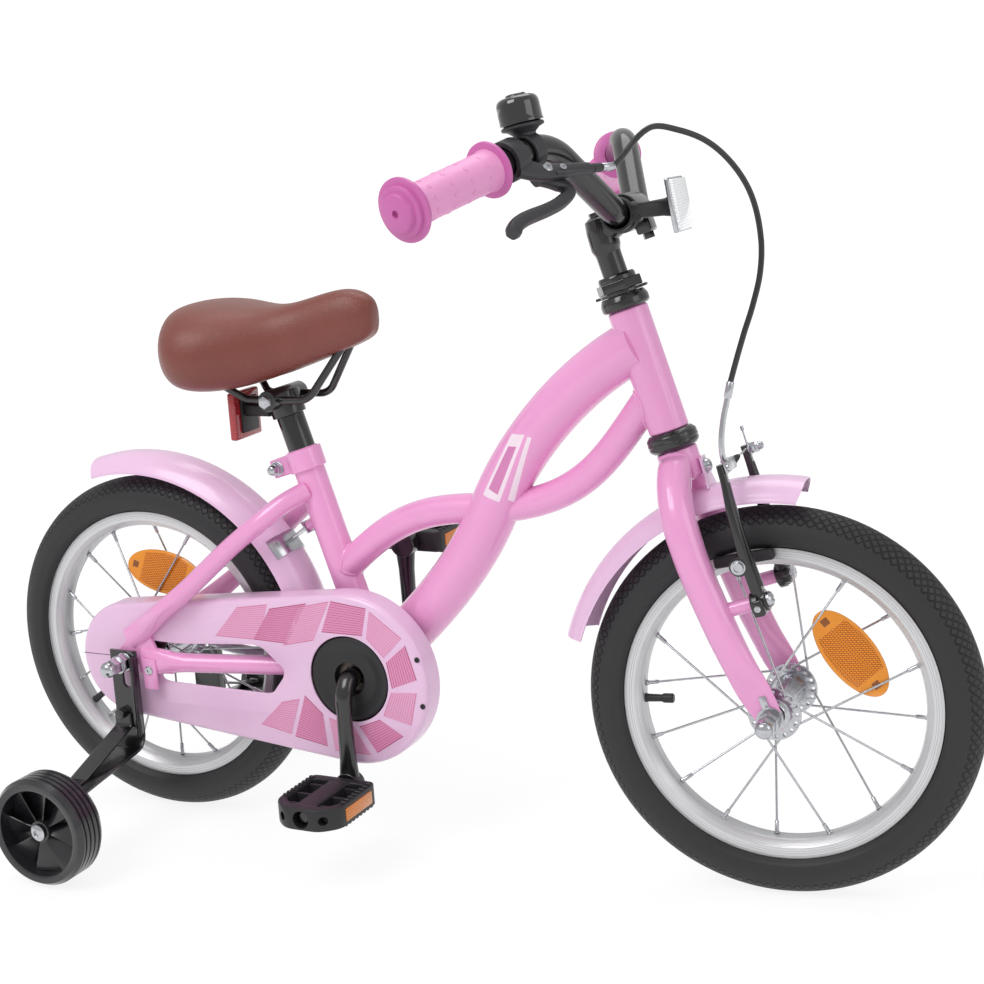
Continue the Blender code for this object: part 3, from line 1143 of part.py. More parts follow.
boot = turned([
    (0.0012, 0.0), (0.0036, 0.0), (0.0042, 0.0030), (0.0036, 0.0110), (0.0024, 0.0190), (0.0012, 0.0190)][::-1],
    boot_low, wire_line, 12)
finish(boot, "brake_boot", BLACK, 0.7, 0.0, right_pivot, steering)
anchor_side = head(ARM_TOP - 0.0040, LINK_AHEAD + WIRE_RADIUS, ARM_TOP_LEFT - 0.0042 - GAP - WIRE_RADIUS)
wire = tube([wire_start, wire_turn, head(0.2068, 0.0476, 0.0300), anchor_side,
             anchor_side + STEER_UP * 0.0080, anchor_side + STEER_UP * 0.0180 + LEFT * 0.0010],
            WIRE_RADIUS, 1)
wire_ball = ball(anchor_side + STEER_UP * 0.0190 + LEFT * 0.0010, 0.0016, 6, 8)
wire = fuse(wire, wire_ball)
finish(wire, "brake_inner_cable", STEEL, 0.3, 1.0, left_pivot, steering)

# Cable housing from the lever to the noodle
cable_start = lever(0.0680, 0.0394, BODY_ABOVE)
cable_out = (cable_start - lever(0.0530, 0.0347, BODY_ABOVE)).normalized()
cable_end = head(*NOODLE_TOP)
cable_in = (head(0.2405, 0.0545, -0.0325) - cable_end).normalized()
route = [cable_start + cable_out * 2 * GAP, cable_start + cable_out * 0.0120,
         Vector((0.542, -0.060, 0.6375)), Vector((0.562, -0.046, 0.635)), Vector((0.583, -0.033, 0.624)),
         Vector((0.601, -0.024, 0.604)), Vector((0.613, -0.020, 0.580)), Vector((0.619, -0.020, 0.549)),
         Vector((0.618, -0.021, 0.522)), Vector((0.612, -0.024, 0.496)), Vector((0.605, -0.027, 0.474)),
         cable_end - cable_in * 0.0150, cable_end - cable_in * GAP]
cable_points = smooth_path(route, 2)
cable_radii = [CABLE_RADIUS] * len(cable_points)
for i in range(3):
    cable_radii[i] = FERRULE_RADIUS
    cable_radii[-1 - i] = FERRULE_RADIUS
housing = tube(cable_points, CABLE_RADIUS, 2, cable_radii)
finish(housing, "brake_cable", "#1A1A1C", 0.4, 0.0, STEER_PIVOT, steering)

# Bottom bracket cups
for side, word in ((-1.0, "right"), (1.0, "left")):
    cup_bore = CRANK_SPINDLE_RADIUS + TURN_GAP
    half_width = BRACKET_WIDTH / 2
    cup = turned([
        (cup_bore, half_width - 0.0120), (BRACKET_BORE - GAP, half_width - 0.0120),
        (BRACKET_BORE - GAP, half_width + GAP), (BRACKET_RADIUS - 0.0015, half_width + GAP),
        (BRACKET_RADIUS - 0.0025, half_width + 0.0030), (0.0150, half_width + 0.0038),
        (cup_bore, half_width + 0.0038)], BRACKET, LEFT * side, 18)
    finish(cup, "bottom_bracket_cup_" + word, STEEL, 0.3, 0.9)


# Crank, chain and sprockets
def sprocket_outline(teeth):
    """Toothed outline with a root and a tip on every tooth."""
    pitch = CHAIN_PITCH / (2 * math.sin(math.pi / teeth))
    points = []
    for k in range(teeth):
        for share, rise in ((-0.11, 0.0022), (0.11, 0.0022), (0.50, -0.0044)):
            a = math.tau * (k + share) / teeth
            points.append(((pitch + rise) * math.cos(a), (pitch + rise) * math.sin(a)))
    return points


FRONT_PITCH = CHAIN_PITCH / (2 * math.sin(math.pi / FRONT_TEETH))
REAR_PITCH = CHAIN_PITCH / (2 * math.sin(math.pi / REAR_TEETH))
spindle_half = CHAIN_LINE + 0.0060


def crank_arm():
    """Left arm of the one-piece crank, reaching up to its pedal spindle."""
    def at(out, up):
        return BRACKET + Vector((0.0, out, up))
    x = AHEAD
    path = [
        (at(CHAIN_LINE + 0.0010, 0.0), x * 0.0064, UP * 0.0064),
        (at(CHAIN_LINE + 0.0090, 0.0004), x * 0.0090, UP * 0.0088),
        (at(CRANK_OFFSET - 0.0075, 0.0040), x * 0.0084, Vector((0.0, -0.0044, 0.0072))),
        (at(CRANK_OFFSET - 0.0015, 0.0130), x * 0.0080, Vector((0.0, -0.0060, 0.0024))),
        (at(CRANK_OFFSET, 0.0280), x * 0.0072, LEFT * -0.0056),
        (at(CRANK_OFFSET, CRANK_LENGTH - 0.0250), x * 0.0078, LEFT * -0.0054),
        (at(CRANK_OFFSET, CRANK_LENGTH - 0.0040), x * 0.0100, LEFT * -0.0058)]
    arm = loft(path, 8, 2.4)
    eye = rod(at(CRANK_OFFSET - 0.0065, CRANK_LENGTH), at(CRANK_OFFSET + 0.0065, CRANK_LENGTH), 0.0125, 14)
    pedal_spindle = rod(at(CRANK_OFFSET, CRANK_LENGTH),
                        at(PEDAL_INNER + PEDAL_WIDTH - 0.0060, CRANK_LENGTH), PEDAL_SPINDLE_RADIUS, 8)
    return fuse(arm, eye, pedal_spindle)


PEDAL_INNER = CRANK_OFFSET + 0.0065 + 0.0025
spindle_rod = rod(BRACKET - LEFT * spindle_half, BRACKET + LEFT * spindle_half, CRANK_SPINDLE_RADIUS, 16)
cone_start = BRACKET_WIDTH / 2 + 0.0038 + GAP
cone_end = CHAIN_LINE - SPROCKET_THICKNESS / 2 - GAP
cones = [rod(BRACKET + LEFT * s * cone_start, BRACKET + LEFT * s * cone_end, 0.0125, 14)
         for s in (-1.0, 1.0)]
left_crank = crank_arm()
right_crank = moved(copied(left_crank), Matrix.Translation(BRACKET) @ Matrix.Rotation(math.pi, 4, "X")
                    @ Matrix.Translation(-BRACKET))
crank = fuse(spindle_rod, left_crank, right_crank, *cones)
finish(crank, "crank", BLACK, 0.3, 0.3, BRACKET)

ring_place = aim(BRACKET - LEFT * CHAIN_LINE, -LEFT, AHEAD)
ring_plate = plate(sprocket_outline(FRONT_TEETH), SPROCKET_THICKNESS, ring_place)
disc_face = REAR_HUB_WIDTH / 2 - 0.0012
disc = turned([
    (0.0120, CHAIN_LINE), (DISC_RADIUS - 0.0060, CHAIN_LINE), (DISC_RADIUS, CHAIN_LINE + 0.0040),
    (DISC_RADIUS, disc_face), (DISC_RADIUS - 0.0040, disc_face + 0.0006), (0.0260, disc_face - 0.0016),
    (0.0150, disc_face), (0.0120, disc_face)],
    BRACKET, -LEFT, 20)
chainring = fuse(ring_plate, disc)
chainring = cut(chainring, rod(BRACKET, BRACKET - LEFT * 0.08, CRANK_SPINDLE_RADIUS + 0.0010, 16),
                rod(BRACKET - LEFT * (CHAIN_LINE + 0.0035), BRACKET - LEFT * 0.08, 0.0150, 16))
finish(chainring, "chainring", "#1B1A1D", 0.3, 0.2, BRACKET)

sprocket_place = aim(REAR_AXLE - LEFT * CHAIN_LINE, -LEFT, AHEAD)
cog = plate(sprocket_outline(REAR_TEETH), SPROCKET_THICKNESS, sprocket_place)
driver = rod(REAR_AXLE - LEFT * (REAR_HUB_END + GAP), REAR_AXLE - LEFT * (CHAIN_LINE + 0.0035), 0.0150, 12)
cog = cut(fuse(cog, driver), rod(REAR_AXLE, REAR_AXLE - LEFT * 0.08, AXLE_RADIUS + TURN_GAP, 16))
finish(cog, "rear_sprocket", STEEL, 0.4, 0.9, REAR_AXLE)

# Chain as one loop of links, waisted between its pins
reach = BRACKET - REAR_AXLE
reach_length = math.hypot(reach.x, reach.z)
lift = math.asin((FRONT_PITCH - REAR_PITCH) / reach_length)
tilt = math.atan2(reach.z, reach.x)
straight = reach_length * math.cos(lift)
front_arc = FRONT_PITCH * (math.pi + 2 * lift)
rear_arc = REAR_PITCH * (math.pi - 2 * lift)
loop_length = 2 * straight + front_arc + rear_arc
link_count = 2 * round(loop_length / CHAIN_PITCH / 2)


def chain_at(distance, offset):
    """Point beside the chain's pitch line, going forward along the top."""
    top = math.pi / 2 + lift + tilt
    low = -math.pi / 2 - lift + tilt
    if distance < straight:
        share = distance / straight
        start = Vector((REAR_PITCH * math.cos(top), REAR_PITCH * math.sin(top)))
        end = Vector((reach.x + FRONT_PITCH * math.cos(top), reach.z + FRONT_PITCH * math.sin(top)))
        normal = Vector((math.cos(top), math.sin(top)))
        return start.lerp(end, share) + normal * offset
    distance -= straight
    if distance < front_arc:
        a = top - distance / FRONT_PITCH
        centre = Vector((reach.x, reach.z))
        return centre + Vector((math.cos(a), math.sin(a))) * (FRONT_PITCH + offset)
    distance -= front_arc
    if distance < straight:
        share = distance / straight
        start = Vector((reach.x + FRONT_PITCH * math.cos(low), reach.z + FRONT_PITCH * math.sin(low)))
        end = Vector((REAR_PITCH * math.cos(low), REAR_PITCH * math.sin(low)))
        normal = Vector((math.cos(low), math.sin(low)))
        return start.lerp(end, share) + normal * offset
    distance -= straight
    a = low - distance / REAR_PITCH
    return Vector((math.cos(a), math.sin(a))) * (REAR_PITCH + offset)


outer_line = []
inner_line = []
for k in range(link_count):
    waist = LINK_HALF_HEIGHT if k % 2 == 0 else LINK_HALF_WAIST
    distance = loop_length * k / link_count
    outer_line.append(tuple(chain_at(distance, waist)))
    inner_line.append(tuple(chain_at(distance, -waist)))
chain = plate(outer_line, CHAIN_WIDTH, sprocket_place, [inner_line])
groove = SPROCKET_THICKNESS + 2 * TURN_GAP
for centre, pitch in ((BRACKET, FRONT_PITCH), (REAR_AXLE, REAR_PITCH)):
    chain = cut(chain, rod(centre - LEFT * (CHAIN_LINE - groove / 2), centre - LEFT * (CHAIN_LINE + groove / 2),
                           pitch + 0.0034, 24))
finish(chain, "chain", "#4A4644", 0.45, 0.9)

# Chain guard
GUARD_FACE = REAR_HUB_WIDTH / 2 - GAP
guard_tail = Vector((-GUARD_TAIL_BACK, -0.0025))
guard_front = Vector((BRACKET.x, BRACKET.z - REAR_AXLE.z - 0.0015))
guard_lift = math.asin((GUARD_FRONT_RADIUS - GUARD_TAIL_RADIUS) / (guard_front - guard_tail).length)


def guard_ring(inset, right):
    """Outline of the guard drawn in by an inset, at a distance to the right."""
    line = circle(GUARD_FRONT_RADIUS - inset, 18, guard_front, -math.pi / 2 - guard_lift,
                  math.pi / 2 + guard_lift, False)
    line += circle(GUARD_TAIL_RADIUS - inset, 11, guard_tail, math.pi / 2 + guard_lift,
                   1.5 * math.pi - guard_lift, False)
    return [REAR_AXLE + Vector((x, -right, z)) for x, z in line]


def guard_solid(rings):
    """Closed solid through rings of points."""
    bm = bmesh.new()
    loops = [[bm.verts.new(p) for p in ring] for ring in rings]
    for low, high in zip(loops, loops[1:]):
        for k in range(len(low)):
            j = (k + 1) % len(low)
            bm.faces.new((low[k], low[j], high[j], high[k]))
    bm.faces.new(loops[0])
    bm.faces.new(loops[-1])
    return from_bmesh(bm)


guard = guard_solid([guard_ring(0.0, GUARD_FACE - GUARD_DEPTH), guard_ring(0.0, GUARD_FACE - GUARD_EDGE),
                     guard_ring(GUARD_EDGE * 0.3, GUARD_FACE - GUARD_EDGE * 0.3),
                     guard_ring(GUARD_EDGE, GUARD_FACE)])
hollow = guard_solid([guard_ring(GUARD_WALL, GUARD_FACE - GUARD_DEPTH - 0.005),
                      guard_ring(GUARD_WALL, GUARD_FACE - GUARD_EDGE),
                      guard_ring(GUARD_EDGE * 0.3 + GUARD_WALL, GUARD_FACE - GUARD_EDGE * 0.3 - GUARD_WALL),
                      guard_ring(GUARD_EDGE + GUARD_WALL * 0.5, GUARD_FACE - GUARD_WALL)])
side_place = aim(REAR_AXLE - LEFT * GUARD_FACE, -LEFT, AHEAD)
window = plate([(0.0215, 0.0170), (0.0270, 0.0188), (0.0560, 0.0182), (0.1380, 0.0245), (0.1480, 0.0225),
                (0.1700, 0.0035), (0.1690, -0.0040), (0.1560, -0.0205), (0.1480, -0.0218),
                (0.0400, -0.0205), (0.0330, -0.0185)], 0.02, side_place)
disc_hole = rod(BRACKET - LEFT * (GUARD_FACE - 0.006), BRACKET - LEFT * (GUARD_FACE + 0.006),
                DISC_RADIUS + 0.0012, 28)
axle_hole = rod(REAR_AXLE - LEFT * (GUARD_FACE - 0.006), REAR_AXLE - LEFT * (GUARD_FACE + 0.006), 0.0115, 14)
guard = cut(guard, hollow, window, disc_hole, axle_hole)
finish(guard, "chain_guard", LIGHT_PINK, 0.22)

# Rear axle, brake arm and stabilisers
PLATE_INNER = BRACKET_PLATE_OFFSET - BRACKET_PLATE / 2
PLATE_OUTER = BRACKET_PLATE_OFFSET + BRACKET_PLATE / 2
DROPOUT_OUTER = REAR_HUB_WIDTH / 2 + DROPOUT_THICKNESS
SPROCKET_END = CHAIN_LINE + 0.0035
ARM_INNER = REAR_HUB_END + 0.0030
ARM_OUTER = ARM_INNER + 0.0030
right_end = axle_side(SPROCKET_END, REAR_HUB_WIDTH / 2, PLATE_OUTER, REAR_TIP, REAR_WASHER_RADIUS)
left_end = axle_side(ARM_OUTER, REAR_HUB_WIDTH / 2, PLATE_OUTER, REAR_TIP, REAR_WASHER_RADIUS)
spacers = [rod(REAR_AXLE + LEFT * side * (DROPOUT_OUTER + GAP), REAR_AXLE + LEFT * side * (PLATE_INNER - GAP),
               0.0085, 12) for side in (-1.0, 1.0)]
left_cone = rod(REAR_AXLE + LEFT * (REAR_HUB_END + GAP), REAR_AXLE + LEFT * (ARM_INNER - GAP), 0.0085, 12)
rear_axle = axle_solid(REAR_AXLE, right_end, left_end, [*spacers, left_cone])
finish(rear_axle, "rear_axle", STEEL, 0.2, 1.0)

ARM_Y = (ARM_INNER + ARM_OUTER) / 2
clip_share = (CLIP_X - 0.1000) / 0.0500
clip_centre = Vector((CLIP_X, 0.0450 - 0.0100 * clip_share, TYRE_RADIUS))
clip_along = Vector((0.0500, -0.0100, 0.0)).normalized()
arm_low = 0.0180
brake_strip = loft([
    (REAR_AXLE + Vector((-0.0100, ARM_Y, 0.0005)), UP * 0.0080, LEFT * 0.0015),
    (REAR_AXLE + Vector((0.0000, ARM_Y, 0.0)), UP * 0.0115, LEFT * 0.0015),
    (REAR_AXLE + Vector((0.0180, ARM_Y, -0.0060)), UP * 0.0085, LEFT * 0.0015),
    (REAR_AXLE + Vector((0.0420, ARM_Y, -0.0150)), UP * 0.0055, LEFT * 0.0015),
    (REAR_AXLE + Vector((0.0750, ARM_Y, -arm_low)), UP * 0.0052, LEFT * 0.0015),
    (REAR_AXLE + Vector((CLIP_X + 0.0060, clip_centre.y + 0.0005, -arm_low)), UP * 0.0050, LEFT * 0.0015)],
    8, 5.0)
clip_ring = rod(clip_centre - clip_along * 0.0060, clip_centre + clip_along * 0.0060, STAY_RADIUS + 0.0020, 16)
clip_ear = box(clip_centre - UP * 0.0160, (0.0120, 0.0066, 0.0140))
clip_bolt = rod(clip_centre - UP * arm_low - LEFT * 0.0060, clip_centre - UP * arm_low + LEFT * 0.0060, 0.0036, 6)
brake_strip = fuse(brake_strip, clip_ring, clip_ear, clip_bolt)
brake_strip = cut(brake_strip, rod(clip_centre - clip_along * 0.02, clip_centre + clip_along * 0.02,
                                   STAY_RADIUS + GAP, 16),
                  rod(REAR_AXLE, REAR_AXLE + LEFT * 0.06, AXLE_RADIUS + GAP, 12))
finish(brake_strip, "coaster_brake_arm", STEEL, 0.35, 0.9)

WHEEL_HEIGHT = STABILISER_RADIUS + STABILISER_LIFT
TAB_Y = STABILISER_TRACK - STABILISER_WIDTH / 2 - 0.0050


def stabiliser_bracket():
    """Left bracket: slotted plate, outward arm, brace and wheel bolt."""
    middle = -0.0024
    half_wide = AHEAD * BRACKET_PLATE_WIDTH / 2
    knee = 0.0820
    corners = [Vector((middle, BRACKET_PLATE_OFFSET, REAR_AXLE.z + 0.0105)),
               Vector((middle, BRACKET_PLATE_OFFSET, knee)),
               Vector((middle, TAB_Y, WHEEL_HEIGHT + 0.0150)),
               Vector((middle, TAB_Y, WHEEL_HEIGHT - 0.0110))]
    line = rounded_path(corners, [0.0140, 0.0060], 3)
    sections = []
    for i, point in enumerate(line):
        run = (line[min(i + 1, len(line) - 1)] - line[max(i - 1, 0)]).normalized()
        sections.append((point, half_wide, run.cross(AHEAD) * BRACKET_PLATE / 2))
    strip = loft(sections, 8, 8.0)
    flange = box(Vector((middle + BRACKET_PLATE_WIDTH / 2 - 0.0015, BRACKET_PLATE_OFFSET + 0.0045,
                         (REAR_AXLE.z + 0.0105 + knee) / 2 + 0.0040)),
                 (0.0030, 0.0090, REAR_AXLE.z - knee - 0.0060), None, 0.0008)
    brace_top = Vector((middle - 0.0060, BRACKET_PLATE_OFFSET + BRACKET_PLATE / 2 + 0.0012, 0.1140))
    slope = (corners[2] - corners[1]).normalized()
    brace_foot = corners[1] + slope * 0.0900 + UP * (BRACKET_PLATE / 2 + 0.0008)
    brace_foot.x = middle - 0.0060
    brace_line = rounded_path([brace_top, brace_top - UP * 0.0130, brace_foot - slope * 0.0120, brace_foot],
                              [0.0050, 0.0050], 2)
    brace_sections = []
    for i, point in enumerate(brace_line):
        run = (brace_line[min(i + 1, len(brace_line) - 1)] - brace_line[max(i - 1, 0)]).normalized()
        brace_sections.append((point, AHEAD * 0.0095, run.cross(AHEAD) * 0.0013))
    brace = loft(brace_sections, 8, 6.0)
    brace_bolt = rod(brace_top - LEFT * 0.0020, brace_top + LEFT * 0.0055, 0.0058, 6)
    foot_bolt = rod(brace_foot - UP * 0.0030, brace_foot + UP * 0.0030, 0.0050, 8)
    bolt_start = Vector((0.0, TAB_Y - 0.0060, WHEEL_HEIGHT))
    wheel_bolt = rod(bolt_start, Vector((0.0, STABILISER_TRACK + 0.0140, WHEEL_HEIGHT)), 0.0040, 12)
    bolt_nut = rod(bolt_start, Vector((0.0, TAB_Y, WHEEL_HEIGHT)), 0.0075, 6)
    bolt_head = rod(Vector((0.0, STABILISER_TRACK + 0.0130, WHEEL_HEIGHT)),
                    Vector((0.0, STABILISER_TRACK + 0.0160, WHEEL_HEIGHT)), 0.0075, 12, 0.0055)
    solid = fuse(strip, flange, brace, brace_bolt, foot_bolt, wheel_bolt, bolt_nut, bolt_head)
    round_end = AXLE_RADIUS + GAP
    slot_line = circle(round_end, 7, (0.0, 0.0), math.pi / 2, 1.5 * math.pi, False)
    slot_line += circle(round_end, 7, (0.0210, 0.0), -math.pi / 2, math.pi / 2, False)
    return cut(solid, plate(slot_line, 0.0120, aim(REAR_AXLE + LEFT * BRACKET_PLATE_OFFSET, LEFT, -UP)))


def stabiliser_wheel():
    """Left stabiliser wheel with a grooved tread and fan-shaped ribs."""
    centre = Vector((0.0, STABILISER_TRACK, WHEEL_HEIGHT))
    half = STABILISER_WIDTH / 2
    bore = 0.0040 + TURN_GAP
    grow = 1.0 / math.cos(math.pi / 16)
    tread = [(STABILISER_RADIUS * grow, -half * 0.72), (STABILISER_RADIUS * grow, half * 0.72)]
    profile = [(bore, -half + 0.0010), (0.0110, -half + 0.0010), (0.0120, -0.0050), (0.0385, -0.0050),
               (0.0405, -half), (0.0470, -half)] + tread
    profile += [(0.0470, half), (0.0415, half), (0.0395, 0.0000), (0.0110, -0.0015), (0.0092, half - 0.0050),
                (bore, half - 0.0050)]
    wheel = turned(profile, centre, LEFT, 16, side=-UP, phase=math.pi / 16)
    ribs = []
    for k in range(8):
        turn = Matrix.Translation(centre) @ Matrix.Rotation(math.tau * k / 8, 4, "Y")
        ribs.append(box(Vector((0.0, 0.0040, 0.0250)), (0.0016, 0.0140, 0.0320), turn))
    return fuse(wheel, *ribs)


left_bracket = stabiliser_bracket()
right_bracket = mirrored(left_bracket)
finish(left_bracket, "stabiliser_bracket_left", "#26252A", 0.35, 0.3)
finish(right_bracket, "stabiliser_bracket_right", "#26252A", 0.35, 0.3)
left_wheel = stabiliser_wheel()
right_wheel = mirrored(left_wheel)
wheel_centre = Vector((0.0, STABILISER_TRACK, WHEEL_HEIGHT))
finish(left_wheel, "stabiliser_wheel_left", "#222024", 0.5, 0.0, wheel_centre)
finish(right_wheel, "stabiliser_wheel_right", "#222024", 0.5, 0.0, Vector((0.0, -STABILISER_TRACK, WHEEL_HEIGHT)))


# Pedals
def pedal():
    """Open block pedal round its spindle, pointing to the left."""
    middle = BRACKET + Vector((0.0, PEDAL_INNER + PEDAL_WIDTH / 2, CRANK_LENGTH))
    body = box(middle, (PEDAL_LENGTH, PEDAL_WIDTH, PEDAL_HEIGHT), None, 0.0035, 1)
    openings = []
    for side in (-1.0, 1.0):
        openings.append(box(middle + AHEAD * side * 0.0165, (0.0190, PEDAL_WIDTH - 0.0160, 0.0400)))
    outer_slot = box(middle + Vector((0.0, PEDAL_WIDTH / 2, 0.0)), (0.0360, 0.0120, 0.0120), None, 0.0030)
    cleats = []
    for side in (-1.0, 1.0):
        for k in range(3):
            cleats.append(box(middle + Vector((side * (PEDAL_LENGTH / 2 - 0.0040),
                                               (k - 1) * 0.0210, 0.0)),
                              (0.0050, 0.0100, PEDAL_HEIGHT + 0.0030)))
    solid = fuse(body, *cleats)
    inner_face = middle - LEFT * PEDAL_WIDTH
    return cut(solid, *openings, outer_slot,
               rod(inner_face, middle + LEFT * (PEDAL_WIDTH / 2 - 0.0050), PEDAL_SPINDLE_RADIUS + TURN_GAP, 10))


left_pedal = pedal()
right_pedal = moved(copied(left_pedal), Matrix.Translation(BRACKET) @ Matrix.Rotation(math.pi, 4, "X")
                    @ Matrix.Translation(-BRACKET))
finish(left_pedal, "pedal_left", BLACK, 0.55, 0.0, BRACKET + Vector((0.0, PEDAL_INNER, CRANK_LENGTH)))
finish(right_pedal, "pedal_right", BLACK, 0.55, 0.0, BRACKET - Vector((0.0, PEDAL_INNER, CRANK_LENGTH)))

# Seat clamp, post and saddle
clamp_radius = SEAT_TUBE_RADIUS + GAP + 0.0026
clamp_ring = rod(seat(-CLAMP_HEIGHT - 0.0010), seat(-0.0010), clamp_radius, 16)
clamp_frame = aim(seat(-0.0010 - CLAMP_HEIGHT / 2), SEAT_UP, SEAT_AHEAD)
clamp_ears = box(Vector((-0.0235, 0.0, 0.0)), (0.0190, 0.0190, CLAMP_HEIGHT - 0.0020), clamp_frame, 0.0020)
seat_clamp = fuse(clamp_ring, clamp_ears)
seat_clamp = cut(seat_clamp, rod(seat(-0.04), seat(0.02), SEAT_TUBE_RADIUS + GAP, 16),
                 box(Vector((-0.0240, 0.0, 0.0)), (0.0300, 0.0026, 0.0400), clamp_frame))
bolt_at = clamp_frame @ Vector((-0.0265, 0.0, 0.0))
clamp_bolt = rod(bolt_at - LEFT * 0.0150, bolt_at + LEFT * 0.0130, 0.0032, 8)
clamp_nut = rod(bolt_at - LEFT * 0.0160, bolt_at - LEFT * 0.0090, 0.0062, 6)
clamp_cap = rod(bolt_at - LEFT * 0.0215, bolt_at - LEFT * 0.0155, 0.0026, 8, 0.0052)
clamp_head = rod(bolt_at + LEFT * 0.0090, bolt_at + LEFT * 0.0140, 0.0058, 8)
seat_clamp = fuse(seat_clamp, clamp_bolt, clamp_nut, clamp_cap, clamp_head)
finish(seat_clamp, "seat_clamp", PINK, 0.3)

post_top = SEAT_STANDOFF + 0.0030
seat_post = rod(seat(-POST_INSERTION), seat(post_top), SEAT_POST_RADIUS, 16)
finish(seat_post, "seat_post", BLACK, 0.35, 0.3, seat(0.0))

clamp_cross = seat(SEAT_STANDOFF + 0.0020)
band = rod(seat(SEAT_STANDOFF - 0.0160), seat(SEAT_STANDOFF + 0.0060), SEAT_POST_RADIUS + 0.0032, 16)
cross = rod(clamp_cross - LEFT * 0.0280, clamp_cross + LEFT * 0.0280, 0.0095, 12)
nuts = rod(clamp_cross - LEFT * 0.0330, clamp_cross + LEFT * 0.0330, 0.0058, 6)
saddle_clamp = fuse(cross, band, nuts)
rail_holes = [rod(clamp_cross + Vector((-0.03, s * RAIL_SPREAD, 0.0)),
                  clamp_cross + Vector((0.03, s * RAIL_SPREAD, 0.0)), RAIL_RADIUS + GAP, 8)
              for s in (-1.0, 1.0)]
saddle_clamp = cut(saddle_clamp, *rail_holes, rod(seat(0.0), seat(post_top + GAP), SEAT_POST_RADIUS + GAP, 16))
finish(saddle_clamp, "saddle_clamp", BLACK, 0.4, 0.2, seat(0.0))

# Saddle sections: place along X, half width, top and underside
saddle_sections = [
    (0.0455, 0.0200, 0.4800, 0.4480), (0.0520, 0.0500, 0.4950, 0.4300), (0.0740, 0.0800, 0.5010, 0.4190),
    (0.1080, 0.0800, 0.5010, 0.4180), (0.1420, 0.0590, 0.4960, 0.4230), (0.1740, 0.0330, 0.4960, 0.4330),
    (0.2080, 0.0255, 0.5050, 0.4440), (0.2420, 0.0225, 0.5130, 0.4560), (0.2650, 0.0150, 0.5040, 0.4660),
    (0.2690, 0.0060, 0.4950, 0.4760)]
cage = bmesh.new()
cage_rings = []
for x, wide, top, low in saddle_sections:
    middle = (top + low) / 2
    tall = (top - low) / 2
    shape = ((0.0, 1.0), (0.62, 0.93), (1.0, 0.34), (1.0, -0.45), (0.68, -1.0), (0.0, -0.86))
    ring_points = [(a * wide, middle + b * tall) for a, b in shape]
    ring_points += [(-a, b) for a, b in ring_points[-2:0:-1]]
    cage_rings.append([cage.verts.new((x, y, z)) for y, z in ring_points])
for low_ring, high_ring in zip(cage_rings, cage_rings[1:]):
    for k in range(len(low_ring)):
        j = (k + 1) % len(low_ring)
        cage.faces.new((low_ring[k], low_ring[j], high_ring[j], high_ring[k]))
cage.faces.new(cage_rings[0])
cage.faces.new(cage_rings[-1])
cushion = from_bmesh(cage, "cage")
rounding = cushion.modifiers.new("Rounding", "SUBSURF")
rounding.levels = 1
rounding.render_levels = 1
cushion = as_mesh(cushion)

base_line = [(0.0800, 0.0440, 0.4290), (0.1080, 0.0520, 0.4285), (0.1420, 0.0400, 0.4330),
             (0.1740, 0.0220, 0.4430), (0.2080, 0.0150, 0.4540), (0.2420, 0.0110, 0.4660)]


def base_slab(grow, drop):
    """Plate under the cushion, optionally grown and deepened downward."""
    sections = []
    for x, wide, level in base_line:
        middle = Vector((x, 0.0, level + grow / 2 - drop / 2))
        sections.append((middle, LEFT * (wide + grow), UP * (0.0022 + grow / 2 + drop / 2)))
    if grow:
        first, last = sections[0], sections[-1]
        sections[0] = (first[0] - AHEAD * grow * 2, first[1], first[2])
        sections[-1] = (last[0] + AHEAD * grow * 2, last[1], last[2])
    if grow:
        return loft(sections, 4, 300.0)
    return loft(sections, 8, 5.0)


cushion = cut(cushion, base_slab(GAP * 2, 0.0300))
finish(cushion, "saddle", "#8A4436", 0.5, 0.0, seat(0.0), None, 60.0)
rails = []
for s in (-1.0, 1.0):
    rail_level = clamp_cross.z
    rails.append(tube(rounded_path([
        Vector((0.1160, s * 0.0300, 0.4272)), Vector((0.1330, s * RAIL_SPREAD, rail_level)),
        Vector((0.1990, s * RAIL_SPREAD, rail_level)), Vector((0.2330, s * 0.0075, 0.4600))],
        [0.0120, 0.0200], 2), RAIL_RADIUS, 1))
saddle_base = fuse(base_slab(0.0, 0.0), *rails)
finish(saddle_base, "saddle_base", BLACK, 0.5, 0.0, seat(0.0))

# Rear reflector
rear_reflector_centre = Vector((0.1170, 0.0, 0.3950))
rear_lens = box(rear_reflector_centre, (0.0080, 0.0420, 0.0440), None, 0.0018)
finish(rear_lens, "rear_reflector", "#B3121C", 0.2, 0.0, seat(0.0))
plate_x = rear_reflector_centre.x + 0.0040 + GAP
hang_end = seat(SEAT_STANDOFF - 0.0060, -SEAT_POST_RADIUS - 0.0032 - GAP)
hang_plate = box(Vector((plate_x + 0.0012, 0.0, rear_reflector_centre.z)), (0.0024, 0.0260, 0.0320), None, 0.0006)
hang_arm = loft([
    (Vector((plate_x + 0.0010, 0.0, hang_end.z)), LEFT * 0.0080, UP * 0.0060),
    (hang_end, LEFT * 0.0080, UP * 0.0060)], 12, 5.0)
hang = cut(fuse(hang_plate, hang_arm),
           rod(seat(0.0), seat(SEAT_STANDOFF + 0.02), SEAT_POST_RADIUS + 0.0032 + GAP, 16))
finish(hang, "rear_reflector_bracket", BLACK, 0.5, 0.0, seat(0.0))
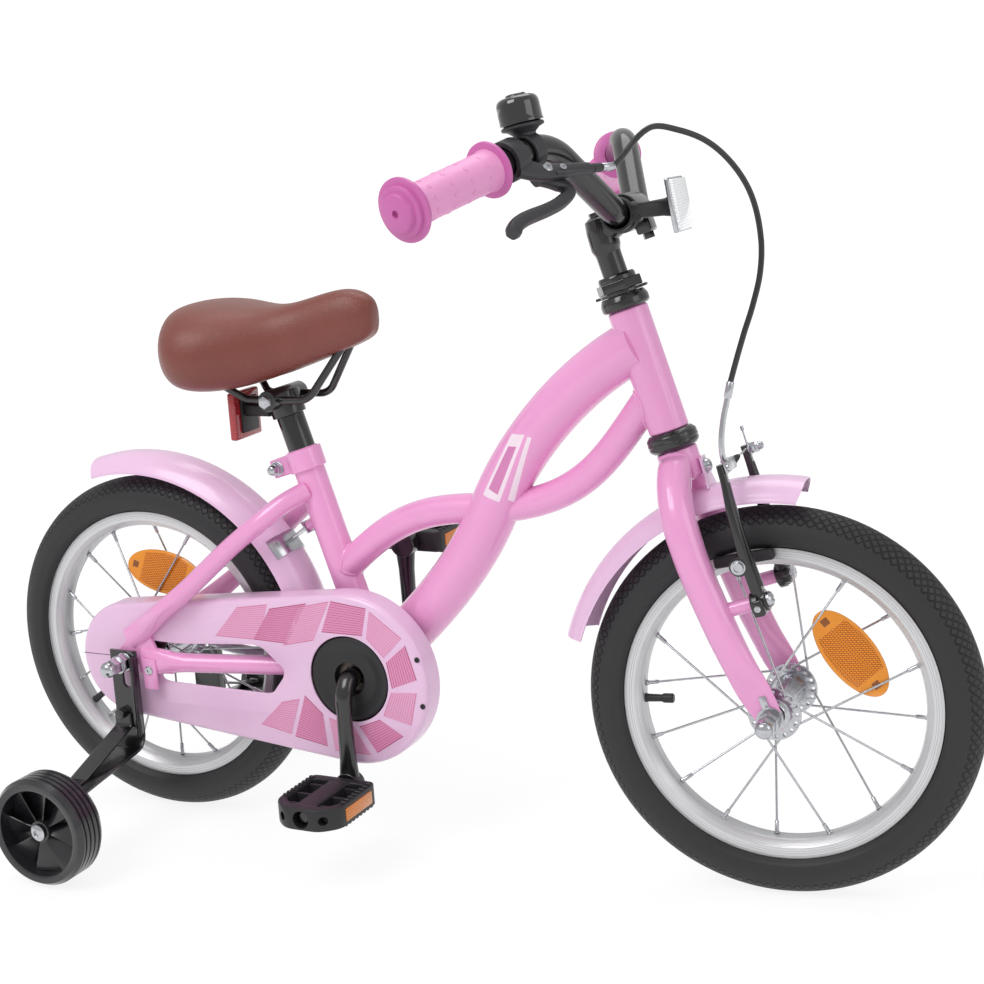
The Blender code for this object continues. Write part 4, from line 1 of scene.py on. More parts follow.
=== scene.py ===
"""Looks of a child's bicycle with stabilisers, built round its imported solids.

Units are metres. +X points forward, +Y to the rider's left and +Z up. The fork
and all that turns with it are made pointing straight ahead and then turned.
"""
import json
import logging
import math
from dataclasses import dataclass, field
from enum import Enum
from typing import Iterable, Sequence

import bmesh
import bpy
from bmesh.types import BMesh
from mathutils import Matrix, Vector
from mathutils.bvhtree import BVHTree
from mathutils.geometry import interpolate_bezier

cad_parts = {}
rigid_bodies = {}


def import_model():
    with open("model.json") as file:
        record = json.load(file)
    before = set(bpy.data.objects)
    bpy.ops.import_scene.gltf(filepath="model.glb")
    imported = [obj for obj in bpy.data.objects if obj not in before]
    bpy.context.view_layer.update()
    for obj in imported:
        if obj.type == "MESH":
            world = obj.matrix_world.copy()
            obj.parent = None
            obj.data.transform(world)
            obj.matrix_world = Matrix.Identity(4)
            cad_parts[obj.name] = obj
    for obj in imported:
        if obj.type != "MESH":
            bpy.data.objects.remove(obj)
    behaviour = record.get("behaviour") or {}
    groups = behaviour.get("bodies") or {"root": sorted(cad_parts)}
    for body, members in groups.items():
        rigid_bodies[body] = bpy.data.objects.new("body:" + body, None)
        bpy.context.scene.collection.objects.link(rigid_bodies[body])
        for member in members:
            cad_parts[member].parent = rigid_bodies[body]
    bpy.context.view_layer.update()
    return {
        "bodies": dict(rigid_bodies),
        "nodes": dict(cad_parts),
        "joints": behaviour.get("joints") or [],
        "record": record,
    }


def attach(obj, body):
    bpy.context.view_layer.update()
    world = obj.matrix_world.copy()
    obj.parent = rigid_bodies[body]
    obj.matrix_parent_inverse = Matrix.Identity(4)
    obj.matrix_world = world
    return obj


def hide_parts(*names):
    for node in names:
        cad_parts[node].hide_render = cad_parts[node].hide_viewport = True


LOG = logging.getLogger("kids_bike")
LEFT = Vector((0.0, 1.0, 0.0))
AHEAD = Vector((1.0, 0.0, 0.0))
UP = Vector((0.0, 0.0, 1.0))
ORIGIN = Vector((0.0, 0.0, 0.0))
GAP = 0.0003
Pair = tuple[float, float]
Station = tuple[Vector, Vector, Vector]


class Side(Enum):
    """Side of the bicycle, as the rider sees it."""

    RIGHT = -1.0
    LEFT = 1.0

    @property
    def word(self) -> str:
        """Name of the side in piece names."""
        return self.name.lower()


def linear(code: str) -> tuple[float, float, float, float]:
    """Turn an sRGB hex colour into linear values.

    Args:
        code: Colour such as "#F2A6D6".

    Returns:
        Linear red, green, blue and an alpha of 1.
    """
    parts = [int(code[i:i + 2], 16) / 255.0 for i in (1, 3, 5)]
    values = [c / 12.92 if c <= 0.04045 else ((c + 0.055) / 1.055) ** 2.4 for c in parts]
    return (*values, 1.0)


def aim(origin: Vector, axis: Vector, side: Vector | None = None) -> Matrix:
    """Matrix with its Z along an axis and its X toward a side.

    Args:
        origin: Where the matrix puts its zero.
        axis: Direction of Z.
        side: Direction that X leans to.

    Returns:
        The placing matrix.
    """
    z = axis.normalized()
    if side is None:
        side = LEFT if abs(z.y) < 0.9 else AHEAD
    x = (side - z * side.dot(z)).normalized()
    y = z.cross(x)
    return axes_at(origin, x, y, z)


def axes_at(origin: Vector, x: Vector, y: Vector, z: Vector) -> Matrix:
    """Matrix that has three axes as its columns and puts its zero at a point."""
    return Matrix.Translation(origin) @ Matrix((x, y, z)).transposed().to_4x4()


def linked(name: str, data: bpy.types.ID) -> bpy.types.Object:
    """Object made from data and linked to the scene."""
    item = bpy.data.objects.new(name, data)
    bpy.context.scene.collection.objects.link(item)
    return item


def evaluated(item: bpy.types.Object) -> bpy.types.Mesh:
    """New mesh of an object with its modifiers applied."""
    bpy.context.view_layer.update()
    return bpy.data.meshes.new_from_object(item.evaluated_get(bpy.context.evaluated_depsgraph_get()))


def smooth_line(points: Sequence[Vector], steps: int = 8) -> list[Vector]:
    """Curve through points, with tangents taken from their neighbours."""
    points = [Vector(p) for p in points]
    line = []
    for i in range(len(points) - 1):
        before, after = points[max(i - 1, 0)], points[min(i + 2, len(points) - 1)]
        a, b = points[i], points[i + 1]
        reach = (b - a).length / 3
        line += list(interpolate_bezier(a, a + (b - before).normalized() * reach,
            b - (after - a).normalized() * reach, b, steps + 1))[:-1]
    return line + [points[-1]]


def rounded_line(corners: Sequence[Vector], radii: Sequence[float], steps: int = 12) -> list[Vector]:
    """Straight runs joined by tangent arcs at the corners."""
    corners = [Vector(p) for p in corners]
    line = [corners[0]]
    for i, radius in enumerate(radii, 1):
        before = (corners[i - 1] - corners[i]).normalized()
        after = (corners[i + 1] - corners[i]).normalized()
        half = before.angle(after) / 2
        reach = radius / math.tan(half)
        centre = corners[i] + (before + after).normalized() * radius / math.sin(half)
        start = corners[i] + before * reach - centre
        end = corners[i] + after * reach - centre
        for k in range(steps + 1):
            line.append(centre + start.slerp(end, k / steps).normalized() * radius)
    return line + [corners[-1]]


def soften(points: Sequence[Pair], radius: float, closed: bool = True, steps: int = 4) -> list[Pair]:
    """Round the corners of a flat outline.

    Args:
        points: Corners of the outline.
        radius: How far from a corner the rounding starts, at most.
        closed: Whether the last point joins the first.
        steps: Pieces in each rounding.

    Returns:
        The outline with rounded corners.
    """
    line: list[Pair] = []
    count = len(points)
    for i, point in enumerate(points):
        if not closed and i in (0, count - 1):
            line.append(tuple(point))
            continue
        here = Vector(point)
        before, after = Vector(points[i - 1]), Vector(points[(i + 1) % count])
        reach = min(radius, (before - here).length * 0.45, (after - here).length * 0.45)
        a = here + (before - here).normalized() * reach
        b = here + (after - here).normalized() * reach
        for k in range(steps + 1):
            t = k / steps
            line.append(tuple(a * (1 - t) ** 2 + here * 2 * t * (1 - t) + b * t * t))
    return line


def circle(radius: float, count: int = 48, centre: Pair = (0.0, 0.0), start: float = 0.0,
        end: float = math.tau, closed: bool = True) -> list[Pair]:
    """Points on a circle or, when it isn't closed, on an arc with both ends."""
    last = count if closed else count - 1
    return [(centre[0] + radius * math.cos(start + (end - start) * i / last),
        centre[1] + radius * math.sin(start + (end - start) * i / last)) for i in range(count)]


def turned(profile: Sequence[Pair], place: Matrix, steps: int = 64, closed: bool = False) -> BMesh:
    """Spin a profile of (radius, height) points about the place's Z.

    Args:
        profile: Points of the half section.
        place: Matrix that puts the shape in the bicycle.
        steps: Pieces in the full turn.
        closed: Whether the section is a loop, as a ring's is.

    Returns:
        The solid as a bmesh.
    """
    bm = bmesh.new()
    verts = [bm.verts.new((r, 0.0, h)) for r, h in profile]
    edges = [bm.edges.new(pair) for pair in zip(verts, verts[1:])]
    if closed:
        edges.append(bm.edges.new((verts[-1], verts[0])))
    bmesh.ops.spin(bm, geom=verts + edges, cent=(0.0, 0.0, 0.0), axis=(0.0, 0.0, 1.0), dvec=(0.0, 0.0, 0.0),
        angle=math.tau, steps=steps, use_merge=True)
    bmesh.ops.remove_doubles(bm, verts=bm.verts, dist=0.000002)
    bmesh.ops.recalc_face_normals(bm, faces=bm.faces)
    bmesh.ops.transform(bm, matrix=place, verts=bm.verts)
    return bm


def plain_ring(outer: float, inner: float, span: Pair, edge: float, place: Matrix, steps: int = 48) -> BMesh:
    """Plain ring with rounded edges.

    Args:
        outer: Outer radius.
        inner: Radius of the bore.
        span: Where the ring starts and ends along the place's Z.
        edge: How far from a corner its rounding starts.
        place: Matrix that puts it in the bicycle.
        steps: Pieces in the full turn.

    Returns:
        The ring as a bmesh.
    """
    low, high = span
    section = [(outer, low), (outer, high), (inner, high), (inner, low)]
    return turned(soften(section, edge), place, steps, True)


def skinned(stations: Sequence[Station], sides: int = 24, power: float = 2.0) -> BMesh:
    """Extrude a ring through sections, each a centre and two half widths.

    Args:
        stations: Sections from one end to the other.
        sides: Points round the ring.
        power: 2 gives ellipses, and more gives rounded rectangles.

    Returns:
        The closed solid as a bmesh.
    """
    bm = bmesh.new()
    ring = bmesh.ops.create_circle(bm, cap_ends=False, segments=sides, radius=1.0)["verts"]
    for vert in ring:
        vert.co.x = math.copysign(abs(vert.co.x) ** (2.0 / power), vert.co.x)
        vert.co.y = math.copysign(abs(vert.co.y) ** (2.0 / power), vert.co.y)
    places = []
    for centre, u, v in stations:
        places.append(axes_at(centre, u, v, u.cross(v).normalized()))
    bmesh.ops.transform(bm, matrix=places[0], verts=ring)
    edges = bm.edges[:]
    bmesh.ops.contextual_create(bm, geom=edges)
    for before, after in zip(places, places[1:]):
        grown = bmesh.ops.extrude_edge_only(bm, edges=edges)["geom"]
        ring = [g for g in grown if isinstance(g, bmesh.types.BMVert)]
        new = set(ring)
        edges = [g for g in grown if isinstance(g, bmesh.types.BMEdge) and set(g.verts) <= new]
        bmesh.ops.transform(bm, matrix=after @ before.inverted(), verts=ring)
    bmesh.ops.contextual_create(bm, geom=edges)
    bmesh.ops.recalc_face_normals(bm, faces=bm.faces)
    return bm


def resampled(stations: Sequence[Station], steps: int = 6) -> list[Station]:
    """Sections with smooth ones put in between."""
    lines = [smooth_line([s[k] for s in stations], steps) for k in range(3)]
    return list(zip(*lines))


def headings(points: Sequence[Vector]) -> list[Vector]:
    """Direction of a line at each point, from the one before to the one after."""
    last = len(points) - 1
    return [(points[min(i + 1, last)] - points[max(i - 1, 0)]).normalized() for i in range(last + 1)]


def pressed(line: Sequence[Vector], halves: Sequence[Pair]) -> list[Station]:
    """Sections square to a line, with their half thickness toward the left.

    Args:
        line: Middle of each section.
        halves: Half thickness and half height of each section.

    Returns:
        The sections.
    """
    stations = []
    for point, run, (thick, tall) in zip(line, headings(line), halves):
        across = (LEFT - run * run.y).normalized()
        stations.append((point, across * thick, run.cross(across) * tall))
    return stations


def strap_sections(line: Sequence[Vector], half_width: float, half_thickness: float) -> list[Station]:
    """Sections of a flat strap whose width runs ahead."""
    return [(point, AHEAD * half_width, run.cross(AHEAD) * half_thickness)
        for point, run in zip(line, headings(line))]


def bar(points: Sequence[Vector], radius: float, sides: int = 24) -> BMesh:
    """Round bar along a line, with flat ends.

    Args:
        points: The line through its middle.
        radius: Radius of the bar.
        sides: Points round it.

    Returns:
        The closed bar as a bmesh.
    """
    stations = []
    across: Vector | None = None
    for point, run in zip(points, headings(points)):
        if across is None:
            across = run.orthogonal().normalized()
        across = (across - run * across.dot(run)).normalized()
        stations.append((point, across * radius, run.cross(across) * radius))
    return skinned(stations, sides)


def rod(start: Vector, end: Vector, radius: float, sides: int = 32, bevel: float = 0.0) -> BMesh:
    """Cylinder between two points, with softened rims."""
    bm = bmesh.new()
    axis = end - start
    bmesh.ops.create_cone(bm, cap_ends=True, segments=sides, radius1=radius, radius2=radius,
        depth=axis.length, matrix=aim((start + end) / 2, axis))
    if bevel:
        rims = [e for e in bm.edges if any(len(f.verts) > 4 for f in e.link_faces)]
        bmesh.ops.bevel(bm, geom=rims, offset=bevel, segments=2, profile=0.5, affect="EDGES", material=-1)
    return bm


def block(centre: Vector, size: Sequence[float], place: Matrix | None = None, bevel: float = 0.0005,
        segments: int = 2) -> BMesh:
    """Box with rounded edges, placed by a matrix."""
    bm = bmesh.new()
    bmesh.ops.create_cube(bm, size=1.0)
    bmesh.ops.scale(bm, vec=Vector(size), verts=bm.verts)
    bmesh.ops.bevel(bm, geom=bm.edges[:], offset=bevel, segments=segments, profile=0.5, affect="EDGES",
        material=-1)
    full = Matrix.Translation(centre) if place is None else place @ Matrix.Translation(centre)
    bmesh.ops.transform(bm, matrix=full, verts=bm.verts)
    return bm


def ball(centre: Vector, radius: float, sides: int = 24) -> BMesh:
    """Ball round a point."""
    bm = bmesh.new()
    bmesh.ops.create_uvsphere(bm, u_segments=sides, v_segments=sides // 2, radius=radius)
    bmesh.ops.translate(bm, vec=centre, verts=bm.verts)
    return bm


def sheet_metal(outline: Sequence[Pair], thickness: float, place: Matrix,
        holes: Iterable[Sequence[Pair]] = (), edge: float = 0.0, segments: int = 2) -> BMesh:
    """Flat outline of given thickness with rounded edges and holes.

    Args:
        outline: Outer loop in the place's XY plane.
        thickness: Whole thickness, half on each side of the plane.
        place: Matrix that puts it in the bicycle.
        holes: Inner loops.
        edge: Radius of the rounded edge.
        segments: Steps in that rounding.

    Returns:
        The closed solid as a bmesh.
    """
    curve = bpy.data.curves.new("outline", "CURVE")
    curve.dimensions = "2D"
    curve.fill_mode = "BOTH"
    curve.extrude = thickness / 2 - edge
    curve.bevel_depth = edge
    curve.bevel_resolution = segments
    curve.offset = -edge
    for loop in (outline, *holes):
        spline = curve.splines.new("POLY")
        spline.points.add(len(loop) - 1)
        for point, (x, y) in zip(spline.points, loop):
            point.co = (x, y, 0.0, 1.0)
        spline.use_cyclic_u = True
    item = bpy.data.objects.new("outline", curve)
    mesh = bpy.data.meshes.new_from_object(item)
    bm = bmesh.new()
    bm.from_mesh(mesh)
    bmesh.ops.remove_doubles(bm, verts=bm.verts, dist=0.000005)
    bmesh.ops.recalc_face_normals(bm, faces=bm.faces)
    bmesh.ops.transform(bm, matrix=place, verts=bm.verts)
    bpy.data.objects.remove(item)
    bpy.data.curves.remove(curve)
    bpy.data.meshes.remove(mesh)
    return bm


def hooped(loops: Sequence[Sequence[Vector]]) -> BMesh:
    """Closed band through loops of equal length, with the last joined to the first."""
    bm = bmesh.new()
    rows = [[bm.verts.new(point) for point in loop] for loop in loops]
    for low, high in zip(rows, rows[1:] + rows[:1]):
        for k in range(len(low)):
            bm.faces.new((low[k - 1], low[k], high[k], high[k - 1]))
    bmesh.ops.recalc_face_normals(bm, faces=bm.faces)
    return bm


def mirrored(bm: BMesh) -> BMesh:
    """Copy of a bmesh on the other side of the centre plane."""
    other = bm.copy()
    bmesh.ops.transform(other, matrix=Matrix.Scale(-1.0, 4, LEFT), verts=other.verts)
    bmesh.ops.reverse_faces(other, faces=other.faces)
    return other


def carved(bm: BMesh, cutters: Sequence[BMesh]) -> BMesh:
    """Take cutters out of a closed solid with boolean modifiers.

    Args:
        bm: The solid to cut, which is used up.
        cutters: Closed solids to take away, which are used up.

    Returns:
        The cut solid.
    """
    objects = []
    for part in (bm, *cutters):
        mesh = bpy.data.meshes.new("step")
        part.to_mesh(mesh)
        part.free()
        item = linked("step", mesh)
        objects.append(item)
    for cutter in objects[1:]:
        step = objects[0].modifiers.new("Cut", "BOOLEAN")
        step.operation = "DIFFERENCE"
        step.solver = "EXACT"
        step.object = cutter
    mesh = evaluated(objects[0])
    result = bmesh.new()
    result.from_mesh(mesh)
    for item in objects:
        old = item.data
        bpy.data.objects.remove(item)
        bpy.data.meshes.remove(old)
    bpy.data.meshes.remove(mesh)
    return result


def weld_bead(origin: Vector, direction: Vector, radius: float, onto: BMesh, width: float = 0.0022,
        sides: int = 56) -> BMesh | None:
    """Rippled bead where a round tube meets another surface.

    Args:
        origin: A point on the tube's line, outside the other surface.
        direction: Way along the tube toward the other surface.
        radius: Radius of the tube.
        onto: The surface that the tube meets.
        width: Radius of the bead.
        sides: Points round the seam.

    Returns:
        The closed bead, or None where the tube misses the surface.
    """
    tree = BVHTree.FromBMesh(onto)
    way = direction.normalized()
    across = way.orthogonal().normalized()
    other = way.cross(across)
    seam = []
    for k in range(sides):
        a = math.tau * k / sides
        start = origin + (across * math.cos(a) + other * math.sin(a)) * radius
        hit = tree.ray_cast(start, way, 0.08)[0]
        if hit is None:
            return None
        seam.append(hit)
    bm = bmesh.new()
    rings = []
    for k, point in enumerate(seam):
        run = (seam[(k + 1) % sides] - seam[k - 1]).normalized()
        out = (point - origin - way * (point - origin).dot(way)).normalized()
        v = run.cross(out).normalized()
        ripple = width * (1.0 + 0.1 * math.cos(k * math.tau / 4))
        place = axes_at(point - out * width * 0.35, out, v, run)
        rings.append(bmesh.ops.create_circle(bm, segments=10, radius=ripple, matrix=place)["verts"])
    for k in range(sides):
        pair = (set(rings[k]), set(rings[(k + 1) % sides]))
        bmesh.ops.bridge_loops(bm, edges=[e for e in bm.edges if any(set(e.verts) <= ring for ring in pair)])
    bmesh.ops.recalc_face_normals(bm, faces=bm.faces)
    return bm


def add_node(tree: bpy.types.NodeTree, kind: str, sockets: dict | None = None,
        **settings: object) -> bpy.types.Node:
    """Add a shader node with its settings, values and links.

    Args:
        tree: Node tree that gets the node.
        kind: The shader node's type, without the prefix they all share.
        sockets: Input name or number to a value or to an output that feeds it.
        **settings: Properties of the node.

    Returns:
        The new node.
    """
    item = tree.nodes.new("ShaderNode" + kind)
    for key, value in settings.items():
        setattr(item, key, value)
    for key, value in (sockets or {}).items():
        if isinstance(value, bpy.types.NodeSocket):
            tree.links.new(value, item.inputs[key])
        else:
            item.inputs[key].default_value = value
    return item


@dataclass(frozen=True)
class Finish:
    """Material of one kind, with a colour that drifts and a fine relief.

    Grain and relief are real sizes in metres.
    """

    name: str
    colour: str
    shade: str
    roughness: float
    metallic: float = 0.0
    ior: float = 1.5
    coat: float = 0.0
    coat_roughness: float = 0.05
    grain: float = 0.0
    relief: float = 0.0
    patch: float = 0.03
    rough_drift: float = 0.06

    def build(self) -> bpy.types.Material:
        """Make the material, or give the one made before."""
        found = bpy.data.materials.get(self.name)
        if found:
            return found
        material = bpy.data.materials.new(self.name)
        material.use_nodes = True
        tree = material.node_tree
        shader = tree.nodes["Principled BSDF"]
        shader.inputs["Metallic"].default_value = self.metallic
        if not self.metallic:
            shader.inputs["IOR"].default_value = self.ior
        shader.inputs["Coat Weight"].default_value = self.coat
        shader.inputs["Coat Roughness"].default_value = self.coat_roughness
        material.diffuse_color = linear(self.colour)
        self.dress(tree, shader)
        return material

    def dress(self, tree: bpy.types.NodeTree, shader: bpy.types.Node) -> None:
        """Colour, roughness and relief of the surface."""
        place = add_node(tree, "TexCoord").outputs["Object"]
        cloud = add_node(tree, "TexNoise", {"Vector": place, "Scale": 1.0 / self.patch, "Detail": 4.0})
        tone = add_node(tree, "Mix", {"Factor": cloud.outputs["Fac"], "A": linear(self.colour),
            "B": linear(self.shade)}, data_type="RGBA")
        tree.links.new(tone.outputs["Result"], shader.inputs["Base Color"])
        rough = add_node(tree, "MapRange", {"Value": cloud.outputs["Fac"],
            "To Min": self.roughness - self.rough_drift / 2, "To Max": self.roughness + self.rough_drift / 2})
        tree.links.new(rough.outputs["Result"], shader.inputs["Roughness"])
        if self.relief:
            fine = add_node(tree, "TexNoise", {"Vector": place, "Scale": 1.0 / self.grain, "Detail": 3.0})
            bump = add_node(tree, "Bump", {"Height": fine.outputs["Fac"], "Distance": self.relief,
                "Strength": 1.0})
            tree.links.new(bump.outputs["Normal"], shader.inputs["Normal"])


@dataclass(frozen=True)
class PrintedFinish(Finish):
    """Paint with plain panels printed on the side that looks to the right.

    Each panel is a colour and its corners, ahead and up, in the order that keeps its inside on the left.
    """

    panels: tuple[tuple[str, tuple[Pair, ...]], ...] = ()

    def dress(self, tree: bpy.types.NodeTree, shader: bpy.types.Node) -> None:
        """Panels over the plain finish."""
        super().dress(tree, shader)
        place = add_node(tree, "TexCoord").outputs["Object"]
        side = add_node(tree, "VectorMath", {0: place, 1: (0.0, -1.0, 0.0)}, operation="DOT_PRODUCT")
        colour = shader.inputs["Base Color"].links[0].from_socket
        for ink, corners in self.panels:
            mask = add_node(tree, "Math", {0: side.outputs["Value"], 1: 0.0}, operation="GREATER_THAN")
            for (ax, az), (bx, bz) in zip(corners, corners[1:] + corners[:1]):
                inward = Vector((az - bz, 0.0, bx - ax)).normalized()
                far = add_node(tree, "VectorMath", {0: place, 1: tuple(inward)}, operation="DOT_PRODUCT")
                inside = add_node(tree, "Math", {0: far.outputs["Value"], 1: inward.x * ax + inward.z * az},
                    operation="GREATER_THAN")
                mask = add_node(tree, "Math", {0: mask.outputs[0], 1: inside.outputs[0]},
                    operation="MULTIPLY")
            mix = add_node(tree, "Mix", {"Factor": mask.outputs[0], "A": colour, "B": linear(ink)},
                data_type="RGBA")
            colour = mix.outputs["Result"]
        tree.links.new(colour, shader.inputs["Base Color"])


@dataclass(frozen=True)
class LatheFinish(Finish):
    """Metal with fine turning lines round a wheel's axle."""

    centre: tuple[float, float, float] = (0.0, 0.0, 0.0)
    axis: tuple[float, float, float] = (0.0, 1.0, 0.0)
    pitch: float = 0.0008
    streak: str = "#9B9EA3"

    def dress(self, tree: bpy.types.NodeTree, shader: bpy.types.Node) -> None:
        """Rings round the axle over the plain finish."""
        super().dress(tree, shader)
        place = add_node(tree, "TexCoord").outputs["Object"]
        away = add_node(tree, "VectorMath", {0: place, 1: self.centre}, operation="SUBTRACT")
        along = add_node(tree, "VectorMath", {0: away.outputs[0], 1: self.axis}, operation="DOT_PRODUCT")
        part = add_node(tree, "VectorMath", {0: self.axis, "Scale": along.outputs["Value"]},
            operation="SCALE")
        flat = add_node(tree, "VectorMath", {0: away.outputs[0], 1: part.outputs[0]}, operation="SUBTRACT")
        radius = add_node(tree, "VectorMath", {0: flat.outputs[0]}, operation="LENGTH")
        rings = add_node(tree, "TexNoise", {"W": radius.outputs["Value"], "Scale": 1.0 / self.pitch,
            "Detail": 2.0}, noise_dimensions="1D")
        bump = add_node(tree, "Bump", {"Height": rings.outputs["Fac"], "Distance": 0.00012})
        tree.links.new(bump.outputs["Normal"], shader.inputs["Normal"])
        share = add_node(tree, "MapRange", {"Value": rings.outputs["Fac"], "From Min": 0.35, "From Max": 0.7,
            "To Max": 0.6})
        base = shader.inputs["Base Color"].links[0].from_socket
        worn = add_node(tree, "Mix", {"Factor": share.outputs["Result"], "A": base,
            "B": linear(self.streak)}, data_type="RGBA")
        tree.links.new(worn.outputs["Result"], shader.inputs["Base Color"])


@dataclass(frozen=True)
class TreadFinish(Finish):
    """Vulcanised rubber whose tread is cut in small diamonds.

    The piece's UV map runs round the tyre, and across from bead to bead.
    """

    diamonds: float = 122.0
    rows: float = 14.0
    tread: float = 0.215

    def dress(self, tree: bpy.types.NodeTree, shader: bpy.types.Node) -> None:
        """Diamond blocks on the tread and thin rings on the side walls, with painted shade darkening the low
        parts.
        """
        super().dress(tree, shader)
        uv = add_node(tree, "UVMap", uv_map="round").outputs["UV"]
        split = add_node(tree, "SeparateXYZ", {"Vector": uv})
        round_by = add_node(tree, "Math", {0: split.outputs["X"], 1: self.diamonds}, operation="MULTIPLY")
        over_by = add_node(tree, "Math", {0: split.outputs["Y"], 1: self.rows}, operation="MULTIPLY")
        waves = []
        for sign in ("ADD", "SUBTRACT"):
            slanted = add_node(tree, "Math", {0: round_by.outputs[0], 1: over_by.outputs[0]}, operation=sign)
            wave = add_node(tree, "Math", {0: slanted.outputs[0], 1: 1.0}, operation="PINGPONG")
            waves.append(add_node(tree, "Math", {0: wave.outputs[0], 1: 0.5}, operation="SUBTRACT"))
        hills = [add_node(tree, "Math", {0: w.outputs[0]}, operation="ABSOLUTE") for w in waves]
        grid = add_node(tree, "Math", {0: hills[0].outputs[0], 1: hills[1].outputs[0]}, operation="MAXIMUM")
        groove = add_node(tree, "MapRange", {"Value": grid.outputs[0], "From Min": 0.33, "From Max": 0.43,
            "To Min": 1.0, "To Max": 0.0})
        middle = add_node(tree, "Math", {0: split.outputs["Y"], 1: 0.5}, operation="SUBTRACT")
        far = add_node(tree, "Math", {0: middle.outputs[0]}, operation="ABSOLUTE")
        on_tread = add_node(tree, "MapRange", {"Value": far.outputs[0], "From Min": self.tread - 0.006,
            "From Max": self.tread, "To Min": 1.0, "To Max": 0.0})
        height = add_node(tree, "Mix", {"Factor": on_tread.outputs[0], "A": 0.85, "B": groove.outputs[0]},
            data_type="FLOAT")
        for spot, wide in ((self.tread + 0.012, 0.0035), (0.31, 0.0022), (0.35, 0.005)):
            ring = add_node(tree, "Math", {0: far.outputs[0], 1: spot, 2: wide}, operation="COMPARE")
            height = add_node(tree, "Math", {0: ring.outputs[0], 1: 0.35, 2: height.outputs[0]},
                operation="MULTIPLY_ADD")
        bump = add_node(tree, "Bump", {"Height": height.outputs[0], "Distance": 0.0024})
        tree.links.new(bump.outputs["Normal"], shader.inputs["Normal"])
        # Painted shade: the colour runs toward near black where the relief is low, darkest in the grooves
        for link in list(shader.inputs["Base Color"].links):
            base = link.from_socket
            groove_shade = add_node(tree, "Mix", {"Factor": height.outputs[0], "A": linear("#060607"), "B": base},
                data_type="RGBA")
            tree.links.new(groove_shade.outputs["Result"], shader.inputs["Base Color"])


@dataclass(frozen=True)
class LensFinish(Finish):
    """Acrylic with rows of small corner prisms moulded in its back.

    The rows are laid out in the plane of one level direction and the upright.
    """

    cell: float = 0.0027
    painted_glow: float = 0.25
    depth: float = 0.0004
    across: tuple[float, float, float] = (0.0, 1.0, 0.0)

    def dress(self, tree: bpy.types.NodeTree, shader: bpy.types.Node) -> None:
        """Prisms with dark seams, glowing a little in their own colour as painted light."""
        place = add_node(tree, "TexCoord").outputs["Object"]
        level = add_node(tree, "VectorMath", {0: place, 1: self.across}, operation="DOT_PRODUCT")
        rise = add_node(tree, "SeparateXYZ", {"Vector": place}).outputs["Z"]
        flat = add_node(tree, "CombineXYZ", {"X": level.outputs["Value"], "Y": rise})
        rows = add_node(tree, "TexBrick", {"Vector": flat.outputs["Vector"], "Color1": linear(self.colour),
            "Color2": linear(self.colour), "Mortar": linear(self.shade), "Scale": 1.0 / self.cell,
            "Mortar Size": 0.1, "Mortar Smooth": 0.5, "Brick Width": 1.0, "Row Height": 0.6})
        tree.links.new(rows.outputs["Color"], shader.inputs["Base Color"])
        # Painted light: the prism colour is also given off as a faint glow, though no lamp is inside
        tree.links.new(rows.outputs["Color"], shader.inputs["Emission Color"])
        shader.inputs["Emission Strength"].default_value = self.painted_glow
        shader.inputs["Roughness"].default_value = self.roughness
        bump = add_node(tree, "Bump", {"Height": rows.outputs["Fac"], "Distance": self.depth})
        bump.invert = True
        tree.links.new(bump.outputs["Normal"], shader.inputs["Normal"])


@dataclass(frozen=True)
class GrainFinish(Finish):
    """Moulded cover with a pebbled leather grain."""

    pebble: float = 0.0016

    def dress(self, tree: bpy.types.NodeTree, shader: bpy.types.Node) -> None:
        """Pebbles of the grain, raised between their creases."""
        super().dress(tree, shader)
        place = add_node(tree, "TexCoord").outputs["Object"]
        cells = add_node(tree, "TexVoronoi", {"Vector": place, "Scale": 1.0 / self.pebble},
            feature="DISTANCE_TO_EDGE")
        swell = add_node(tree, "MapRange", {"Value": cells.outputs["Distance"], "From Max": 0.25})
        bump = add_node(tree, "Bump", {"Height": swell.outputs["Result"], "Distance": 0.00012})
        tree.links.new(bump.outputs["Normal"], shader.inputs["Normal"])


# Powder paint under clear lacquer: even colour, tight highlight, faint peel
PINK_ENAMEL = Finish("pink_enamel", "#F3A4D8", "#F0A0D5", 0.3, coat=0.8, coat_roughness=0.06, grain=0.0022,
    relief=0.00003)
# The same paint with plain stripes screen-printed on the thick tube
PINK_PRINTED = PrintedFinish("printed_pink_enamel", "#F3A4D8", "#F0A0D5", 0.3, coat=0.8, coat_roughness=0.06,
    grain=0.0022, relief=0.00003, panels=(("#FBE6F3", ((0.3845, 0.3287), (0.4132, 0.3891), (0.3991, 0.3887),
    (0.3695, 0.335))), ("#D87FB8", ((0.384, 0.3357), (0.405, 0.3785), (0.3965, 0.3782), (0.3757, 0.3406))),
    ("#FBE6F3", ((0.3949, 0.3274), (0.4196, 0.3867), (0.4159, 0.3875), (0.3913, 0.3308)))))
# Injection-moulded polypropylene: paler than the paint, with a wider and softer highlight
PINK_SOFT = Finish("pink_moulded_polypropylene", "#EFC9E8", "#EBC2E3", 0.26, coat=0.35, coat_roughness=0.12,
    grain=0.004, relief=0.00004)
# Screen inks: flat and a little duller than the moulding they lie on
INK_BLUSH = Finish("blush_screen_ink", "#EBAACF", "#E7A2CA", 0.32, coat=0.3)
INK_PETAL = Finish("petal_screen_ink", "#E391BC", "#DF8AB6", 0.32, coat=0.3)
INK_ROSE = Finish("rose_screen_ink", "#D9799F", "#D57098", 0.34, coat=0.2)
INK_WINE = Finish("wine_screen_ink", "#B5426F", "#AD3966", 0.34, coat=0.2)
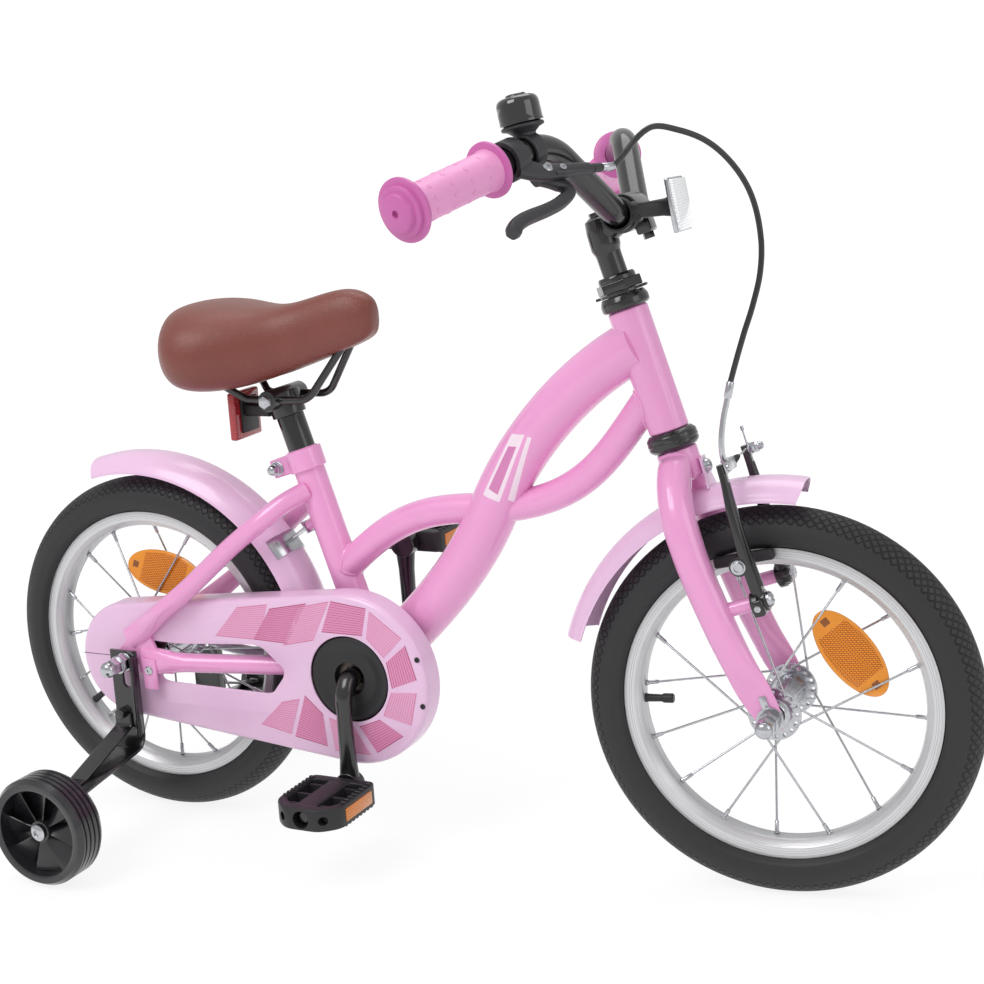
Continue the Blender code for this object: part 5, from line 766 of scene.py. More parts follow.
# Black stoving enamel on steel: deep, with a clean reflection
BLACK_ENAMEL = Finish("black_enamel", "#0F0E10", "#151416", 0.24, coat=0.6, coat_roughness=0.08,
    grain=0.0018, relief=0.00003)
# Zinc plate: bright, with a little haze and mottling
PLATED_STEEL = Finish("plated_steel", "#CFD0D4", "#A9ABB0", 0.2, metallic=1.0, grain=0.0012, relief=0.00002,
    patch=0.004)
# Oiled carbon steel of chain and sprockets: brown-grey and dull
DARK_STEEL = Finish("oiled_steel", "#6B625C", "#4A4440", 0.38, metallic=1.0, grain=0.001, relief=0.00003)
# Soft thermoplastic rubber of the grips: milky pink with a broad sheen
GRIP_RUBBER = Finish("pink_grip_rubber", "#ECA1D1", "#E899CB", 0.44, grain=0.0012, relief=0.00005, coat=0.2,
    coat_roughness=0.35)
# The same rubber darkened to a deeper pink as painted shade, as on the grips' end discs
GRIP_PAINTED_SHADE = Finish("magenta_grip_rubber", "#CF6DB0", "#C763A7", 0.42, grain=0.0012, relief=0.00005, coat=0.2,
    coat_roughness=0.35)
# Glass-filled nylon: matt, with a fine spark-eroded grain
BLACK_NYLON = Finish("black_nylon", "#1B1A1D", "#222124", 0.46, grain=0.0007, relief=0.00005)
# The lever's nylon is greyer, for its grain scatters more light
GREY_NYLON = Finish("grey_black_nylon", "#2C2C2F", "#343437", 0.42, grain=0.0007, relief=0.00005)
# Polished polypropylene of the small wheels: black with a soft sheen
WHEEL_PLASTIC = Finish("black_wheel_polypropylene", "#1F1E21", "#27262A", 0.26, coat=0.4,
    coat_roughness=0.15, grain=0.002, relief=0.00003)
# Black chrome of the bell: mirror-like and very dark
DARK_BOSS = Finish("black_polished_cap", "#121214", "#19191C", 0.08, coat=1.0, coat_roughness=0.03)
# Extruded cable jacket: satin black
CABLE_JACKET = Finish("cable_jacket", "#161618", "#1E1E20", 0.34, grain=0.001, relief=0.00002, coat=0.3)
# Carbon-filled rubber of pads and boot: no shine, slightly chalky
PAD_RUBBER = Finish("brake_block_rubber", "#2A282B", "#343134", 0.7, grain=0.001, relief=0.00008)
# Clear-amber acrylic without prisms, as at the ends of a spoke reflector
AMBER_CLEAR = Finish("amber_clear_acrylic", "#F29A12", "#EC8C0A", 0.14, coat=1.0, coat_roughness=0.03)
# The clip's recess seen through the amber, darker than the lens
AMBER_CLIP = Finish("amber_clip_recess", "#9A5406", "#844604", 0.3, coat=0.6)
# Prism fields, each with a faint painted glow: amber on wheels and pedals, red behind, clear in front
AMBER_SIDE = LensFinish("amber_prisms_sideways", "#EE8C0A", "#9C4A04", 0.22, coat=0.5, coat_roughness=0.1,
    painted_glow=0.1, across=(1.0, 0.0, 0.0))
AMBER_LENS = LensFinish("amber_prisms", "#EE8C0A", "#9C4A04", 0.22, coat=0.5, coat_roughness=0.1, painted_glow=0.1)
RED_LENS = LensFinish("red_prisms", "#C01420", "#5E070C", 0.16, coat=1.0, coat_roughness=0.04, painted_glow=0.08)
CLEAR_LENS = LensFinish("clear_prisms", "#F6F7F8", "#DDE0E3", 0.12, coat=1.0, coat_roughness=0.04, painted_glow=0.16,
    cell=0.0036, depth=0.00005)
# Embossed vinyl of the saddle: leather brown, pebbled, dull
BROWN_COVER = GrainFinish("brown_vinyl_cover", "#834135", "#75382D", 0.38, coat=0.2, coat_roughness=0.3)


def dressed(finish: Finish, *shells: BMesh) -> list[tuple[BMesh, Finish]]:
    """Pair shells with the one finish that they have."""
    return [(shell, finish) for shell in shells]


class Workshop:
    """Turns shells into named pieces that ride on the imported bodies."""

    def __init__(self, frame: dict) -> None:
        """Note which body carries each node, and each node's material slot."""
        groups = frame["record"]["behaviour"]["bodies"]
        self.carrier = {node: body for body, nodes in groups.items() for node in nodes}
        self.slots = {s["node"]: s["material_slot"] for s in frame["record"]["subparts"]}

    def piece(self, name: str, parts: Sequence[tuple[BMesh, Finish]], node: str, replace: bool = True,
            place: Matrix | None = None, crease: float = 34.0) -> bpy.types.Object:
        """Join shells into one piece that rides with a node.

        Args:
            name: Name of the piece.
            parts: Each shell with its finish. The shells are used up.
            node: Node that the piece belongs to.
            replace: Whether the piece stands for the node.
            place: Matrix applied to all points.
            crease: Angle in degrees over which an edge stays sharp.

        Returns:
            The new object.
        """
        finishes: list[Finish] = []
        mesh = bpy.data.meshes.new(name)
        joined = bmesh.new()
        for bm, finish in parts:
            if finish not in finishes:
                finishes.append(finish)
            for face in bm.faces:
                face.material_index = finishes.index(finish)
            step = bpy.data.meshes.new("step")
            bm.to_mesh(step)
            bm.free()
            joined.from_mesh(step)
            bpy.data.meshes.remove(step)
        if place is not None:
            bmesh.ops.transform(joined, matrix=place, verts=joined.verts)
        joined.to_mesh(mesh)
        joined.free()
        for finish in finishes:
            mesh.materials.append(finish.build())
        mesh.shade_smooth()
        mesh.set_sharp_from_angle(angle=math.radians(crease))
        item = linked(name, mesh)
        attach(item, self.carrier[node])
        if replace:
            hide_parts(node)
        LOG.info("%s: %d faces on %s", name, len(mesh.polygons), self.carrier[node])
        return item


@dataclass(frozen=True)
class Layout:
    """Places that every sub-assembly shares."""

    wheelbase: float = 0.6253
    tyre_radius: float = 0.1657
    head_angle: float = math.radians(72.14)
    steer_angle: float = math.radians(7.24)
    fork_rake: float = 0.016
    fork_height: float = 0.2271
    lower_stack: float = 0.0164
    head_tube: float = 0.1055
    upper_cup: float = 0.0125
    locknut: float = 0.0165
    stem_rise: float = 0.0442
    stem_reach: float = 0.0263
    bracket_x: float = 0.2385
    bracket_z: float = 0.166
    seat_angle: float = math.radians(72.54)
    seat_tube: float = 0.208
    seat_radius: float = 0.0143
    crown: float = 0.0172
    boss_height: float = 0.0943
    rim_half: float = 0.0139
    lug_length: float = 0.012

    @property
    def rear_axle(self) -> Vector:
        """Middle of the rear axle."""
        return Vector((0.0, 0.0, self.tyre_radius))

    @property
    def front_axle(self) -> Vector:
        """Middle of the front axle, before the fork is turned."""
        return Vector((self.wheelbase, 0.0, self.tyre_radius))

    @property
    def steer_up(self) -> Vector:
        """Direction of the steering axis."""
        return Vector((-math.cos(self.head_angle), 0.0, math.sin(self.head_angle)))

    @property
    def steer_ahead(self) -> Vector:
        """Direction square to the steering axis, forward."""
        return Vector((math.sin(self.head_angle), 0.0, math.cos(self.head_angle)))

    @property
    def head_low(self) -> float:
        """Foot of the head tube along the steering axis."""
        return self.fork_height + self.lower_stack

    @property
    def head_top(self) -> float:
        """Top of the head tube along the steering axis."""
        return self.head_low + self.head_tube

    @property
    def locknut_low(self) -> float:
        """Foot of the locknut along the steering axis."""
        return self.head_top + self.upper_cup + GAP

    @property
    def bar_along(self) -> float:
        """Height of the handlebar along the steering axis."""
        return self.locknut_low + self.locknut + self.stem_rise

    @property
    def bracket(self) -> Vector:
        """Middle of the bottom bracket."""
        return Vector((self.bracket_x, 0.0, self.bracket_z))

    @property
    def seat_up(self) -> Vector:
        """Direction of the seat tube."""
        return Vector((-math.cos(self.seat_angle), 0.0, math.sin(self.seat_angle)))

    @property
    def seat_ahead(self) -> Vector:
        """Direction square to the seat tube, forward."""
        return Vector((math.sin(self.seat_angle), 0.0, math.cos(self.seat_angle)))

    @property
    def lug_base(self) -> Vector:
        """Root of the mudguard's lug on the seat tube."""
        return self.seat(-0.066, -self.seat_radius + 0.004)

    @property
    def lug_tip(self) -> Vector:
        """End of the mudguard's lug, toward the rear axle."""
        return self.lug_base + (self.rear_axle - self.lug_base).normalized() * self.lug_length

    @property
    def turn(self) -> Matrix:
        """Matrix that turns the steered pieces as they stand at rest."""
        pivot = self.head(self.head_low)
        swing = Matrix.Rotation(self.steer_angle, 4, self.steer_up)
        return Matrix.Translation(pivot) @ swing @ Matrix.Translation(-pivot)

    def head(self, along: float, ahead: float = 0.0, left: float = 0.0) -> Vector:
        """Point in the fork's frame, measured from beside the front axle."""
        foot = self.front_axle - self.steer_ahead * self.fork_rake
        return foot + self.steer_up * along + self.steer_ahead * ahead + LEFT * left

    def seat(self, along: float, ahead: float = 0.0, left: float = 0.0) -> Vector:
        """Point in the seat tube's frame, measured from its top."""
        top = self.bracket + self.seat_up * self.seat_tube
        return top + self.seat_up * along + self.seat_ahead * ahead + LEFT * left


LAY = Layout()


@dataclass(frozen=True)
class Studio:
    """Plain pale floor, soft lamps and the camera at the photograph's angle."""

    eye: tuple[float, float, float] = (1.107, -1.4298, 0.7059)
    azimuth: float = math.radians(27.346)
    elevation: float = math.radians(13.071)
    roll: float = math.radians(-3.753)
    lens: float = 69.56

    def camera(self) -> None:
        """Set the camera where the photograph was taken from."""
        a, e = self.azimuth, self.elevation
        back = Vector((math.sin(a) * math.cos(e), -math.cos(a) * math.cos(e), math.sin(e)))
        right = UP.cross(back).normalized()
        above = back.cross(right)
        right, above = (right * math.cos(self.roll) + above * math.sin(self.roll),
            above * math.cos(self.roll) - right * math.sin(self.roll))
        data = bpy.data.cameras.new("camera")
        data.lens = self.lens
        data.sensor_width = 36.0
        data.clip_start = 0.05
        data.clip_end = 60.0
        item = linked("camera", data)
        item.matrix_world = axes_at(Vector(self.eye), right, above, back)
        bpy.context.scene.camera = item

    def floor(self) -> None:
        """Large pale disc that keeps the shadow and looks white to the camera."""
        bm = bmesh.new()
        bmesh.ops.create_circle(bm, cap_ends=True, segments=96, radius=14.0)
        bmesh.ops.translate(bm, vec=(0.3, 0.0, -0.0004), verts=bm.verts)
        mesh = bpy.data.meshes.new("floor")
        bm.to_mesh(mesh)
        bm.free()
        material = bpy.data.materials.new("matt_paper")
        material.use_nodes = True
        tree = material.node_tree
        tree.nodes.clear()
        rays = add_node(tree, "LightPath")
        paper = add_node(tree, "BsdfDiffuse", {"Color": (0.86, 0.86, 0.87, 1.0)})
        white = add_node(tree, "Emission", {"Color": (1.0, 1.0, 1.0, 1.0), "Strength": 1.08})
        seen = add_node(tree, "Math", {0: rays.outputs["Is Camera Ray"], 1: rays.outputs["Is Glossy Ray"]},
            operation="MAXIMUM")
        spot = add_node(tree, "TexCoord").outputs["Object"]
        away = add_node(tree, "VectorMath", {0: spot, 1: (0.3, 0.0, 0.0)}, operation="DISTANCE")
        fade = add_node(tree, "MapRange", {"Value": away.outputs["Value"], "From Min": 0.6, "From Max": 1.8,
            "To Min": 0.8, "To Max": 1.0})
        share = add_node(tree, "Math", {0: seen.outputs[0], 1: fade.outputs["Result"]}, operation="MULTIPLY")
        both = add_node(tree, "MixShader", {0: share.outputs[0], 1: paper.outputs[0], 2: white.outputs[0]})
        add_node(tree, "OutputMaterial", {"Surface": both.outputs[0]})
        mesh.materials.append(material)
        item = linked("floor", mesh)

    def lamps(self) -> None:
        """Soft boxes: one above on the left of the picture, one weak fill, one behind."""
        a = self.azimuth
        right = Vector((math.cos(a), math.sin(a), 0.0))
        back = Vector((math.sin(a), -math.cos(a), 0.0))
        target = Vector((0.3, 0.0, 0.32))
        for name, across, toward, height, size, power in (("key", -1.5, 1.3, 2.2, 1.5, 34.0),
                ("fill", 2.1, 1.6, 1.2, 1.6, 10.0), ("top", 0.2, -0.9, 2.4, 1.6, 16.0)):
            data = bpy.data.lights.new(name, "AREA")
            data.shape = "SQUARE"
            data.size = size
            data.energy = power
            item = linked(name, data)
            away = right * across + back * toward + UP * height
            item.matrix_world = aim(target + away, away)

    def sky(self) -> None:
        """Even pale surroundings, white to the camera and through clear things."""
        world = bpy.data.worlds.new("studio")
        bpy.context.scene.world = world
        world.use_nodes = True
        tree = world.node_tree
        tree.nodes.clear()
        rays = add_node(tree, "LightPath")
        seen = add_node(tree, "Math", {0: rays.outputs["Is Camera Ray"],
            1: rays.outputs["Is Transmission Ray"]}, operation="MAXIMUM")
        strength = add_node(tree, "MapRange", {"Value": seen.outputs[0], "To Min": 0.62, "To Max": 1.05})
        light = add_node(tree, "Background", {"Color": (1.0, 1.0, 1.0, 1.0),
            "Strength": strength.outputs["Result"]})
        add_node(tree, "OutputWorld", {"Surface": light.outputs[0]})

    def build(self) -> None:
        """Set the whole studio up."""
        bpy.context.scene.view_settings.view_transform = "Standard"
        self.camera()
        self.floor()
        self.lamps()
        self.sky()


@dataclass
class MainFrame:
    """Welded tubes of the frame with their beads, and the seat clamp."""

    main_radius: float = 0.0222
    loop_radius: float = 0.0134
    head_radius: float = 0.017
    crossing: Pair = (0.3688, 0.3177)
    hub_width: float = 0.106
    plate: float = 0.0045
    stay_radius: float = 0.009

    def bend(self, start: Vector, angle: float, pull: float, end: Vector, end_angle: float, end_pull: float,
            count: int) -> list[Vector]:
        """Bezier in the centre plane, from one direction to another."""
        da = Vector((math.cos(math.radians(angle)), 0.0, math.sin(math.radians(angle))))
        db = Vector((math.cos(math.radians(end_angle)), 0.0, math.sin(math.radians(end_angle))))
        return list(interpolate_bezier(start, start + da * pull, end - db * end_pull, end, count))

    def stay(self, points: Sequence[tuple[Vector, float, float]]) -> BMesh:
        """Bent tube whose rear end is pressed flat against the dropout."""
        return skinned(resampled(pressed([p[0] for p in points], [p[1:] for p in points])), 24)

    def left_side(self) -> list[BMesh]:
        """Left dropout and both left stays."""
        out = self.hub_width / 2 + self.plate / 2
        end, bulge, axle = out + 0.0018, self.hub_width / 2 + self.stay_radius + GAP, LAY.tyre_radius
        seat_stay = self.stay([(Vector((0.0015, end, axle + 0.02)), 0.004, 0.0105),
            (Vector((0.02, end + 0.0012, axle + 0.032)), 0.0048, 0.0105),
            (Vector((0.046, bulge, axle + 0.052)), 0.0088, 0.0092),
            (Vector((0.075, bulge - 0.0015, axle + 0.0735)), 0.009, 0.009),
            (Vector((0.1217, 0.051, 0.2801)), 0.009, 0.009), (Vector((0.15, 0.043, 0.3025)), 0.009, 0.009),
            (Vector((0.1685, 0.029, 0.318)), 0.009, 0.009), (LAY.seat(-0.0375, -0.003, 0.011), 0.009, 0.009)])
        chain_stay = self.stay([(Vector((0.015, out + 0.0018, axle)), 0.0038, 0.0125),
            (Vector((0.03, out + 0.0026, axle)), 0.0044, 0.0122),
            (Vector((0.045, out - 0.0002, axle)), 0.0078, 0.0105),
            (Vector((0.062, out - 0.003, axle)), 0.009, 0.009), (Vector((0.1, 0.045, axle)), 0.009, 0.009),
            (Vector((0.15, 0.035, axle)), 0.009, 0.009), (Vector((0.185, 0.0283, axle)), 0.009, 0.009),
            (LAY.bracket + Vector((-0.014, 0.0235, 0.0)), 0.009, 0.009)])
        lips = [(0.024, -0.0125), (0.048, -0.011), (0.048, 0.011), (0.03, 0.0125), (0.021, 0.033),
            (0.008, 0.033)]
        back = circle(0.015, 18, start=math.radians(115.0), end=math.radians(255.0), closed=False)
        place = Matrix.Translation(LAY.rear_axle + LEFT * out) @ Matrix.Rotation(math.pi / 2, 4, "X")
        dropout = sheet_metal(lips + back, self.plate, place, edge=0.0008)
        return [seat_stay, chain_stay, dropout]

    def build(self, shop: Workshop) -> None:
        """Make the frame and its clamp."""
        head_low, tall = LAY.head(LAY.head_low), LAY.head_tube
        cross = Vector((self.crossing[0], 0.0, self.crossing[1]))
        main_start = LAY.head(LAY.head_top - 0.03)
        loop_start = LAY.head(LAY.head_low + 0.0357)
        loop_end = LAY.bracket + LAY.seat_up * 0.0896
        upper = self.bend(main_start, 206.0, 0.066, cross, 244.0, 0.066, 24)
        lower = self.bend(cross, 244.0, 0.066, LAY.bracket, 220.0, 0.064, 24)
        front = self.bend(loop_start, 232.3, 0.0755, cross, 187.0, 0.092, 36)
        rear = self.bend(cross, 182.0, 0.064, loop_end, 224.3, 0.083, 36)
        rim = [(self.head_radius - 0.0012, 0.0), (self.head_radius, 0.0012),
            (self.head_radius, tall - 0.0012), (self.head_radius - 0.0012, tall), (0.015, tall), (0.015, 0.0)]
        tubes = {"main": bar(upper + lower[1:], self.main_radius, 48),
            "head": turned(rim, aim(head_low, LAY.steer_up), 56, True),
            "front": bar(front, self.loop_radius, 36), "rear": bar(rear, self.loop_radius, 36),
            "seat": rod(LAY.bracket, LAY.seat(0.0), LAY.seat_radius, 40),
            "shell": rod(LAY.bracket - LEFT * 0.034, LAY.bracket + LEFT * 0.034, 0.0255, 56, bevel=0.0008)}
        beads = [weld_bead(upper[9], upper[5] - upper[9], self.main_radius, tubes["head"]),
            weld_bead(front[10], front[5] - front[10], self.loop_radius, tubes["head"]),
            weld_bead(lower[-8], lower[-3] - lower[-8], self.main_radius, tubes["shell"]),
            weld_bead(rear[-10], rear[-4] - rear[-10], self.loop_radius, tubes["seat"]),
            weld_bead(LAY.bracket + LAY.seat_up * 0.06, -LAY.seat_up, LAY.seat_radius, tubes["shell"])]
        left = self.left_side()
        tab = LAY.rear_axle + Vector((0.026, -0.0628, -0.011))
        shells = [*tubes.values(), *[b for b in beads if b], *[mirrored(b) for b in left], *left,
            rod(LAY.lug_base, LAY.lug_tip, 0.005, 20)]
        shells.append(block(tab, (0.015, 0.0026, 0.03), None, 0.001))
        screw = turned([(0.0042, -0.001), (0.0042, 0.001), (0.0034, 0.002), (0.0014, 0.0022),
            (0.0012, 0.0012), (0.0, 0.0012)], aim(tab + Vector((0.0, -0.0013, 0.004)), -LEFT), 28)
        shop.piece("frame_tubes", [(b, PINK_PRINTED if b is tubes["main"] else PINK_ENAMEL) for b in shells]
            + [(screw, PLATED_STEEL)], "main_frame")
        self.clamp(shop)

    def clamp(self, shop: Workshop) -> None:
        """Clamp round the seat tube with its bolt and domed nut."""
        height, radius = 0.019, LAY.seat_radius + GAP + 0.0026
        foot = LAY.seat(-height - 0.001)
        ring = plain_ring(radius, LAY.seat_radius + GAP, (0.0, height), 0.0008, aim(foot, LAY.seat_up))
        place = aim(LAY.seat(-0.001 - height / 2), LAY.seat_up, LAY.seat_ahead)
        ears = [block(Vector((-0.0235, s * 0.0054, 0.0)), (0.019, 0.0082, height - 0.002), place, 0.0012, 3)
            for s in (-1.0, 1.0)]
        bolt = place @ Vector((-0.0265, 0.0, 0.0))
        steel = [rod(bolt - LEFT * 0.015, bolt + LEFT * 0.013, 0.0032),
            rod(bolt - LEFT * 0.0155, bolt - LEFT * 0.0098, 0.0062, 6, bevel=0.0004),
            rod(bolt - LEFT * 0.0103, bolt - LEFT * 0.009, 0.0068),
            turned([(0.0048, 0.0), (0.005, 0.003), (0.004, 0.0056), (0.002, 0.0068), (0.0, 0.007)],
            aim(bolt - LEFT * 0.015, -LEFT), 24), rod(bolt + LEFT * 0.009, bolt + LEFT * 0.014, 0.0058,
            bevel=0.0008)]
        shop.piece("seat_clamp_ring", dressed(PINK_ENAMEL, ring, *ears) + dressed(PLATED_STEEL, *steel),
            "seat_clamp")


@dataclass
class Headset:
    """Cups, washer and locknut of the steering bearing."""

    spigot: float = 0.0147
    bore: float = 0.013

    def build(self, shop: Workshop) -> None:
        """Make both cups and the locknut stack."""
        upper = soften([(0.0182, 0.0003), (0.0204, 0.0022), (0.0204, 0.0075), (0.018, 0.0125),
            (self.bore, 0.0125), (self.bore, -0.006), (self.spigot, -0.006), (self.spigot, 0.0003)], 0.0012)
        shop.piece("upper_bearing_cup", [(turned(upper, aim(LAY.head(LAY.head_top), LAY.steer_up), 64, True),
            BLACK_ENAMEL)], "headset_upper_cup")
        lower = soften([(0.0185, -0.0161), (0.0215, -0.013), (0.0215, -0.004), (0.018, -0.0003),
            (self.spigot, -0.0003), (self.spigot, 0.006), (self.bore, 0.006), (self.bore, -0.0161)], 0.0012)
        ring = turned(soften([(0.0214, -0.01), (0.0219, -0.0085), (0.0214, -0.007), (0.02, -0.0085)],
            0.0004), aim(LAY.head(LAY.head_low), LAY.steer_up), 64, True)
        shop.piece("lower_bearing_cup", [(turned(lower, aim(LAY.head(LAY.head_low), LAY.steer_up), 64, True),
            BLACK_ENAMEL), (ring, BLACK_ENAMEL)], "headset_lower_cup")
        low = LAY.locknut_low
        place = aim(LAY.head(low), LAY.steer_up)
        washer = plain_ring(0.0185, 0.0115, (0.0, 0.0026), 0.0005, place, 56)
        nut = rod(LAY.head(low + 0.0028), LAY.head(low + 0.0112), 0.0196, 6, bevel=0.0008)
        collar = turned(soften([(0.0158, 0.0108), (0.0158, 0.0145), (0.0146, 0.0165), (0.011, 0.0165),
            (0.011, 0.0108)], 0.0006), place, 56, True)
        tab = block(Vector((0.0, 0.0, 0.0014)), (0.0452, 0.006, 0.0024),
            aim(LAY.head(low), LAY.steer_up, LAY.steer_ahead), 0.0006)
        shop.piece("locknut_stack", dressed(BLACK_ENAMEL, washer, nut, collar, tab), "headset_locknut",
            place=LAY.turn)


@dataclass
class Fork:
    """Crown, two legs pressed flat at the axle, and the brake bosses."""

    leg_out: float = 0.0506

    def leg(self) -> BMesh:
        """Left leg, round at the crown and flat at the axle."""
        out = self.leg_out
        rows = [(0.2211, -0.001, 0.0078, 0.007, 0.0133), (0.2111, -0.002, 0.019, 0.0143, 0.0143),
            (0.1981, -0.003, 0.033, 0.0143, 0.0143), (0.1831, -0.0035, 0.043, 0.0143, 0.0143),
            (0.1651, -0.0035, 0.0484, 0.0143, 0.0143), (0.135, -0.003, out, 0.0136, 0.014),
            (0.08, 0.0015, out, 0.0125, 0.0138), (0.048, 0.0058, out, 0.0095, 0.0135),
            (0.026, 0.01, out, 0.0038, 0.014), (0.01, 0.0135, out, 0.0026, 0.0125),
            (-0.002, 0.0164, out, 0.0026, 0.0098), (-0.011, 0.0184, out, 0.0026, 0.0045)]
        line = [LAY.head(*row[:3]) for row in rows]
        return skinned(resampled(pressed(line, [row[3:] for row in rows])), 32)

    def build(self, shop: Workshop) -> None:
        """Make the fork."""
        top = LAY.fork_height
        crown = turned(soften([(0.0, -0.026), (LAY.crown - 0.001, -0.026), (LAY.crown, -0.024),
            (LAY.crown, -0.001), (LAY.crown - 0.002, 0.0), (0.0, 0.0)], 0.0015, False),
            aim(LAY.head(top), LAY.steer_up), 56)
        nut = LAY.locknut_low
        bore = rod(LAY.head(nut - 0.06), LAY.head(nut + 0.03), 0.0109, 40)
        steerer = carved(rod(LAY.head(top - 0.005), LAY.head(nut + 0.0145), 0.0127, 40), [bore])
        leg = self.leg()
        out = self.leg_out - 0.004
        boss = rod(LAY.head(LAY.boss_height, 0.0, out), LAY.head(LAY.boss_height, 0.0327, out), 0.006, 28)
        cap = turned([(0.004, -0.015), (0.004, 0.0), (0.0064, 0.0), (0.0064, 0.002), (0.0052, 0.0036),
            (0.0028, 0.0044), (0.002, 0.0036), (0.0, 0.0036)],
            aim(LAY.head(LAY.boss_height, 0.033 + 0.0125, out), LAY.steer_ahead), 28)
        tab = block(ORIGIN, (0.018, 0.009, 0.009), aim(LAY.head(LAY.boss_height, 0.012, out), LAY.steer_up,
            LAY.steer_ahead), 0.0015)
        pink = [crown, steerer, leg, mirrored(leg), boss, mirrored(boss), tab, mirrored(tab)]
        shoulder, root = LAY.head(top - 0.056, -0.0036, 0.04), LAY.head(top - 0.01, -0.001, 0.006)
        seam = weld_bead(shoulder, root - shoulder, 0.014, crown)
        if seam:
            pink += [mirrored(seam), seam]
        shop.piece("fork_blades", dressed(PINK_ENAMEL, *pink)
            + [(cap.copy(), PLATED_STEEL), (mirrored(cap), PLATED_STEEL)], "fork", place=LAY.turn)


@dataclass
class Cockpit:
    """Stem, handlebar, grips, bell, brake lever and front reflector."""

    bar_radius: float = 0.0111
    rise: float = 0.0594
    shoulder: float = 0.107
    setback: float = 0.0311
    half_width: float = 0.2555
    sweep: float = 0.384
    droop: float = 0.267
    grip_start: float = 0.168
    band_bore: float = 0.0114
    middle: Vector = field(default_factory=lambda: LAY.head(LAY.bar_along, LAY.stem_reach))

    def grip_line(self, outward: float, side: float = 1.0) -> Vector:
        """Point on the straight outer part of the handlebar."""
        past = outward - self.shoulder
        return self.middle + Vector((-self.setback - self.sweep * past, side * outward,
            self.rise - self.droop * past))

    @property
    def outward(self) -> Vector:
        """Way out along the left grip."""
        return (self.grip_line(1.0) - self.grip_line(0.0)).normalized()

    @property
    def inboard(self) -> Vector:
        """Way from the right grip to the middle."""
        out = self.outward
        return Vector((-out.x, out.y, -out.z))

    def lever_at(self, inboard: float, forward: float, above: float = 0.0) -> Vector:
        """Point in the plane in which the brake lever swings."""
        ahead = Vector((0.7, 0.0, -0.7))
        reach = (ahead - self.inboard * ahead.dot(self.inboard)).normalized()
        top = reach.cross(self.inboard).normalized()
        return self.grip_line(0.148, -1.0) + self.inboard * inboard + reach * forward + top * above

    def cable_exit(self) -> tuple[Vector, Vector]:
        """Foot and mouth of the barrel that the cable leaves the lever by."""
        return self.lever_at(0.053, 0.0347, 0.0046), self.lever_at(0.068, 0.0394, 0.0046)

    def lever_up(self) -> Vector:
        """Direction of the brake lever's pivot."""
        return (self.lever_at(0.0, 0.0, 1.0) - self.lever_at(0.0, 0.0)).normalized()

    def flat_arm(self, points: Sequence[tuple[float, float, float]], above: float,
            half_thickness: float) -> BMesh:
        """Flat arm through (inboard, forward, half width) points."""
        up = self.lever_up()
        runs = headings([self.lever_at(inboard, forward) for inboard, forward, _ in points])
        stations = [(self.lever_at(inboard, forward, above), run.cross(up) * wide, up * half_thickness)
            for run, (inboard, forward, wide) in zip(runs, points)]
        return skinned(resampled(stations), 24, 3.2)

    def handlebar(self, shop: Workshop) -> None:
        """Bent tube of the handlebar."""
        half = rounded_line([self.middle, self.middle + LEFT * 0.03, self.grip_line(self.shoulder),
            self.grip_line(self.half_width)], [0.03, 0.05], 12)
        line = [Vector((p.x, -p.y, p.z)) for p in half[:0:-1]] + half
        shop.piece("bent_handlebar", [(bar(line, self.bar_radius, 36), BLACK_ENAMEL)], "handlebar",
            place=LAY.turn)

    def stem(self, shop: Workshop) -> None:
        """Quill, neck and clamp of the stem with its two bolts."""
        along, up, ahead = LAY.bar_along, LAY.steer_up, LAY.steer_ahead
        quill_low = LAY.locknut_low + 0.0145 - 0.06
        radius = 0.01055
        neck = skinned([(LAY.head(quill_low), LEFT * radius, ahead * radius),
            *resampled([(LAY.head(along - 0.028), LEFT * radius, ahead * radius),
            (LAY.head(along - 0.0255), LEFT * radius * 1.02, ahead * radius * 1.02),
            (LAY.head(along - 0.021), LEFT * 0.013, ahead * 0.0125),
            (LAY.head(along - 0.006, 0.001), LEFT * 0.0132, ahead * 0.0128),
            (LAY.head(along + 0.003, 0.001), LEFT * 0.0118, ahead * 0.0112),
            (LAY.head(along + 0.0044, 0.001), LEFT * 0.009, ahead * 0.0085)], 4)], 40)
        goose = skinned(resampled([(LAY.head(along - 0.01, 0.002), LEFT * 0.0118, up * 0.0125),
            (LAY.head(along - 0.005, 0.012), LEFT * 0.013, up * 0.0125),
            (LAY.head(along, 0.0263), LEFT * 0.015, up * 0.012)], 5), 32)
        sleeve = plain_ring(0.016, self.band_bore, (-0.02, 0.02), 0.0012, aim(self.middle, LEFT))
        lug = block(ORIGIN, (0.02, 0.013, 0.012), aim(self.middle + ahead * 0.011 - up * 0.015, up, LEFT),
            0.002, 3)
        low = self.middle + ahead * 0.011
        binder = [rod(low - up * 0.026, low - up * 0.02, 0.0048, 6, bevel=0.0004),
            rod(low - up * 0.021, low - up * 0.0195, 0.006)]
        expander = [rod(LAY.head(along + 0.0035), LAY.head(along + 0.005), 0.0072),
            rod(LAY.head(along + 0.0045), LAY.head(along + 0.009), 0.0056, 6, bevel=0.0004)]
        seam = weld_bead(LAY.head(along - 0.004, 0.006), ahead, 0.01, sleeve, 0.0016, 40)
        parts = [neck, goose, sleeve, lug] + ([seam] if seam else [])
        shop.piece("quill_stem", dressed(BLACK_ENAMEL, *parts, *binder, *expander), "stem", place=LAY.turn)

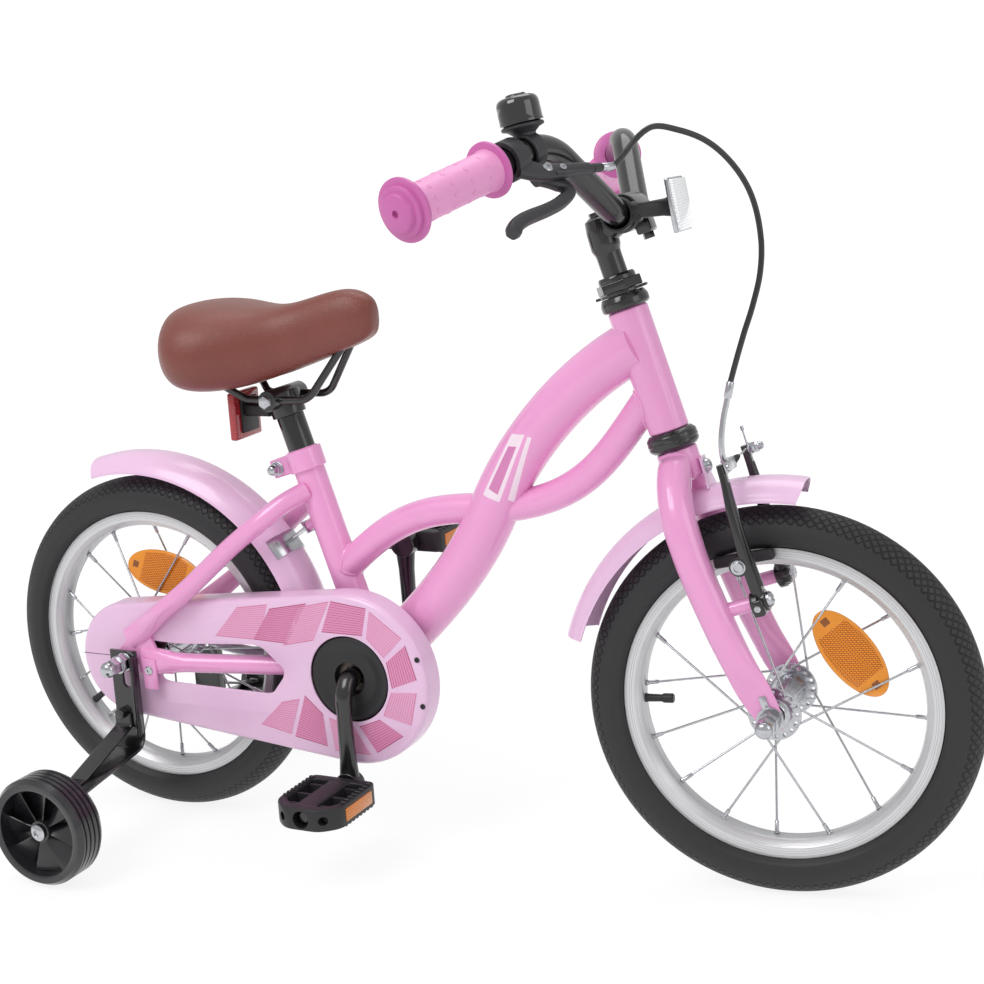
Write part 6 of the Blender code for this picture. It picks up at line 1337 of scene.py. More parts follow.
    def grip(self, shop: Workshop, side: Side) -> None:
        """Ribbed rubber grip with a guard at each end and raised dots."""
        length = (self.grip_line(self.half_width) - self.grip_line(self.grip_start)).length
        bore, r = self.bar_radius + GAP, 0.0152
        inner = [(bore, 0.0), (0.02, 0.0002), (0.0215, 0.0014), (0.0213, 0.0032), (0.02, 0.004),
            (0.015, 0.0044), (bore, 0.0044)]
        barrel = [(bore, 0.0038), (0.0164, 0.0042), (0.0154, 0.0066), (r, 0.01), (r, length - 0.008),
            (0.0158, length - 0.0046), (0.015, length - 0.0036), (bore, length - 0.0036)]
        end = [(bore, length - 0.004), (0.0156, length - 0.0042), (0.0176, length - 0.0034),
            (0.0228, length - 0.0018), (0.024, length), (0.0238, length + 0.0018), (0.0226, length + 0.0026),
            (0.0192, length + 0.0028), (0.0189, length + 0.0038), (0.0189, length + 0.0058),
            (0.018, length + 0.0066), (0.0148, length + 0.0068), (0.0144, length + 0.0078),
            (0.014, length + 0.0102), (0.0128, length + 0.011), (0.003, length + 0.0109),
            (0.0026, length + 0.008), (0.0, length + 0.008), (0.0, length + 0.0016), (bore, length + 0.0014)]
        out = Vector((self.outward.x, side.value * self.outward.y, self.outward.z))
        place = aim(self.grip_line(self.grip_start, side.value), out)
        # The guards at both ends take the deeper pink of painted shade
        discs = dressed(GRIP_PAINTED_SHADE, *(turned(rows, place, 72, True) for rows in (inner, end)))
        dots = []
        for row in range(4):
            for k in range(10):
                turn = math.tau * (k + 0.5 * (row % 2)) / 10
                rise = 0.018 + row * (length - 0.036) / 3
                foot = place @ Vector((math.cos(turn) * (r - 0.0004), math.sin(turn) * (r - 0.0004), rise))
                way = (place.to_3x3() @ Vector((math.cos(turn), math.sin(turn), 0.0))).normalized()
                petals = []
                for p in range(10):
                    reach = 0.0021 if p % 2 == 0 else 0.001
                    petals.append((reach * math.cos(math.tau * p / 10), reach * math.sin(math.tau * p / 10)))
                dots.append(sheet_metal(soften(petals, 0.0003, steps=2), 0.0014, aim(foot, way), edge=0.0))
        shop.piece("grip_sleeve_" + side.word, dressed(GRIP_RUBBER, turned(barrel, place, 72, True), *dots)
            + discs, "grip_" + side.word, place=LAY.turn, crease=42.0)

    def brake_lever(self, shop: Workshop) -> None:
        """Clamp, perch, pivot and blade of the hand brake."""
        pivot = (0.017, 0.0215)
        above, below = 0.0046, -0.0038
        up = self.lever_up()
        ring = plain_ring(0.016, self.band_bore, (-0.007, 0.007), 0.0012,
            aim(self.lever_at(0.0, 0.0), self.inboard))
        perch = self.flat_arm([(-0.004, 0.01, 0.009), (0.004, 0.016, 0.009), (0.014, 0.0225, 0.0072),
            (0.03, 0.0275, 0.006), (0.045, 0.032, 0.0048), (0.056, 0.0356, 0.0042)], above, 0.004)
        slit = self.flat_arm([(0.02, 0.029, 0.0012), (0.034, 0.0335, 0.0011), (0.05, 0.0385, 0.001)],
            above + 0.0032, 0.0014)
        barrel_from, barrel_to = self.cable_exit()
        way = (barrel_to - barrel_from).normalized()
        barrel = turned([(0.0, 0.0), (0.0034, 0.0), (0.0036, 0.0006), (0.0036, 0.006), (0.0029, 0.0064),
            (0.0029, 0.0074), (0.0036, 0.0078), (0.0036, 0.015), (0.003, 0.0158), (0.0, 0.0158)],
            aim(barrel_from, way), 28)
        pins = [rod(self.lever_at(*pivot, -0.0088), self.lever_at(*pivot, above), 0.0028),
            rod(self.lever_at(*pivot, -0.0095), self.lever_at(*pivot, -0.0078), 0.0046, bevel=0.0004),
            turned([(0.0, 0.0), (0.0042, 0.0), (0.0042, 0.001), (0.0032, 0.0018), (0.0016, 0.0018),
            (0.0014, 0.0008), (0.0, 0.0008)], aim(self.lever_at(*pivot, above + 0.0034), up), 24),
            turned([(0.0, 0.0), (0.003, 0.0), (0.0028, 0.0012), (0.0012, 0.0014), (0.0011, 0.0006),
            (0.0, 0.0006)], aim(self.lever_at(0.03, 0.027, above + 0.0036), up), 20)]
        clamp_bolt = rod(self.lever_at(-0.003, -0.006, -0.0165), self.lever_at(-0.003, 0.006, -0.0165),
            0.003, 16, bevel=0.0003)
        shop.piece("lever_perch", dressed(GREY_NYLON, ring, perch, barrel, slit, clamp_bolt)
            + dressed(PLATED_STEEL, *pins), "brake_lever_body", place=LAY.turn)
        blade = self.flat_arm([(0.0105, 0.0215, 0.005), (0.017, 0.0218, 0.0068), (0.028, 0.033, 0.0062),
            (0.03, 0.0415, 0.0055), (0.018, 0.046, 0.005), (0.0, 0.047, 0.0048), (-0.026, 0.0455, 0.0052),
            (-0.039, 0.0468, 0.0056), (-0.046, 0.05, 0.006), (-0.049, 0.0514, 0.0042)], below, 0.0046)
        blade = carved(blade, [rod(self.lever_at(*pivot, -0.02), self.lever_at(*pivot, 0.02), 0.0031, 24)])
        shop.piece("lever_blade", [(blade, GREY_NYLON)], "brake_lever", place=LAY.turn)

    def bell(self, shop: Workshop) -> None:
        """Domed bell with its cap, base and thumb striker."""
        foot = self.grip_line(0.127, -1.0)
        up = Vector((-0.2, 0.0, 0.98)).normalized()
        low, radius = foot + up * 0.0175, 0.0165
        band = plain_ring(0.0142, self.band_bore, (-0.006, 0.006), 0.001, aim(foot, self.inboard))
        pillar = turned([(0.0, -0.006), (0.0085, -0.006), (0.009, -0.004), (0.0125, -0.001), (0.0158, 0.0),
            (0.0166, 0.0008), (0.0166, 0.002), (0.0158, 0.0029), (0.013, 0.003), (0.01, 0.0042),
            (0.0, 0.0042)], aim(low, up), 56)
        spindle = rod(low, low + up * 0.0232, 0.0028, 20)
        shop.piece("bell_stand", dressed(GREY_NYLON, band, pillar, spindle), "bell_base", place=LAY.turn)
        dome = [(radius + 0.0003, 0.0038), (radius + 0.0004, 0.0052), (radius, 0.006), (radius, 0.017),
            (radius * 0.987, 0.0191), (radius * 0.94, 0.0213), (radius * 0.85, 0.023), (radius * 0.7, 0.024),
            (0.0086, 0.0243), (0.0082, 0.024), (0.0079, 0.0244), (0.0078, 0.0254), (0.007, 0.026),
            (0.0, 0.0262), (0.0, 0.0233), (radius * 0.66, 0.0224), (radius - 0.003, 0.0205),
            (radius - 0.0014, 0.0165), (radius - 0.0014, 0.0038)]
        shop.piece("bell_cup", [(turned(dome, aim(low, up), 72, True), DARK_BOSS)], "bell_dome",
            place=LAY.turn)
        side = up.cross(AHEAD).normalized()
        pivot = low + side * 0.01 + up * 0.0052
        thumb = skinned(resampled([(pivot + side * 0.019 - up * 0.0012, AHEAD * 0.005, up * 0.001),
            (pivot + side * 0.008 - up * 0.0006, AHEAD * 0.0035, up * 0.001),
            (pivot + side * 0.003 - up * 0.0004, AHEAD * 0.0028, up * 0.001),
            (pivot, AHEAD * 0.0028, up * 0.0012), (pivot - side * 0.003 + up * 0.003, AHEAD * 0.0022,
            up * 0.0012)], 4), 16, 3.0)
        shop.piece("bell_thumb", [(thumb, BLACK_NYLON)], "bell_striker", place=LAY.turn)

    def reflector(self, shop: Workshop) -> None:
        """Clear front reflector in a plated shell on its black bracket."""
        centre = self.middle + Vector((0.044, 0.0, 0.0055))
        axis = Vector((0.985, 0.0, 0.17)).normalized()
        place = aim(centre, axis, LEFT)
        shell = block(Vector((0.0, 0.0, -0.0014)), (0.046, 0.044, 0.0042), place, 0.0014, 3)
        lens = block(Vector((0.0, 0.0, 0.0012)), (0.043, 0.041, 0.0046), place, 0.0016, 3)
        shop.piece("clear_reflector", [(shell, PLATED_STEEL), (lens, CLEAR_LENS)], "front_reflector",
            place=LAY.turn)
        band = self.middle - LEFT * 0.027
        ring = plain_ring(0.0138, self.band_bore, (-0.005, 0.005), 0.0008, aim(band, LEFT), 40)
        end = centre - axis * 0.0038
        arm = skinned(resampled([(band + Vector((0.012, 0.0, 0.004)), LEFT * 0.005, UP * 0.006),
            (band + Vector((0.019, 0.0, 0.003)), LEFT * 0.005, UP * 0.006),
            (end - axis * 0.006 - LEFT * 0.01, LEFT * 0.009, UP * 0.007),
            (end - LEFT * 0.004, LEFT * 0.011, UP * 0.009)], 4), 20, 3.5)
        ear = rod(band - LEFT * 0.006 + Vector((0.0165, 0.0, -0.003)),
            band + LEFT * 0.006 + Vector((0.0165, 0.0, -0.003)), 0.0036, 24, bevel=0.0005)
        shop.piece("reflector_arm", dressed(BLACK_NYLON, ring, arm, ear), "front_reflector_bracket",
            place=LAY.turn)

    def build(self, shop: Workshop) -> None:
        """Make all that the rider holds or sees."""
        self.handlebar(shop)
        self.stem(shop)
        for side in Side:
            self.grip(shop, side)
        self.brake_lever(shop)
        self.bell(shop)
        self.reflector(shop)


@dataclass
class Wheel:
    """Tyre, rim, laced hub, valve and spoke reflector of one wheel."""

    place_name: str
    axle: Vector
    turn: Matrix
    flange: float
    flange_out: float
    shell: float
    end_out: float
    glint_angle: float
    phase: float
    valve_angle: float
    rim_radius: float = 0.133
    rim_depth: float = 0.015
    section: float = 0.0208
    spokes: int = 16
    glint_out: float = 0.0745
    glint_half: float = 0.042
    prisms_half: float = 0.0245
    clip_out: float = 0.0325

    @property
    def place(self) -> Matrix:
        """Matrix whose Z runs to the right along the axle and whose X points ahead."""
        return aim(self.axle, -LEFT, AHEAD)

    def tyre(self, shop: Workshop) -> None:
        """Tyre with a UV map that runs round it and across it."""
        major = LAY.tyre_radius - self.section
        bead = 0.012
        half = [(self.rim_radius - 0.0045, bead - 0.0016), (self.rim_radius + 0.0004, bead)]
        for degrees in (118, 108, 98, 88, 78, 68, 58, 48, 38, 28, 18, 10):
            a = math.radians(degrees)
            half.append((major + self.section * math.cos(a), self.section * math.sin(a)))
        half.append((LAY.tyre_radius - 0.00002, 0.002))
        profile = half + [(r, -h) for r, h in half[::-1]]
        bm = turned(profile, Matrix.Identity(4), 180, True)
        layer = bm.loops.layers.uv.new("round")
        top = sum((Vector(b) - Vector(a)).length for a, b in zip(profile, profile[1:]))
        marks = [0.0]
        for a, b in zip(profile, profile[1:]):
            marks.append(marks[-1] + (Vector(b) - Vector(a)).length / top)
        table = {(round(r, 6), round(h, 6)): m for (r, h), m in zip(profile, marks)}
        for face in bm.faces:
            middle = face.calc_center_median()
            base = math.atan2(middle.y, middle.x) / math.tau
            for loop in face.loops:
                co = loop.vert.co
                key = (round(math.hypot(co.x, co.y), 6), round(co.z, 6))
                mark = table.get(key)
                if mark is None:
                    mark = min(table.items(), key=lambda kv: abs(kv[0][0] - key[0])
                        + abs(kv[0][1] - key[1]))[1]
                u = math.atan2(co.y, co.x) / math.tau
                u += round(base - u)
                loop[layer].uv = (u, mark)
        bmesh.ops.transform(bm, matrix=self.place, verts=bm.verts)
        rubber = TreadFinish("tyre_rubber", "#262628", "#2C2C2E", 0.54, rough_drift=0.12)
        shop.piece(self.place_name + "_tyre_tread", [(bm, rubber)], self.place_name + "_tyre",
            place=self.turn, crease=60.0)

    def rim(self, shop: Workshop) -> None:
        """Deep channel with a braking band, nipple seats and the valve."""
        r, half, deep = self.rim_radius, LAY.rim_half, self.rim_depth
        outer = [(r, half - 0.0003), (r - 0.0008, half), (r - 0.009, half - 0.0006),
            (r - 0.01, half - 0.0016), (r - deep + 0.001, 0.008), (r - deep, 0.0064), (r - deep, 0.0)]
        loop = outer + [(a, -b) for a, b in outer[-2::-1]]
        loop += [(r - 0.0002, -half + 0.0015), (r - deep + 0.0016, -0.0062), (r - deep + 0.0016, 0.0062),
            (r - 0.0002, half - 0.0015)]
        metal = LatheFinish(self.place_name + "_satin_aluminium", "#EDEDED", "#DEDEDF", 0.34, metallic=0.6,
            centre=tuple(self.turn @ self.axle), axis=tuple((self.turn.to_3x3() @ LEFT).normalized()))
        ring = turned(loop, self.place, 180, True)
        shells = [(ring, metal)]
        a = math.radians(self.valve_angle)
        way = self.place.to_3x3() @ Vector((math.cos(a), math.sin(a), 0.0))
        seat = self.axle + way * (r - deep + 0.0004)
        valve = turned([(0.0, -0.0004), (0.004, 0.0), (0.0034, 0.003), (0.0031, 0.015), (0.0038, 0.0156),
            (0.0041, 0.017), (0.0041, 0.024), (0.0034, 0.025), (0.0, 0.0252)], aim(seat, -way), 28)
        shells.append((valve, BLACK_NYLON))
        shop.piece(self.place_name + "_rim_channel", shells, self.place_name + "_rim", place=self.turn)

    def hub(self, shop: Workshop) -> None:
        """Hub shell with drilled flanges, spokes and their nipples."""
        half, out, end = 0.00125, self.flange_out, self.end_out
        side = soften([(0.0092, end), (0.0105, end - 0.0012), (self.shell + 0.0012, out + half + 0.0014),
            (self.shell + 0.0012, out - half - 0.0014), (self.shell - 0.0008, out - 0.009),
            (self.shell - 0.0008, 0.0)], 0.0008, False)
        loop = side + [(a, -b) for a, b in side[-2::-1]]
        loop += [(0.0053, -end), (0.0053, end)]
        shells = [(turned(loop, self.place, 64, True), PLATED_STEEL)]
        for s in (-1.0, 1.0):
            holes = [circle(self.shell - 0.0004, 40)]
            for k in range(self.spokes):
                a = math.tau * k / self.spokes + self.phase + 0.12
                holes.append(circle(0.0014, 12, ((self.flange - 0.0034) * math.cos(a),
                    (self.flange - 0.0034) * math.sin(a))))
            shells.append((sheet_metal(circle(self.flange, 64), 2 * half,
                self.place @ Matrix.Translation((0.0, 0.0, s * out)), holes, 0.0004), PLATED_STEEL))
            shells.append((plain_ring(0.0094, 0.0054, (end - 0.004, end + 0.0001), 0.0004,
                self.place @ Matrix.Scale(s, 4, UP), 40), PAD_RUBBER))
        hole, count = self.flange - 0.0028, self.spokes
        tip = self.rim_radius - self.rim_depth - 0.0004
        for k in range(count):
            s, pair = (1.0 if k % 2 else -1.0), k // 2
            hub_angle = math.tau * k / count + self.phase
            rim_angle = hub_angle + math.radians(45.0 if pair % 2 else -45.0)
            offset = s * (self.flange_out + (0.0012 if pair % 2 else -0.0012))
            start = self.place @ Vector((hole * math.cos(hub_angle), hole * math.sin(hub_angle), offset))
            seat = self.place @ Vector((tip * math.cos(rim_angle), tip * math.sin(rim_angle), s * 0.003))
            way = (seat - start).normalized()
            shells.append((rod(start, seat, 0.001, 12), PLATED_STEEL))
            nipple = [(0.0, 0.0), (0.0013, 0.0), (0.0017, 0.0006), (0.0018, 0.009), (0.0024, 0.0094),
                (0.0024, 0.011), (0.0, 0.011)]
            shells.append((turned(nipple, aim(seat - way * 0.0105, way), 14), PLATED_STEEL))
            shells.append((ball(start, 0.0018, sides=12), PLATED_STEEL))
        shop.piece(self.place_name + "_laced_hub", shells, self.place_name + "_hub", place=self.turn)

    def glint(self, shop: Workshop) -> None:
        """Oval reflector clipped inside the spokes."""
        rim_end = self.rim_radius - self.rim_depth
        slope = (self.flange_out - 0.003) / (rim_end - self.flange)
        offset = self.flange_out - slope * (self.glint_out - self.flange) - 0.0067
        frame = self.place @ Matrix.Rotation(self.glint_angle, 4, "Z")
        spot = Matrix.Translation((self.glint_out, 0.0, offset))
        place = frame @ spot @ Matrix.Rotation(math.atan(slope), 4, "Y")
        edge = self.prisms_half
        oval = [(x * 0.02, y * self.glint_half) for x, y in circle(1.0, 64)]
        middle = [(x * 0.0172, max(-edge, min(edge, y * 0.0386))) for x, y in circle(1.0, 64)]
        shells = [(sheet_metal(oval, 0.0046, place, edge=0.0012, segments=3), AMBER_CLEAR),
            (sheet_metal(middle, 0.0052, place, edge=0.0004), AMBER_SIDE)]
        for y in (-self.clip_out, self.clip_out):
            shells.append((block(Vector((0.0, y, 0.0)), (0.0066, 0.0066, 0.0052), place, 0.0006), AMBER_CLIP))
        shop.piece(self.place_name + "_amber_oval", shells, self.place_name + "_spoke_reflector",
            place=self.turn)

    def build(self, shop: Workshop) -> None:
        """Make the whole wheel."""
        self.tyre(shop)
        self.rim(shop)
        self.hub(shop)
        self.glint(shop)


@dataclass
class Mudguards:
    """Moulded blades over both wheels with rolled lips, and the rear strap."""

    radius: float = 0.1897
    half_width: float = 0.026
    drop: float = 0.014
    wall: float = 0.0013

    def blade(self, axle: Vector, angles: Pair, steps: int) -> BMesh:
        """Curved blade over a wheel, between two angles measured up from ahead."""
        arch = []
        for k in range(13):
            t = k / 12
            arch.append((self.half_width * t, self.radius - self.drop * t ** 2.6 * (0.75 + 0.25 * t)))
        lip = arch[-1]
        arch += [(lip[0] + 0.0007, lip[1] - 0.0006), (lip[0] + 0.001, lip[1] - 0.003)]
        section = [(-a, r) for a, r in arch[:0:-1]] + arch
        bm = bmesh.new()
        first, last = (math.radians(a) for a in angles)
        verts = [bm.verts.new((r * math.cos(first), r * math.sin(first), a)) for a, r in section]
        edges = [bm.edges.new(pair) for pair in zip(verts, verts[1:])]
        bmesh.ops.spin(bm, geom=verts + edges, cent=(0.0, 0.0, 0.0), axis=(0.0, 0.0, 1.0),
            dvec=(0.0, 0.0, 0.0), angle=last - first, steps=steps)
        for vert in bm.verts:
            angle = math.atan2(vert.co.y, vert.co.x)
            share = (angle - first) / (last - first)
            far = abs(vert.co.z) / self.half_width
            pull = 0.012 * max(far - 0.55, 0.0) ** 2 / 0.2
            near = min(abs(share), abs(1.0 - share)) * (last - first)
            if near < 0.05:
                sign = 1.0 if share < 0.5 else -1.0
                turn = Matrix.Rotation(sign * pull * (1.0 - near / 0.05), 4, "Z")
                vert.co = turn @ vert.co
        bmesh.ops.recalc_face_normals(bm, faces=bm.faces)
        shell = bmesh.new()
        mesh = bpy.data.meshes.new("blade")
        bm.to_mesh(mesh)
        bm.free()
        item = linked("blade", mesh)
        thick = item.modifiers.new("Wall", "SOLIDIFY")
        thick.thickness = self.wall
        thick.offset = 0.0
        made = evaluated(item)
        shell.from_mesh(made)
        bpy.data.objects.remove(item)
        bpy.data.meshes.remove(mesh)
        bpy.data.meshes.remove(made)
        bmesh.ops.transform(shell, matrix=aim(axle, -LEFT, AHEAD), verts=shell.verts)
        bmesh.ops.recalc_face_normals(shell, faces=shell.faces)
        return shell

    def build(self, shop: Workshop) -> None:
        """Make both mudguards and the strap."""
        ahead = LAY.crown + GAP + 0.0011
        top = LAY.fork_height - 0.012
        tongue = skinned(resampled([(LAY.head(self.radius - 0.0006, ahead), LEFT * 0.015,
            LAY.steer_ahead * 0.0011), (LAY.head(self.radius + 0.008, ahead), LEFT * 0.0105,
            LAY.steer_ahead * 0.0011), (LAY.head(top, ahead), LEFT * 0.0085, LAY.steer_ahead * 0.0011)], 6),
            32, 5.0)
        bolt = turned([(0.0, 0.0), (0.007, 0.0), (0.007, 0.0012), (0.0056, 0.0014), (0.005, 0.004),
            (0.0034, 0.005), (0.002, 0.005), (0.0018, 0.0034), (0.0, 0.0034)],
            aim(LAY.head(top - 0.0085, ahead + 0.0004), LAY.steer_ahead), 32)
        blade = self.blade(LAY.front_axle, (83.0, 164.0), 60)
        shop.piece("front_mudguard_blade", [(blade, PINK_SOFT), (tongue, PINK_SOFT), (bolt, PLATED_STEEL)],
            "front_mudguard", place=LAY.turn, crease=50.0)
        shop.piece("rear_mudguard_blade", [(self.blade(LAY.rear_axle, (11.0, 106.5), 72), PINK_SOFT)],
            "rear_mudguard", crease=50.0)
        tip = LAY.lug_tip
        angle = math.atan2(tip.z - LAY.rear_axle.z, tip.x)
        frame = aim(LAY.rear_axle, -LEFT, AHEAD) @ Matrix.Rotation(angle, 4, "Z")
        low = self.wall / 2 + GAP
        arch = []
        for k in range(11):
            t = 0.86 * k / 10
            arch.append((self.radius - self.drop * t ** 2.6 * (0.75 + 0.25 * t) + low, self.half_width * t))
        inner = [(r, -a) for r, a in arch[:0:-1]] + arch
        outer = [(r + 0.0014, a * 1.03) for r, a in inner]
        strap = sheet_metal(inner + outer[::-1], 0.02, frame @ Matrix.Rotation(math.pi / 2, 4, "X"),
            edge=0.0003)
        reach = (tip - LAY.rear_axle).length
        tab = block(Vector(((self.radius + reach - GAP) / 2 + 0.0008, 0.0, 0.0)),
            (reach - GAP - self.radius - 0.0016, 0.0026, 0.012), frame, 0.0004)
        foot = block(Vector((reach - GAP - 0.0008, 0.0, 0.0)), (0.0016, 0.012, 0.013), frame, 0.0004)
        screw = rod(frame @ Vector((reach - 0.004, 0.0, 0.0)), frame @ Vector((reach - 0.0016, 0.0, 0.0)),
            0.0042, 6)
        shop.piece("mudguard_strap", dressed(PLATED_STEEL, strap, tab, foot, screw), "rear_mudguard_bracket")


@dataclass
class Axles:
    """Front and rear axles with their washers, nuts and domed ends."""

    radius: float = 0.0048

    def end(self, axle: Vector, side: float, rows: Sequence[Pair], nut: Pair, washer: Pair,
            washer_radius: float) -> list[BMesh]:
        """One end of an axle, from the hub outward."""
        place = aim(axle, LEFT * side)
        body = turned(rows, place, 36)
        disc = plain_ring(washer_radius, self.radius, washer, 0.0003, place, 40)
        way = LEFT * side
        seat = nut[0] + 0.0078
        hexagon = rod(axle + way * nut[0], axle + way * seat, 0.009, 6, bevel=0.0006)
        collar = rod(axle + way * seat, axle + way * (seat + 0.0022), 0.0088, 36, bevel=0.0004)
        cap = rod(axle + way * (seat + 0.0024), axle + way * nut[1], 0.0082, 6, bevel=0.0006)
        dome = turned([(0.0076, nut[1] - 0.0004), (0.0074, nut[1] + 0.001), (0.0064, nut[1] + 0.0032),
            (0.0046, nut[1] + 0.0048), (0.0022, nut[1] + 0.0055), (0.0, nut[1] + 0.0057)], place, 36)
        return [body, disc, hexagon, collar, cap, dome]

    def build(self, shop: Workshop) -> None:
        """Make both axles."""
        front = []
        for side in (-1.0, 1.0):
            rows = [(0.0, 0.0), (self.radius, 0.0), (self.radius, 0.0408), (0.0075, 0.0408),
                (0.0088, 0.0423), (0.0088, 0.0477), (self.radius, 0.0477), (self.radius, 0.076), (0.0, 0.076)]
            front += self.end(LAY.front_axle, side, rows, (0.0551, 0.0785), (0.0535, 0.0551), 0.0112)
            hook = block(ORIGIN, (0.006, 0.016, 0.0014), aim(LAY.front_axle + LEFT * side * 0.0543
                + LAY.steer_up * 0.013, LEFT, LAY.steer_ahead), 0.0005)
            front.append(hook)
        shop.piece("front_spindle", dressed(PLATED_STEEL, *front), "front_axle", place=LAY.turn)
        rear = []
        for side, start in ((-1.0, 0.046), (1.0, 0.043)):
            rows = [(0.0, 0.0), (self.radius, 0.0), (self.radius, start + GAP), (0.0075, start + GAP),
                (0.0088, start + 0.0018), (0.0088, 0.0527), (self.radius, 0.0527), (self.radius, 0.0578),
                (0.0085, 0.0578), (0.0085, 0.0622), (self.radius, 0.0622), (self.radius, 0.09), (0.0, 0.09)]
            rear += self.end(LAY.rear_axle, side, rows, (0.0674, 0.0922), (0.0658, 0.0674), 0.009)
        rear.append(rod(LAY.rear_axle + LEFT * 0.0373, LAY.rear_axle + LEFT * 0.0397, 0.0085, 32))
        shop.piece("rear_spindle", dressed(PLATED_STEEL, *rear), "rear_axle")


